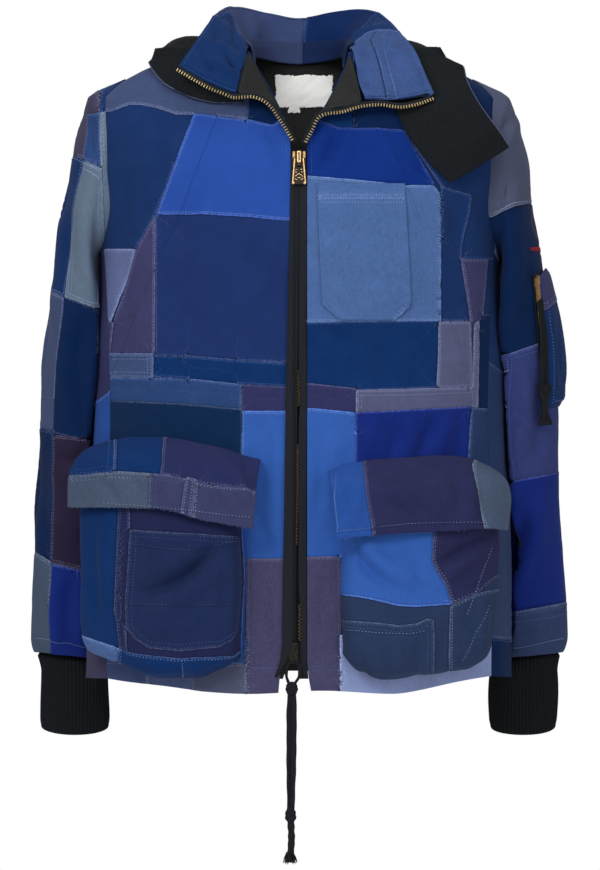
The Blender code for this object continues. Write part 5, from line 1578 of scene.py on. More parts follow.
# Corners are the distance from the middle and the height, as seen from the front; beyond the
# sleeve's outer edge (about 260) the distance runs on round the back.
SLEEVE_RIGHT_PATCHES = (
    ("dark_navy", None, 0, ((100, 60), (520, 60), (520, -700), (100, -700))),
    ("dark_navy", "blue_thread", 1, ((150, 30), (197, 30), (199, -38), (150, -38))),
    ("plum_brown", "lilac_thread", 1, ((197, 40), (330, 40), (330, -80), (221, -82), (213, -84),
     (211, -39), (199, -38))),
    ("grey_blue", "blue_thread", 1, ((199, -38), (211, -39), (213, -85), (199, -92.8))),
    ("grey_green", "pale_thread", 2, ((199, -37.6), (120, -37.6), (120, -174), (195.5, -174),
     (198, -93))),
    ("grey_green", "pale_thread", 2, ((214, -85.6), (222, -119), (227, -156), (232.3, -222),
     (200.6, -234.6), (120, -242), (120, -174), (195.5, -174), (198, -93))),
    ("teal_navy", "pale_thread", 1, ((221, -81.5), (330, -78), (330, -212), (246.6, -215), (233, -221),
     (227, -156), (222, -119), (214, -85.6))),
    ("lavender_slate", "pale_thread", 1, ((246.6, -215), (330, -212), (330, -350), (257, -353.5),
     (244.8, -357), (243.5, -325), (233.3, -223))),
    ("ink_navy", None, 0, ((233, -222), (200.6, -234.6), (120, -242), (120, -375), (215, -363.5),
     (244.8, -357), (243.5, -325))),
    ("ink_navy", "blue_thread", 1, ((257, -353), (330, -350), (330, -478), (262, -478), (247, -487),
     (245, -357))),
    ("dark_plum", "lilac_thread", 1, ((245, -360), (215, -363.5), (120, -375), (120, -503), (217, -495.6),
     (247, -488))),
    ("green_slate", "pale_thread", 1, ((262, -478), (330, -478), (330, -640), (249, -640), (248, -530),
     (247, -487))),
    ("indigo_blue", None, 0, ((247, -489), (217, -495.6), (120, -503), (120, -640), (249, -640),
     (248, -530))),
    ("cobalt", "pale_thread", 1, ((330, 40), (520, 40), (520, -130), (330, -124))),
    ("slate", "pale_thread", 1, ((330, -124), (520, -130), (520, -260), (330, -252))),
    ("plum", "lilac_thread", 1, ((330, -252), (520, -260), (520, -388), (330, -380))),
    ("grey_blue", "blue_thread", 1, ((330, -380), (520, -388), (520, -500), (330, -492))),
    ("teal_navy", "blue_thread", 1, ((330, -492), (520, -500), (520, -640), (330, -640))),
)
SLEEVE_LEFT_PATCHES = (
    ("ink_navy", None, 0, ((100, 60), (520, 60), (520, -700), (100, -700))),
    ("mauve_grey", "pale_thread", 1, ((100, 60), (330, 60), (330, -124), (231, -127.5), (215, -131),
     (194, -141), (100, -160))),
    ("dark_plum", None, 0, ((232, -129.5), (275, -128), (275, -172), (240, -173), (231, -148))),
    ("red_bar", None, 0, ((230, -172.5), (256, -172.5), (256, -175.5), (230, -175.5))),
    ("indigo_purple", "blue_thread", 2, ((100, -310), (194, -290), (203, -281.5), (240, -268),
     (330, -262), (330, -392), (260, -397.6), (203, -408.6), (100, -424))),
    ("indigo_blue", None, 0, ((100, -424), (203, -408.6), (260, -397.6), (330, -392), (330, -520),
     (268, -527.6), (202, -539.7), (100, -552))),
    ("slate_navy", "blue_thread", 2, ((100, -552), (202, -539.7), (268, -527.6), (330, -520), (330, -640),
     (100, -640))),
    ("light_denim", "pale_thread", 1, ((330, 60), (520, 60), (520, -120), (330, -116))),
    ("big_navy", "blue_thread", 1, ((330, -116), (520, -120), (520, -266), (330, -260))),
    ("plum", "lilac_thread", 1, ((330, -260), (520, -266), (520, -400), (330, -392))),
    ("cornflower", "pale_thread", 1, ((330, -392), (520, -400), (520, -522), (330, -518))),
    ("slate", "pale_thread", 1, ((330, -518), (520, -522), (520, -640), (330, -640))),
)
SLEEVE_RIGHT_LINES = (
    ("pale_thread", 0.5, ((264, -565), (248, -567), (226, -571), (204, -575))),
    ("pale_thread", 0.3, ((219, -119), (223, -156), (228, -222))),
)
SLEEVE_LEFT_LINES = (
    ("pale_thread", 0.5, ((264, -565), (248, -567), (226, -571), (204, -575))),
    ("pale_thread", 0.6, ((211, -284), (208, -330), (210, -372), (214, -404))),
    ("blue_thread", 0.3, ((214.5, -284), (211.5, -330), (213.5, -372), (217.5, -404))),
)
# Both sleeves hang in the same folds on the side away from the front.
SLEEVE_BEHIND_FOLDS = (
    (350, -150, 360, -220, 352, -290, 12, 3.0), (390, -180, 380, -250, 392, -320, 12, -3.0),
    (360, -350, 350, -420, 362, -500, 12, 2.6), (400, -360, 410, -430, 398, -500, 12, -2.6),
)
SLEEVE_RIGHT_FOLDS = (
    (203, -44, 208, -62, 203, -84, 4, -2.0), (222, -30, 232, -56, 228, -80, 6, 1.4),
    (240, -110, 238, -150, 244, -196, 5, 2.2), (231, -120, 230, -160, 238, -205, 5, -2.0),
    (212, -110, 218, -160, 208, -214, 9, 1.6), (204, -130, 207, -170, 203, -215, 6, -1.4),
    (214, -240, 222, -275, 216, -330, 8, -3.2), (226, -245, 234, -290, 228, -345, 7, 2.6),
    (200, -250, 206, -300, 200, -350, 8, 2.2), (252, -232, 250, -280, 256, -340, 6, -1.8),
    (262, -240, 270, -290, 262, -345, 8, 2.0), (212, -372, 226, -384, 240, -380, 6, -3.0),
    (216, -388, 228, -400, 242, -396, 6, 2.2), (220, -410, 214, -450, 222, -486, 9, -1.8),
    (250, -366, 256, -420, 250, -470, 6, -2.0), (262, -380, 268, -420, 262, -466, 7, 1.8),
    (204, -505, 216, -540, 206, -570, 8, 2.0), (226, -500, 232, -540, 228, -572, 7, -2.4),
    (240, -500, 246, -540, 240, -574, 6, 1.6), (256, -500, 258, -540, 252, -572, 6, -1.5),
) + SLEEVE_BEHIND_FOLDS
SLEEVE_LEFT_FOLDS = (
    (206, -44, 204, -60, 198, -78, 5, -2.8), (216, -30, 214, -52, 204, -70, 6, 2.0),
    (224, -56, 226, -90, 222, -120, 9, 1.4), (212, -104, 206, -116, 198, -128, 6, -1.8),
    (200, -158, 198, -200, 200, -240, 5, -3.0), (214, -150, 216, -200, 212, -256, 9, 2.2),
    (228, -190, 226, -225, 230, -262, 6, -1.8), (206, -200, 208, -236, 204, -272, 6, 1.4),
    (204, -292, 199, -330, 204, -372, 5, -4.0), (222, -290, 226, -330, 220, -372, 8, 2.6),
    (236, -300, 240, -350, 234, -392, 7, -2.2), (246, -290, 252, -340, 248, -390, 6, 1.6),
    (231, -434, 214, -482, 201, -514, 8, -5.0), (242, -424, 230, -474, 216, -520, 9, 3.2),
    (252, -420, 254, -470, 250, -520, 8, -1.6), (206, -424, 204, -446, 202, -470, 7, 2.0),
    (214, -548, 232, -556, 250, -548, 6, -1.8), (212, -566, 228, -572, 250, -566, 6, 1.6),
) + SLEEVE_BEHIND_FOLDS


def sleeve_finder(surface):
    """Finds flat places of points on a sleeve; beyond its outer edge they run on round the back."""
    half = SLEEVE_AROUND / 2
    side = np.sign(surface(np.array([half]), np.array([-200.0]))[0, 0])
    front = front_view_finder(lambda u, v: surface(u, v) * (side, 1, 1),
                              (half, -SLEEVE_LENGTHS[-1], SLEEVE_AROUND, 0))

    def find(points):
        points = np.asarray(points, float)
        place = front(points)
        edge = surface(np.full(len(place), half), place[:, 1])[:, 0] * side
        beyond = np.maximum(points[:, 0] - edge, 0) * (place[:, 0] < half + 3)
        place[:, 0] = np.maximum(place[:, 0] - beyond, 0)
        return place
    return find


def sleeve_view(surface):
    """Distance from the middle and height of sleeve points, running on round the back."""
    half = SLEEVE_AROUND / 2

    def view(points, places):
        edge = np.abs(surface(np.full(len(places), half), places[:, 1])[:, 0])
        behind = places[:, 0] < half
        x = np.where(behind, edge + half - places[:, 0], np.abs(points[:, 0]))
        return np.stack((x, points[:, 2]), axis=1)
    return view


def sleeve_piece(name, side, patches, lines, folds, seed):
    surface = sleeve_flat(side)
    made = Piece(name, surface, (0, -SLEEVE_LENGTHS[-1], SLEEVE_AROUND, 0), patches,
                 find=sleeve_finder(surface), lines=lines, creases=folds, seed=seed, spacing=3.4,
                 swell=1.0, calm=(10, 0, 10, 16), view=sleeve_view(surface))
    made.make()


sleeve_piece("sleeve_right", -1, SLEEVE_RIGHT_PATCHES, SLEEVE_RIGHT_LINES, SLEEVE_RIGHT_FOLDS, 31)
sleeve_piece("sleeve_left", 1, SLEEVE_LEFT_PATCHES, SLEEVE_LEFT_LINES, SLEEVE_LEFT_FOLDS, 35)


def grid_sheet(name, replaced, grid, wall, material, wrap=False,
               under=None, edge=None, edge_rows=0):
    """Cloth over rows of points in mm; its last rows can be another material."""
    rows, cols = grid.shape[:2]
    last = cols if wrap else cols - 1
    number = np.arange(rows * cols).reshape(rows, cols)
    faces = [tuple(int(i) for i in (number[r, c], number[r, (c + 1) % cols],
                                    number[r + 1, (c + 1) % cols], number[r + 1, c]))
             for r in range(rows - 1) for c in range(last)]
    mesh = new_mesh(name, grid.reshape(-1, 3), faces, material, edge or material, under or material)
    if edge:
        slots = [1 if face // last >= rows - 1 - edge_rows else 0 for face in range(len(faces))]
        mesh.polygons.foreach_set("material_index", slots)
    weave = mesh.uv_layers.new(name="weave")
    places = np.stack((grid[..., 0], grid[..., 2]), axis=2).reshape(-1, 2) / WEAVE_SCALE
    weave.data.foreach_set("uv", places[np.array(faces).ravel()].ravel())
    mesh.shade_smooth()
    made = placed(name, mesh)
    solid = made.modifiers.new("wall", "SOLIDIFY")
    solid.thickness = wall * MM
    solid.offset = 1.0
    solid.material_offset = 2
    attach(made, "jacket")
    if replaced is not None:
        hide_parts(replaced)
    return made


def cuff_piece(name, side):
    """Ribbed cuff: upright ribs about 4 mm apart, a little uneven; its front edge hangs lowest."""
    ribs, seed = 56, 4 + side
    turn = np.linspace(0, 2 * math.pi, ribs * 8, endpoint=False)
    outer, front = np.cos(turn), np.sin(turn)
    top = CUFF_SEAM - 4.0 * (1 - outer)
    end = CUFF_END + 9.0 - 10.0 * np.clip(front, 0, 1) ** 0.8
    rows = []
    for down in np.linspace(0, 1, 40):
        z = lerp(top, end, down)
        fall = np.clip(-z, -CUFF[0, 0], -CUFF[-1, 0])
        outer_x, inner_x, centre_y, half_depth = [
            smooth(-CUFF[:, 0], CUFF[:, c], fall) for c in range(1, 5)]
        wave = np.cos(ribs * turn + 0.5 * np.sin(3 * turn + 2 * down + side))
        bulge = 0.9 * math.sin(math.pi * min(1, down * 1.05)) + 0.8 * np.sin(2 * turn + 5 * down + seed)
        tucked = 5.0 * np.clip(1 - down / 0.07, 0, 1)
        flare = 5.5 * np.clip(outer, 0, 1) * np.clip(1 - down / 0.26, 0, 1) ** 1.3
        swell = bulge + flare - tucked + 0.9 * np.clip(wave, -0.6, 1)
        swell = swell - 1.2 * math.exp(-((down - 1) / 0.06) ** 2)
        x = (outer_x + inner_x) / 2 + ((outer_x - inner_x) / 2 + swell) * outer
        y = centre_y - (half_depth + swell) * front
        rows.append(np.stack((side * x, y, z), axis=1))
    grid = np.array(rows)
    if side > 0:
        grid = grid[:, ::-1]
    grid_sheet(name + "_knit", name, grid, 1.3, "rib", wrap=True)


cuff_piece("cuff_right", -1)
cuff_piece("cuff_left", 1)


# ---------------------------------------------------------------- cargo pockets

def lifted(x, z, off):
    """Point over the body's front at an outward distance."""
    point = np.stack((x, body_y(x, z, -1), z), axis=-1)
    return point + body_normal(point) * np.asarray(off)[..., None]


def run_lengths(across, up):
    """Length along a profile up to each of its points."""
    return np.concatenate(((0,), np.cumsum(np.hypot(np.diff(across), np.diff(up)))))


def bag_surface(span, edges):
    """Surface of a bellows bag: u along its level profile, v up from the bottom."""
    width, tall = span[1] - span[0], np.ptp(edges[:, 1:3].mean(axis=0))
    run = run_lengths(BAG_ACROSS[:, 0] * width, BAG_ACROSS[:, 1] * BAG_DEPTH)
    drop = run_lengths(BAG_DOWN[:, 0] * tall, BAG_DOWN[:, 1] * BAG_DEPTH)

    def at(u, v):
        across, depth_across = (smooth(run, BAG_ACROSS[:, c], u) for c in (0, 1))
        down, depth_down = (smooth(drop, BAG_DOWN[:, c], drop[-1] - v) for c in (0, 1))
        top = smooth(edges[:, 0], edges[:, 1], across)
        bottom = smooth(edges[:, 0], edges[:, 2], across)
        return lifted(lerp(span[0], span[1], across), lerp(top, bottom, down),
                      CLOTH + LAP + BAG_DEPTH * depth_down * depth_across)
    return at, (0.0, 0.0, float(run[-1]), float(drop[-1]))


def flap_surface(spans, edges):
    """Surface of a pocket flap: u across, v up from its lower edge."""
    tall = float(np.mean(edges[:, 1] - edges[:, 2]))
    drop = run_lengths(FLAP_RISE[:, 0] * tall, FLAP_RISE[:, 1])
    wide = float(np.mean([right - left for left, right in spans]))

    def at(u, v):
        down = smooth(drop, FLAP_RISE[:, 0], drop[-1] - v)
        rise = smooth(FLAP_RISE[:, 0], FLAP_RISE[:, 1], down)
        left, right = (lerp(spans[0][end], spans[1][end], down) for end in (0, 1))
        share = np.clip(u / wide, 0, 1)
        top = smooth(edges[:, 0], edges[:, 1], share)
        bottom = smooth(edges[:, 0], edges[:, 2], share)
        return lifted(lerp(left, right, share), lerp(top, bottom, down), rise)
    return at, (0.0, 0.0, wide, float(drop[-1]))


def bag_finder(surface, size):
    """Finds flat places on a bag from the front; what lies beyond its sides goes to the wall's edge."""
    fine, around = 90, np.linspace(0, size[2], 240)
    heights, shares = np.linspace(size[1], size[3], fine), np.linspace(0, 1, fine)
    seen = np.array([surface(around, np.full(240, height))[:, 0] for height in heights])
    first, last = around[seen.argmin(axis=1)], around[seen.argmax(axis=1)]

    def find(points):
        points = np.asarray(points, float)
        v = np.full(len(points), (size[1] + size[3]) / 2)
        for _ in range(12):
            ends = np.interp(v, heights, first), np.interp(v, heights, last)
            table_u = ends[0][:, None] + (ends[1] - ends[0])[:, None] * shares
            across = surface(table_u.ravel(), np.repeat(v, fine)).reshape(len(points), fine, 3)
            u = np.array([np.interp(x, row[:, 0], us)
                          for x, row, us in zip(points[:, 0], across, table_u)])
            here = surface(u, v)
            slope = (surface(u, v + 1.0) - here)[:, 2]
            slope = np.where(np.abs(slope) < 0.2, np.where(slope < 0, -0.2, 0.2), slope)
            v = np.clip(v + np.clip((points[:, 1] - here[:, 2]) / slope, -25, 25), size[1], size[3])
        outside = 2.0
        u = np.where(points[:, 0] < across[:, 0, 0] - outside, 0.0, u)
        u = np.where(points[:, 0] > across[:, -1, 0] + outside, size[2], u)
        return np.stack((u, v), axis=1)
    return find


BAG_RIGHT_PATCHES = (
    ("bag_purple", None, 0, ((-260, -380), (0, -380), (0, -640), (-260, -640))),
    ("teal_navy", "blue_thread", 1, ((-230, -380), (-178, -380), (-179, -430), (-181, -470),
     (-183.5, -515), (-184, -535), (-181, -550), (-180, -573), (-230, -556))),
    ("bag_purple", "blue_thread", 1, ((-183.5, -515), (-181, -470), (-179, -430), (-178, -380),
     (-169, -380), (-168, -455), (-170, -485), (-173, -525), (-172, -552), (-171, -576), (-180, -573),
     (-181, -550), (-184, -535))),
    ("bag_navy", "dim_thread", 2, ((-168, -455), (-61, -462), (-61, -555), (-68, -565), (-79, -571),
     (-119, -575), (-149, -572), (-163, -563), (-172, -552), (-173, -525), (-170, -485))),
    ("light_denim", "pale_thread", 1, ((-230, -556), (-214, -561), (-180, -573), (-181, -640),
     (-230, -640))),
    ("teal_navy", "pale_thread", 1, ((-180, -573), (-171, -577), (-149, -580), (-119, -583), (-67, -580),
     (-57, -574), (0, -560), (0, -640), (-181, -640))),
    ("bright_blue", None, 0, ((-58.5, -380), (0, -380), (0, -640), (-58.5, -640))),
)
BAG_RIGHT_LINES = (
    ("dim_thread", 0.7, ((-169, -470), (-138, -474.5), (-105, -477.5), (-62, -467))),
    ("dim_thread", 0.7, ((-172, -530), (-120, -531.5), (-67, -531))),
    ("pale_thread", 0.5, ((-118, -583), (-117.5, -600))), (None, 0.9, ((-59.5, -400), (-59.5, -585))),
)
BAG_RIGHT_FOLDS = (
    (-84, -471, -112, -498, -156, -519, 6, -6.5), (-92, -458, -122, -484, -160, -502, 8, 3.6),
    (-80, -486, -104, -514, -144, -536, 8, 2.4), (-156, -462, -150, -500, -156, -548, 7, -1.6),
    (-72, -500, -76, -530, -72, -560, 6, -1.8), (-100, -540, -120, -552, -146, -556, 7, 1.6),
    (-132, -516, -128, -540, -132, -566, 7, -1.4), (-190, -440, -196, -490, -190, -540, 8, 2.8),
    (-200, -450, -206, -500, -200, -548, 7, -3.2), (-182, -560, -176, -576, -172, -590, 6, -1.8),
    (-150, -586, -138, -592, -126, -588, 6, 1.6), (-100, -584, -90, -594, -76, -588, 6, -1.6),
    (-52, -470, -50, -520, -54, -565, 6, 1.8),
)
BAG_LEFT_PATCHES = (
    ("bag_slate", None, 0, ((0, -380), (260, -380), (260, -640), (0, -640))),
    ("cornflower", "dark_thread", 1, ((0, -380), (134, -380), (134, -457), (132.7, -467), (132.7, -485),
     (138.7, -498), (146, -509), (152, -528.6), (117, -531), (98.7, -530), (74.5, -524), (43, -518),
     (0, -512))),
    ("plum_navy", "pale_thread", 1, ((134, -380), (260, -380), (260, -500), (196, -503), (177.5, -517.7),
     (159, -526), (152, -528.6), (146, -509), (138.7, -498), (132.7, -485), (132.7, -467), (134, -457))),
    ("bag_slate", "dim_thread", 2, ((42, -541), (49, -545.6), (80.5, -548), (98.7, -550.5), (117, -548.6),
     (126.6, -544), (133, -544.4), (134, -560), (134.5, -640), (42, -640))),
    ("bag_slate", "pale_thread", 1, ((150, -531), (176, -519), (262, -500), (260, -640), (150, -640))),
)
BAG_LEFT_LINES = (
    ("pale_thread", 0.6, ((49, -556), (80, -559), (110, -560), (126, -557))),
    ("pale_thread", 0.5, ((190, -472), (177, -508), (165, -541))),
    ("pale_thread", 0.5, ((188, -529), (177.5, -550.5), (159, -588))),
)
BAG_LEFT_FOLDS = (
    (55, -464, 64, -488, 98, -514, 7, -4.6), (66, -462, 84, -490, 116, -506, 9, 4.0),
    (187, -459, 165, -475, 139, -490, 7, -4.4), (180, -472, 160, -490, 142, -502, 8, 3.2),
    (68, -573, 66, -588, 68, -602, 6, -2.4), (194, -520, 196, -550, 192, -580, 8, -3.2),
    (186, -516, 184, -550, 182, -584, 7, 2.2), (92, -566, 100, -582, 96, -598, 7, 1.8),
    (114, -566, 120, -582, 116, -600, 6, -2.0), (146, -546, 143, -570, 146, -594, 6, -1.6),
    (58, -540, 56, -560, 60, -580, 7, 1.4), (166, -560, 170, -578, 164, -592, 6, 1.6),
    (46, -480, 50, -520, 46, -560, 6, 1.8), (110, -470, 118, -494, 128, -516, 8, -1.8),
)
FLAP_RIGHT_PATCHES = (
    ("teal_navy", None, 0, ((-240, -340), (0, -340), (0, -470), (-240, -470))),
    ("teal_navy", "blue_thread", 2, ((-240, -340), (-182, -340), (-182, -397), (-240, -402))),
    ("purple_navy", "lilac_thread", 1, ((-133, -340), (0, -340), (0, -440), (-36, -417), (-90, -410),
     (-138, -399.5))),
    ("green_slate", "pale_thread", 2, ((-240, -402), (-214, -400), (-182.5, -397), (-148, -399),
     (-149.5, -470), (-240, -470))),
    ("band_plum", "dim_thread", 2, ((-148, -399), (-111, -405), (-103, -408), (-107.5, -470),
     (-149.5, -470))),
    ("band_plum", "pale_thread", 1, ((-103, -408), (-63, -414), (-35.5, -418.5), (0, -426), (0, -470),
     (-107.5, -470))),
    ("band_plum", "pale_thread", 1, ((-112, -403), (-103, -405), (-107.5, -446), (-118, -443))),
)
FLAP_RIGHT_LINES = (
    ("pale_thread", 0.6, ((-186, -352), (-186, -397))),
    ("pale_thread", 0.5, ((-196, -430), (-160, -432), (-110, -437), (-60, -443), (-43, -444))),
)
FLAP_RIGHT_FOLDS = (
    (-200, -404, -190, -414, -180, -430, 6, -2.2), (-176, -376, -160, -390, -150, -398, 7, 1.8),
    (-150, -372, -140, -384, -128, -396, 7, -1.8), (-110, -376, -100, -390, -96, -406, 9, -1.8),
    (-84, -380, -74, -394, -60, -408, 8, 2.0), (-56, -388, -48, -404, -42, -430, 6, -4.0),
    (-64, -400, -56, -414, -52, -436, 6, 2.2), (-166, -402, -160, -416, -164, -430, 6, -1.6),
    (-134, -408, -128, -420, -132, -436, 6, 1.6), (-90, -412, -84, -424, -88, -440, 6, -1.6),
    (-72, -416, -66, -430, -70, -444, 5, 1.4), (-206, -376, -196, -386, -190, -394, 7, 2.0),
)
FLAP_LEFT_PATCHES = (
    ("bright_blue", None, 0, ((0, -350), (260, -350), (260, -500), (0, -500))),
    ("plum_navy", "lilac_thread", 1, ((62, -350), (190, -350), (172, -393), (176, -410), (181, -432),
     (185, -455), (186, -500), (76, -500), (73, -452), (67, -420))),
    ("green_slate", "pale_thread", 1, ((190, -350), (260, -350), (260, -500), (186, -500), (185, -455),
     (181, -432), (176, -410), (172, -393))),
)
FLAP_LEFT_LINES = (
    ("pale_thread", 0.6, ((35, -458), (60, -456), (110, -450), (150, -449), (184, -449))),
    ("pale_thread", 0.5, ((36, -400), (33, -425), (37, -455))),
)
FLAP_LEFT_FOLDS = (
    (36, -408, 44, -424, 42, -446, 6, -2.6), (52, -402, 58, -420, 54, -440, 7, 2.2),
    (60, -396, 90, -402, 126, -398, 8, -2.2), (74, -410, 100, -418, 132, -414, 9, 2.2),
    (90, -426, 106, -438, 112, -452, 7, -1.8), (124, -420, 134, -434, 136, -452, 7, 1.6),
    (150, -398, 160, -414, 158, -436, 8, -2.6), (164, -404, 172, -420, 170, -446, 6, 2.2),
    (176, -400, 182, -424, 184, -448, 6, -2.2), (70, -444, 80, -450, 92, -454, 5, 1.6),
)


def cargo_bag(side, span, edges, patches, lines, folds, seed):
    """Bellows bag of one front."""
    surface, size = bag_surface(span, edges)
    Piece("cargo_pocket_" + side, surface, size, patches, lines=lines, find=bag_finder(surface, size),
          creases=folds, seed=seed, spacing=3.0, swell=2.0, pucker=0.45).make(
        )


def cargo_flap(side, spans, edges, patches, lines, folds, seed):
    """Flap over the bag of one front."""
    surface, size = flap_surface(spans, edges)
    Piece("cargo_flap_" + side, surface, size, patches, lines=lines, creases=folds, seed=seed,
          spacing=2.8, swell=1.6, pucker=0.5).make(
        lining="flap_lining")


cargo_bag("right", BAG_RIGHT_SPAN, BAG_RIGHT_EDGES, BAG_RIGHT_PATCHES, BAG_RIGHT_LINES, BAG_RIGHT_FOLDS,
          51)
cargo_bag("left", BAG_LEFT_SPAN, BAG_LEFT_EDGES, BAG_LEFT_PATCHES, BAG_LEFT_LINES, BAG_LEFT_FOLDS, 55)
cargo_flap("right", FLAP_RIGHT_SPAN, FLAP_RIGHT_EDGES, FLAP_RIGHT_PATCHES, FLAP_RIGHT_LINES,
           FLAP_RIGHT_FOLDS, 58)
cargo_flap("left", FLAP_LEFT_SPAN, FLAP_LEFT_EDGES, FLAP_LEFT_PATCHES, FLAP_LEFT_LINES,
           FLAP_LEFT_FOLDS, 61)


def frayed_edge(piece, name, route, material, length, seed, gap=1.1):
    """Short loose threads along a raw edge; the route runs over the flat piece."""
    chance = np.random.default_rng(seed)
    places = even_steps(np.array(route, float), gap)
    places = places + chance.normal(0, 0.25, places.shape)
    points, normals = piece.outer(places)
    down = piece.surface(places[:, 0], places[:, 1] - 1.0) - piece.surface(*places.T)
    down /= np.maximum(np.linalg.norm(down, axis=1, keepdims=True), 1e-9)
    across = np.cross(down, normals)
    verts, faces = [], []
    for point, normal, drop, side_step in zip(points, normals, down, across):
        reach = length * chance.uniform(0.4, 1.3)
        lean = chance.normal(0, 0.35)
        start = point - normal * 0.8 - drop * 1.0
        middle = start + drop * reach * 0.6 + side_step * lean * reach * 0.3
        middle = middle + normal * chance.normal(0.3, 0.3)
        end = start + drop * reach + side_step * lean * reach + normal * chance.normal(0.2, 0.5)
        first = len(verts)
        for place, half in ((start, 0.2), (middle, 0.16), (end, 0.05)):
            verts += [place - side_step * half, place + side_step * half, place + normal * half]
        for ring in (first, first + 3):
            for a, b in ((0, 1), (1, 2), (2, 0)):
                faces.append((ring + a, ring + b, ring + 3 + b, ring + 3 + a))
    made = placed(name, new_mesh(name, verts, faces, material))
    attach(made, "jacket")


for flap_name, thread_name in (("cargo_flap_right", "pale_thread"), ("cargo_flap_left", "lilac_thread")):
    flap_piece = pieces[flap_name]
    flap_wide = flap_piece.size[2]
    frayed_edge(flap_piece, flap_name + "_fray", ((1, 0.5), (flap_wide - 1, 0.5)), thread_name, 2.2, 3)


# ---------------------------------------------------------------- chest pocket

def chest_surface(u, v):
    """Chest pocket: u across, v the height, lifted with the front's own folds below it."""
    left = np.interp(-v, -CHEST_POCKET[:, 0], CHEST_POCKET[:, 1])
    right = np.interp(-v, -CHEST_POCKET[:, 0], CHEST_POCKET[:, 2])
    x = lerp(left, right, u / CHEST_WIDTH)
    place = np.stack((x, body_y(x, v, -1), v), axis=-1)
    return lifted(x, v, CLOTH + CURVE_LAP - 0.2 + 0.6 * pieces["front_left"].large_folds(place, None))


CHEST_WIDTH = 87.0
CHEST_PATCHES = (
    ("light_denim", None, 0, ((0, -250), (130, -250), (130, -90), (0, -90))),
    ("light_denim", "pale_thread", 2, ((19.5, -122), (106, -122), (109.5, -190), (111.5, -230),
     (103, -238), (94, -245.5), (41, -245.5), (32, -238), (22.5, -230), (20.5, -190), (18.9, -150))),
    ("light_denim", "pale_thread", 1, ((17.5, -108.5), (105.5, -108.5), (106.2, -121.6), (18.2, -121.6))),
)
CHEST_FOLDS = (
    (40, -140, 46, -180, 42, -220, 9, 0.8), (70, -150, 66, -190, 72, -226, 9, -0.8),
    (92, -140, 88, -180, 94, -220, 8, 0.7), (30, -200, 50, -212, 60, -230, 7, -0.6),
)
Piece("chest_pocket", chest_surface, (0, -245, CHEST_WIDTH, -109), CHEST_PATCHES, creases=CHEST_FOLDS,
      seed=64, spacing=2.8, wall=1.2, swell=0.3, pucker=0.4).make(
    )


# ---------------------------------------------------------------- collar

COLLAR_HEIGHT = 58.0      # flat height, from the neck seam to the edge
COLLAR_STATIONS = np.concatenate((COLLAR_RIGHT, COLLAR_LEFT[::-1]))
COLLAR_RUN = length_along(COLLAR_STATIONS[:, 3:6])
COLLAR_LENGTH = float(COLLAR_RUN[-1])


def collar_surface(u, v):
    """Collar: u round the neck from the wearer's right corner, v up from the neck seam."""
    read = [smooth(COLLAR_RUN, COLLAR_STATIONS[:, axis], u) for axis in range(9)]
    neck, middle, top = (np.stack(read[first:first + 3], axis=1) for first in (0, 3, 6))
    share = (np.asarray(v) / COLLAR_HEIGHT)[:, None]
    handle = 2 * middle - (neck + top) / 2
    return (1 - share) ** 2 * neck + 2 * share * (1 - share) * handle + share ** 2 * top


# Corners are lengths round the neck and up the collar.
COLLAR_PATCHES = (
    ("collar_slate", None, 0, ((0, 0), (500, 0), (500, 60), (0, 60))),
    ("wing_navy", "blue_thread", 1, ((-5, -5), (90, -5), (112, 12), (134, 30), (150, 46), (146, 53),
     (120, 56), (96, 64), (-5, 64))),
    ("collar_navy", "blue_thread", 1, ((245, -5), (330, -5), (326, 64), (247, 64))),
    ("dark_navy", "blue_thread", 1, ((330, -5), (420, -5), (420, 64), (326, 64))),
    ("worn_denim", "pale_thread", 1, ((505, -5), (396, -5), (378, 20), (372, 36), (384, 50), (404, 64),
     (505, 64))),
)
COLLAR_LINES = (
    ("pale_thread", 1.0, ((380, 40), (400, 30), (430, 25), (470, 21), (498, 20))),
    ("pale_thread", 0.4, ((388, 47), (404, 38), (432, 32), (470, 28), (498, 27))),
    ("blue_thread", 0.5, ((3.5, 2), (3.5, 56))), ("blue_thread", 0.5, ((492.5, 2), (492.5, 56))),
    ("blue_thread", 0.5, ((4, 54), (60, 54), (110, 54.5), (180, 55), (300, 55), (380, 55), (440, 54),
     (492, 54))),
)
COLLAR_FOLDS = (
    (16, 8, 26, 22, 22, 44, 5, 2.7), (30, 4, 40, 18, 60, 30, 5, -3.7), (36, 10, 52, 28, 50, 48, 6, 2.7),
    (60, 8, 74, 22, 100, 34, 6, -3.1), (70, 20, 90, 34, 120, 42, 7, 2.5),
    (14, 26, 20, 36, 34, 50, 4, -2.4), (46, 36, 62, 44, 84, 48, 5, -2.2),
    (84, 4, 98, 18, 118, 24, 6, 2.0), (110, 20, 126, 34, 140, 40, 6, -2.0),
    (180, 10, 190, 30, 186, 50, 12, 2.4), (214, 8, 220, 28, 212, 48, 12, -2.4),
    (270, 10, 276, 30, 268, 50, 12, 2.2), (330, 10, 340, 26, 336, 46, 10, -3.1),
    (352, 10, 360, 28, 362, 48, 8, 3.1), (410, 14, 424, 10, 440, 14, 6, -2.4),
    (404, 44, 424, 40, 448, 42, 6, 2.4), (440, 36, 460, 34, 482, 38, 6, -2.0),
    (452, 10, 468, 8, 486, 12, 6, 2.2), (460, 46, 474, 48, 486, 44, 5, 2.0),
    (420, 50, 430, 30, 426, 8, 9, 1.5),
)
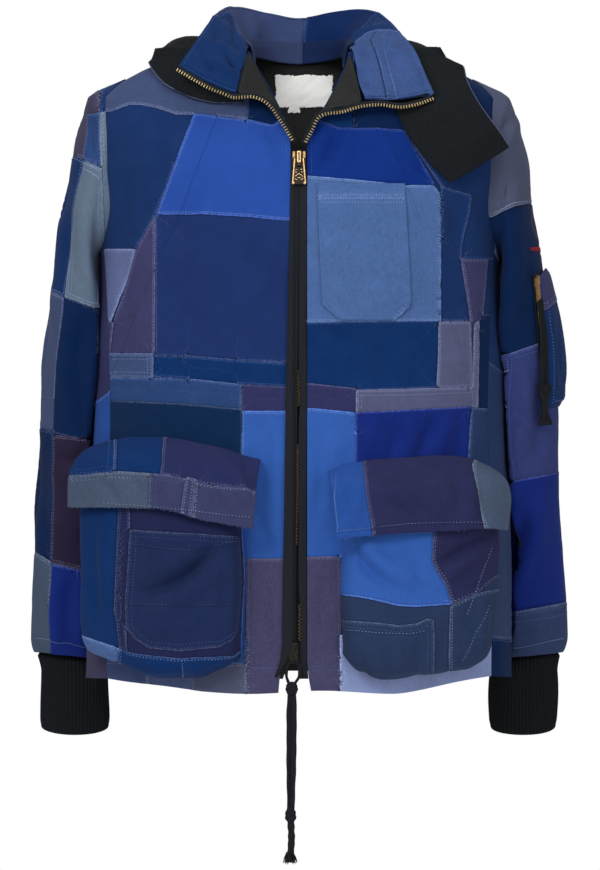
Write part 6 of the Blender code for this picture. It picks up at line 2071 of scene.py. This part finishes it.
Piece("collar", collar_surface, (0, 0, COLLAR_LENGTH, COLLAR_HEIGHT), COLLAR_PATCHES, find=same_place,
      lines=COLLAR_LINES, creases=COLLAR_FOLDS, seed=71, spacing=2.8, wall=2.4, base=-2.7, swell=0.6,
      pucker=0.55, inward=True, view=flat_view).make(
    lining="dark_navy")


# ---------------------------------------------------------------- neck: facings, band, lining

def spaced(table, count):
    """The table's rows read smoothly at even lengths along its first three columns."""
    run = length_along(table[:, :3])
    at = np.linspace(0, run[-1], count)
    return np.stack([smooth(run, table[:, axis], at) for axis in range(table.shape[1])], axis=1)


def waved(grid, height, length, seed):
    """The grid's points moved by soft waves along their normals."""
    along, down = np.gradient(grid, axis=1), np.gradient(grid, axis=0)
    normal = np.cross(along, down)
    normal /= np.maximum(np.linalg.norm(normal, axis=2, keepdims=True), 1e-9)
    waves = ripple(grid.reshape(-1, 3), length, seed).reshape(grid.shape[:2])
    return grid + normal * height * waves[..., None]


def facing_sheet(name, table, roll_line, side):
    """Turned-back inside of a front, from its roll line out to the zip or the collar."""
    rows = spaced(np.concatenate((table, np.zeros((len(table), 0))), axis=1), 40)
    z = rows[:, 0]
    x = column(roll_line, 1, z) + LAP
    y = body_y(x, z, -1) - CLOTH - CURVE_LAP
    roll, outer = np.stack((side * x, y, z), axis=1), rows[:, 1:4]
    grid = np.stack([lerp(roll, outer, share) + (0, -1.2 * share * (1 - share) * 4, 0)
                     for share in np.linspace(0, 1, 16)], axis=1)
    if side > 0:
        grid = grid[:, ::-1]
    grid_sheet(name + "_cloth", name, waved(grid, 0.5, 14.0, 5), 1.2, "facing")


facing_sheet("facing_right", FACING_RIGHT, ROLL_RIGHT, -1)
facing_sheet("facing_left", FACING_LEFT, ROLL_LEFT, 1)


FOOT_OVERLAP = 13.0                          # how far the strip reaches up the collar
NECK_MIDDLE = np.array((0.0, -35.0, 0.0))    # the strip leans in towards this upright line
COLLAR_MIDDLE = 246.0                        # the middle of the back, as a length round the neck
FOOT_END = 10.0                              # the strips stop this short of the front's stations


def collar_foot(name, first, last, material):
    """Strip that carries the back of the collar down over its neck seam."""
    run = np.linspace(first, last, 40)
    rows = []
    for share in np.linspace(0, 1, 14):
        # The upper half lies on the collar's foot; the lower half hangs free below its seam.
        seam = collar_surface(run, np.full(40, max(0.0, FOOT_OVERLAP * (1 - 2 * share))))
        inward = NECK_MIDDLE - seam * (1, 1, 0)
        inward /= np.linalg.norm(inward, axis=1, keepdims=True)
        fall = max(0.0, share - 0.5) * 2
        drop = 14.5 - 4.0 * np.clip(np.abs(seam[:, 0]) / 50.0, 0, 1) ** 2
        drop = (drop + 11.0 * np.clip((-seam[:, 1] - 2.0) / 22.0, 0, 1)) * fall
        rows.append(seam + inward * (2.2 + 3.4 * fall) - drop[:, None] * (0, 0, 1))
    grid = waved(np.array(rows), 0.35, 14.0, 4)[::-1]
    grid_sheet(name, None, grid, 1.0, material)


collar_foot("collar_foot_right", COLLAR_RUN[3] + FOOT_END, COLLAR_MIDDLE, "foot_slate")
collar_foot("collar_foot_left", COLLAR_MIDDLE, COLLAR_RUN[13] - FOOT_END, "foot_navy")

# Where the band's rows lie, as shares of its width.
BAND_SHARES = np.array((0, 0.04, 0.1, 0.18, 0.26, 0.34, 0.42, 0.5,
                        0.58, 0.66, 0.74, 0.82, 0.9, 0.955, 0.985, 1.0))


def rib_band():
    """Ribbed band; the edge that hangs shows the paler cloth that it is backed with."""
    stations = spaced(BAND, 300)
    inner, ridge, outer = stations[:, 0:3], stations[:, 3:6], stations[:, 6:9]
    handle = 2 * ridge - (inner + outer) / 2
    rows = [(1 - share) ** 2 * inner + 2 * share * (1 - share) * handle + share ** 2 * outer
            for share in BAND_SHARES]
    grid = off_body(np.array(rows), CLOTH + 2 * CURVE_LAP + 0.6)
    rib = 0.28 * np.cos(np.arange(grid.shape[1]) * 2 * math.pi / 3)
    normal = np.cross(np.gradient(grid, axis=1), np.gradient(grid, axis=0))
    normal /= np.maximum(np.linalg.norm(normal, axis=2, keepdims=True), 1e-9)
    grid = waved(grid, 1.3, 42.0, 8) + normal * rib[None, :, None]
    grid_sheet("rib_band_knit", "rib_band", grid, 2.0, "rib",
               under="band_back", edge="band_back", edge_rows=1)


rib_band()


def back_lining():
    """The lining seen through the neck; its top rises to the collar's neck seam."""
    across = np.linspace(-1, 1, 60)
    x, z = np.meshgrid(across * 112.0, np.linspace(-90, 8, 40))
    y = body_y(x.ravel(), z.ravel(), 1).reshape(x.shape) - 7.0
    grid = waved(np.stack((x, y, z), axis=2), 0.9, 40.0, 3)
    neck_run = np.interp(across, (-1, 1), (COLLAR_RUN[4], COLLAR_RUN[12]))
    neck_seam = collar_surface(neck_run, np.full(60, 2.0)) + (0, -1.6, 0)
    rise = [lerp(grid[-1], neck_seam, share) for share in np.linspace(0.2, 1, 5)]
    grid = np.concatenate((grid, np.array(rise)))
    grid_sheet("back_lining_cloth", "back_lining", grid, 1.2, "lining")


back_lining()


def cloth_tag(name, centre_x, top, width, height, rough, seed):
    """Plain sewn label: cotton with a torn, uneven edge."""
    chance = np.random.default_rng(seed)
    across, down = np.linspace(-0.5, 0.5, 60), np.linspace(0, 1, 36)
    x, z = np.meshgrid(centre_x + across * width, top - down * height)
    edge_x, edge_z = np.abs(across)[None, :] > 0.499, np.abs(down - 0.5)[:, None] > 0.499
    bent_x = 0.6 * np.sin(down * 9)[:, None] * across[None, :] * 2
    bent_z = 0.9 * np.sin(across * 12 + 1)[None, :] * (0.5 - down)[:, None]
    x = x + edge_x * chance.normal(0, rough, x.shape) + bent_x
    z = z + edge_z * chance.normal(0, rough, z.shape) + bent_z
    y = body_y(x.ravel(), z.ravel(), 1).reshape(x.shape) - 9.6
    grid = np.stack((x, y, z), axis=2)
    grid[..., 1] -= 0.5 * ripple(grid.reshape(-1, 3), 9.0, seed).reshape(x.shape) + 0.3
    grid_sheet(name + "_cloth", name, grid, 0.7, "label")


cloth_tag("neck_label", 5.0, 1.0, 57.0, 32.0, 0.45, 3)
cloth_tag("size_tab", -5.0, -24.5, 11.4, 12.0, 0.0, 4)


# ---------------------------------------------------------------- zips

TEETH_PITCH = 2.8          # of one side; the other side's teeth lie between
# The slit between the closed tapes. Columns: z, its middle's x, half its width.
ZIP_SLIT = np.array((
    (-604, 0.4, 0.5), (-585, 0.2, 0.6), (-560, 0.6, 1.2), (-537, 0.6, 1.1), (-515, -0.4, 0.3),
    (-480, -1.8, 0.3), (-466, -2.8, 1.0), (-440, -2.4, 1.3), (-420, -1.6, 1.1), (-400, -1.4, 1.5),
    (-376, -1.6, 1.2), (-360, -1.2, 0.4), (-336, -0.4, 0.7), (-318, -0.2, 1.5), (-304, -0.6, 1.2),
    (-285, -1.0, 0.5), (-250, -0.6, 0.3), (-200, -0.2, 0.12), (-120, 0, 0.1), (-79, 0, 0.1),
), float)


def slit_at(z, number):
    return smooth(ZIP_SLIT[:, 0], ZIP_SLIT[:, number], z)


def closed_tape(name, side, roll, overlap):
    """Folded tape of one side of the closed zip, from the slider down to the spread foot."""
    z = np.linspace(-603.5, -79.5, 150)
    edge = column(roll, 1, z) - SEAM_GAP - 0.4
    over = np.interp(z, TAPE_OVERLAP[:, 0], TAPE_OVERLAP[:, 1]) * overlap
    outer = edge + over
    inner = np.maximum(side * slit_at(z, 1) + slit_at(z, 2), edge - 7.9 + 0.4 * over)
    rows = []
    for share in np.linspace(0, 1, 15):
        x = side * lerp(outer, inner, share)
        fold = 0.75 * math.sin(math.pi * min(1, share * 1.12)) ** 0.6
        fold = fold + 0.4 * np.sin(z / 31 + 3 * share + side) * share * (1 - share) * 4
        lift = 3.0 * np.clip(over / 3.0, 0, 1) * np.clip((np.abs(x) - edge + 3.5) / 2.5, 0, 1)
        lift = lift + 1.3 * np.clip(over / 3.0, 0, 1) * (1 - share)
        rows.append(np.stack((x, body_y(x, z, -1) - 0.35 - fold - lift, z), axis=1))
    grid = np.stack(rows, axis=1)
    if side > 0:
        grid = grid[:, ::-1]
    grid_sheet(name + "_tape", name, grid, 0.9, "tape")


closed_tape("zip_right", -1, ROLL_RIGHT, 1.0)
closed_tape("zip_left", 1, ROLL_LEFT, 0.0)


def tooth_rows(name, centres, across, along, outward, sizes, material="teeth"):
    """Small chamfered blocks, one at each centre, joined in one mesh."""
    long_size, wide, thick = sizes
    corners = []
    for level, shrink in ((-0.5, 1.0), (0.2, 1.0), (0.5, 0.62)):
        for x, z in ((-0.5, -0.5), (0.5, -0.5), (0.5, 0.5), (-0.5, 0.5)):
            corners.append((x * (1 if level < 0.4 else 0.86), z * shrink, level))
    corners = np.array(corners) * (wide, long_size, thick)
    verts = (centres[:, None, :] + corners[None, :, 0:1] * across[:, None, :]
             + corners[None, :, 1:2] * along[:, None, :] + corners[None, :, 2:3] * outward[:, None, :])
    ring = ((0, 1, 5, 4), (1, 2, 6, 5), (2, 3, 7, 6), (3, 0, 4, 7), (4, 5, 9, 8), (5, 6, 10, 9),
            (6, 7, 11, 10), (7, 4, 8, 11), (8, 9, 10, 11), (3, 2, 1, 0))
    faces = [tuple(12 * tooth + corner for corner in face)
             for tooth in range(len(centres)) for face in ring]
    made = placed(name, new_mesh(name, verts.reshape(-1, 3), faces, material))
    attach(made, "jacket")


def unit(vectors):
    return vectors / np.maximum(np.linalg.norm(vectors, axis=-1, keepdims=True), 1e-9)


def closed_teeth():
    """The meshed teeth under the slit of the closed tapes, in a darker copy of their colour as painted
    shade.
    """
    z = np.arange(-96.0, -566.0, -0.62 * TEETH_PITCH)
    turn = np.where(np.arange(len(z)) % 2 == 0, 1.0, -1.0)
    bare = slit_at(z, 2) > 0.85
    z, turn = z[bare], turn[bare]
    x = slit_at(z, 1) + 0.55 * turn
    y = body_y(x, z, -1) - 0.55
    centres = np.stack((x, y, z), axis=1)
    up = np.tile((0.0, 0.0, 1.0), (len(z), 1))
    normal = body_normal(centres)
    across = unit(np.cross(up, normal))
    along = unit(np.cross(normal, across))
    tooth_rows("zip_teeth_closed", centres, across, along, normal, (0.75, 1.7, 1.2), "teeth_painted_shade")


closed_teeth()


def open_edge(name, side, table):
    """Tape and teeth of one side above the slider, along the open front to the collar's corner."""
    path = spaced(table, 90)
    along = unit(np.gradient(path, axis=0))
    inward = unit(np.cross(along, np.array((0.0, 1.0, 0.0))) * side)
    rows = []
    for share in np.linspace(0, 0.86, 8):
        edge = path + inward * TAPE_WIDTH * (1 - share) + np.array((0, 0.8, 0)) * (1 - share)
        rows.append(edge + np.array((0, -0.35 * math.sin(share * 5), 0)))
    grid = np.stack(rows, axis=1)
    outward = unit(np.cross(np.gradient(grid, axis=0), np.gradient(grid, axis=1)))
    if outward[..., 1].mean() > 0:
        grid = grid[:, ::-1]
    grid_sheet(name + "_tape", name, waved(grid, 0.15, 9.0, 6), 0.8, "tape")
    length = np.linalg.norm(np.diff(path, axis=0), axis=1).sum()
    places = spaced(table, int(length / TEETH_PITCH))[1:]
    step = unit(np.gradient(places, axis=0))
    out = unit(np.cross(step, unit(np.cross(step, np.array((0.0, 1.0, 0.0))) * side)))
    out = out * np.where(out[:, 1:2] > 0, -1, 1)
    across = unit(np.cross(step, out))
    tape_side = unit(np.cross(step, np.array((0.0, 1.0, 0.0))) * side)
    centres = places + tape_side * 1.1 + out * 0.75
    tooth_rows(name + "_teeth", centres, across, step, out, (1.2, 3.3, 2.0))


open_edge("zip_edge_right", -1, TEETH_RIGHT)
open_edge("zip_edge_left", 1, TEETH_LEFT)


# ---------------------------------------------------------------- sleeve pocket

def sleeve_place(number, angle):
    """Points of the left sleeve and their outward normals for ring numbers and angles in degrees."""
    number, turn = np.broadcast_arrays(np.asarray(number, float), np.radians(np.asarray(angle, float)))
    number, turn = number.ravel(), turn.ravel()
    points = sleeve_points(number, turn)
    around = sleeve_points(number, turn + 0.02) - sleeve_points(number, turn - 0.02)
    along = sleeve_points(number + 0.05, turn) - sleeve_points(number - 0.05, turn)
    normal = unit(np.cross(along, around))
    middle = sleeve_points(number, turn + math.pi)
    return points, normal * np.sign(((points - middle) * normal).sum(axis=1))[:, None]


POCKET_RISE = np.array((0.08, 0.7, 0.97, 1.0, 0.97, 0.7, 0.08))
POCKET_RISE_AT = np.array((0, 0.05, 0.25, 0.5, 0.75, 0.95, 1.0))
POCKET_TALL = np.array((0.08, 0.6, 0.9, 1.0, 0.9, 0.08))
POCKET_TALL_AT = np.array((0, 0.06, 0.3, 0.65, 0.92, 1.0))
POCKET_WIDTH, POCKET_LENGTH = 126.0, 124.0


def sleeve_pocket_surface(u, v):
    """Bellows pocket on the left sleeve: u from the back round to the front, v up."""
    across, down = np.asarray(u) / POCKET_WIDTH, 1 - np.asarray(v) / POCKET_LENGTH
    points, normal = sleeve_place(lerp(SLEEVE_POCKET_RINGS[0], SLEEVE_POCKET_RINGS[1], down),
                                  lerp(SLEEVE_POCKET_ANGLES[0], SLEEVE_POCKET_ANGLES[1], across))
    lift = 0.62 * SLEEVE_POCKET_DEPTH * smooth(POCKET_RISE_AT, POCKET_RISE, across)
    lift = lift * smooth(POCKET_TALL_AT, POCKET_TALL, down)
    return points + normal * (CLOTH + CURVE_LAP + lift)[:, None]


SLEEVE_POCKET_PATCHES = (
    ("dark_navy", None, 0, ((0, 0), (126, 0), (126, 124), (0, 124))),
    ("plum", "lilac_thread", 2, ((-5, 96), (131, 92), (131, 130), (-5, 130))),
    ("indigo_purple", "blue_thread", 1, ((-5, -5), (52, -5), (50, 93.5), (-5, 95))),
)
SLEEVE_POCKET_FOLDS = (
    (100, 20, 104, 50, 98, 84, 7, -1.6), (112, 16, 114, 44, 110, 80, 6, 1.4),
    (84, 14, 90, 24, 104, 26, 6, -1.4), (80, 20, 76, 50, 82, 88, 9, 1.5),
    (60, 16, 64, 46, 58, 84, 9, -1.4), (30, 20, 36, 50, 30, 84, 10, 1.5),
    (16, 12, 22, 40, 18, 80, 8, -1.5), (104, 8, 96, 14, 90, 10, 5, 1.2),
)
SLEEVE_POCKET_LINES = (
    ("pale_thread", 0.5, ((121, 4), (121, 92))), ("pale_thread", 0.5, ((5, 4.5), (60, 4.5), (120, 4.5))),
)
Piece("sleeve_pocket", sleeve_pocket_surface, (0, 0, POCKET_WIDTH, POCKET_LENGTH), SLEEVE_POCKET_PATCHES,
      find=same_place, lines=SLEEVE_POCKET_LINES, creases=SLEEVE_POCKET_FOLDS, seed=81, spacing=3.0,
      wall=1.2, swell=1.0, calm=(6, 6, 6, 6), view=flat_view).make(
    )

POCKET_ZIP_ANGLE = SLEEVE_TAPE_ANGLE + 4
POCKET_ZIP_RINGS = (6.42, 8.04)     # first and last ring of its tape
ON_TAPE = CLOTH + 2 * LAP + 1.0 + LAP


def along_pocket_zip(first, last, count, aside, lift):
    """Points beside the sleeve pocket's zip line, so far aside and so high off the sleeve."""
    rings = np.linspace(first, last, count)
    points, normal = sleeve_place(rings, POCKET_ZIP_ANGLE)
    beside, _ = sleeve_place(rings, POCKET_ZIP_ANGLE + 2)
    across = unit(beside - points)
    aside, lift = np.broadcast_to(aside, rings.shape), np.broadcast_to(lift, rings.shape)
    return points + across * aside[:, None] + normal * lift[:, None], across, normal


def pocket_zip():
    """Tape with its slit and teeth, between the sleeve and the pocket's front edge."""
    columns = []
    for share in np.linspace(-1, 1, 9):
        fold = 0.5 * (1 - share ** 2) + 0.35 * abs(share)
        slit = -0.55 * math.exp(-(share / 0.18) ** 2)
        rise = CLOTH + 2 * LAP + fold + slit
        line, _, _ = along_pocket_zip(*POCKET_ZIP_RINGS, 44, share * SLEEVE_TAPE_WIDTH / 2, rise)
        columns.append(line)
    grid_sheet("sleeve_zip_tape_cloth", "sleeve_zip_tape", np.stack(columns, axis=1)[:, ::-1], 0.8,
               "tape")
    centres, across, normal = along_pocket_zip(6.7, 7.95, 40, 0.0, CLOTH + 2 * LAP + 1.25)
    along = unit(np.gradient(centres, axis=0))
    tooth_rows("sleeve_zip_teeth", centres, across, along, normal, (1.0, 2.0, 0.9))


pocket_zip()


def sleeve_bands():
    """The sleeve pocket's ribbon: two bands side by side that end in a wider frayed block."""
    lift = ON_TAPE + SLEEVE_RIBBON_RADIUS
    right, _, normal = along_pocket_zip(7.0, 8.75, 9, np.linspace(-2.6, -3.6, 9), lift)
    left, _, _ = along_pocket_zip(7.0, 8.75, 9, np.linspace(3.0, 4.0, 9), lift + 0.6)
    block, _, _ = along_pocket_zip(8.6, 9.46, 7, 0.4, lift + 0.5)
    made, path, length = flat_ribbon("sleeve_ribbon_block", block, 15.0, 2.6, 0.0, 4, 1.12, normal[4])
    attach(made, "jacket")
    other, _, _ = flat_ribbon("sleeve_ribbon_second", left, 6.4, 1.4, 0.02, 6, 1.0, normal[4])
    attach(other, "jacket")
    band, path, length = flat_ribbon("sleeve_ribbon_first", right, 6.4, 1.5, -0.02, 2, 1.0, normal[4])
    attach(band, "jacket")
    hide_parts("sleeve_ribbon")


sleeve_bands()


# ---------------------------------------------------------------- sliders and tabs

def shown_as(node, *slots):
    """The CAD node keeps its shape and gets better materials."""
    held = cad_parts[node]
    held.data.materials.clear()
    for name in slots:
        held.data.materials.append(materials[name])


def block(name, centre, size, axes, material, body="jacket", round_by=0.3):
    """Small box with softened edges, its axes given as rows, in mm."""
    work = bmesh.new()
    bmesh.ops.create_cube(work, size=1.0)
    bmesh.ops.scale(work, vec=size, verts=work.verts)
    bmesh.ops.bevel(work, geom=work.edges[:], offset=round_by, segments=2, affect="EDGES")
    for vertex in work.verts:
        x, y, z = vertex.co
        place = np.array(centre, float) + x * axes[0] + y * axes[1] + z * axes[2]
        vertex.co = Vector(place.tolist()) * MM
    bmesh.ops.recalc_face_normals(work, faces=work.faces)
    mesh = bpy.data.meshes.new(name)
    work.to_mesh(mesh)
    work.free()
    mesh.materials.append(materials[material])
    made = placed(name, mesh)
    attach(made, body)


shown_as("zip_slider", "dark_metal")
shown_as("lower_slider", "blackened")
shown_as("sleeve_zip_slider", "brass")
shown_as("sleeve_pull_tab", "brass")
shown_as("zip_pull_tab", "tab_ground")

# The main slider's own tilted axes: across, outward and up.
tilt = ZIP_TILT
ACROSS = np.array((1.0, 0.0, 0.0))
OUTWARD = np.array((0.0, -math.cos(tilt), math.sin(tilt)))
UPWARD = np.array((0.0, math.sin(tilt), math.cos(tilt)))
SLIDER_FOOT = np.array((0.0, float(body_y(0.0, SLIDER_Z, -1)) - 1.8 - LAP, SLIDER_Z))
SLIDER_AXES = (ACROSS, OUTWARD, UPWARD)


def on_slider(across, out, up):
    return SLIDER_FOOT + ACROSS * across + OUTWARD * out + UPWARD * up


depth = SLIDER_SIZE[1]
for side in (-1, 1):
    block(f"slider_wing_{'left' if side > 0 else 'right'}", on_slider(side * 5.2, depth + 0.25, 4.6),
          (2.2, 1.0, 6.4), SLIDER_AXES, "brass", round_by=0.4)
block("slider_bridge", on_slider(0, depth + 4.6, 1.6), (3.7, 1.1, 11.5), SLIDER_AXES, "brass_bright",
      round_by=0.45)
block("slider_bridge_groove", on_slider(0, depth + 5.2, 1.6), (1.3, 0.5, 8.6), SLIDER_AXES, "dark_metal",
      round_by=0.15)

# The tab hangs from the pin and rides the tab's own body.
PIN_OUT = depth + PIN_OFF_BODY
tab_share = (TAB_END_WIDTH - TAB_TOP_WIDTH) / 2 / (TAB_LENGTH + PIN_RADIUS)
for side in (-1, 1):
    lean = math.atan(tab_share) * side
    rail_up = UPWARD * math.cos(lean) - ACROSS * math.sin(lean)
    rail_across = ACROSS * math.cos(lean) + UPWARD * math.sin(lean)
    word = "left" if side > 0 else "right"
    aside = side * (TAB_TOP_WIDTH + TAB_END_WIDTH) / 4 - side * 0.5
    middle = on_slider(aside, PIN_OUT + 0.75, -TAB_LENGTH / 2 + 0.5)
    rail_axes = (rail_across, OUTWARD, rail_up)
    block(f"tab_rail_{word}", middle, (1.1, 0.9, TAB_LENGTH + 0.6), rail_axes, "brass_bright",
          body="pull_tab", round_by=0.35)
    foot = on_slider(side * (TAB_END_WIDTH / 2 - 1.5), PIN_OUT + 0.55, -TAB_LENGTH + 1.3)
    block(f"tab_foot_{word}", foot, (2.8, 1.3, 2.8), SLIDER_AXES, "brass_bright", body="pull_tab",
          round_by=0.6)
# Raised bars and dots on the tab. Columns: x, z, length, width, turn.
RELIEF = (
    (-2.6, -11.2, 1.5, 0.6, 0.0), (2.4, -11.0, 1.6, 0.6, 0.0), (-2.9, -13.8, 1.3, 0.6, 0.0),
    (2.8, -13.6, 1.2, 0.6, 0.1), (-2.0, -16.6, 5.0, 0.55, 0.7), (1.8, -16.6, 5.2, 0.55, -0.7),
    (0.0, -19.6, 3.2, 0.6, 0.0), (-3.0, -21.2, 2.6, 0.55, -0.6), (3.0, -21.0, 2.4, 0.55, 0.6),
)
for number, (x, z, long_size, wide, turned) in enumerate(RELIEF):
    turned_across = ACROSS * math.cos(turned) + UPWARD * math.sin(turned)
    turned_up = UPWARD * math.cos(turned) - ACROSS * math.sin(turned)
    block(f"tab_relief_{number}", on_slider(x, PIN_OUT + 0.9, z), (long_size, 0.45, wide),
          (turned_across, OUTWARD, turned_up), "brass_bright", body="pull_tab", round_by=0.12)
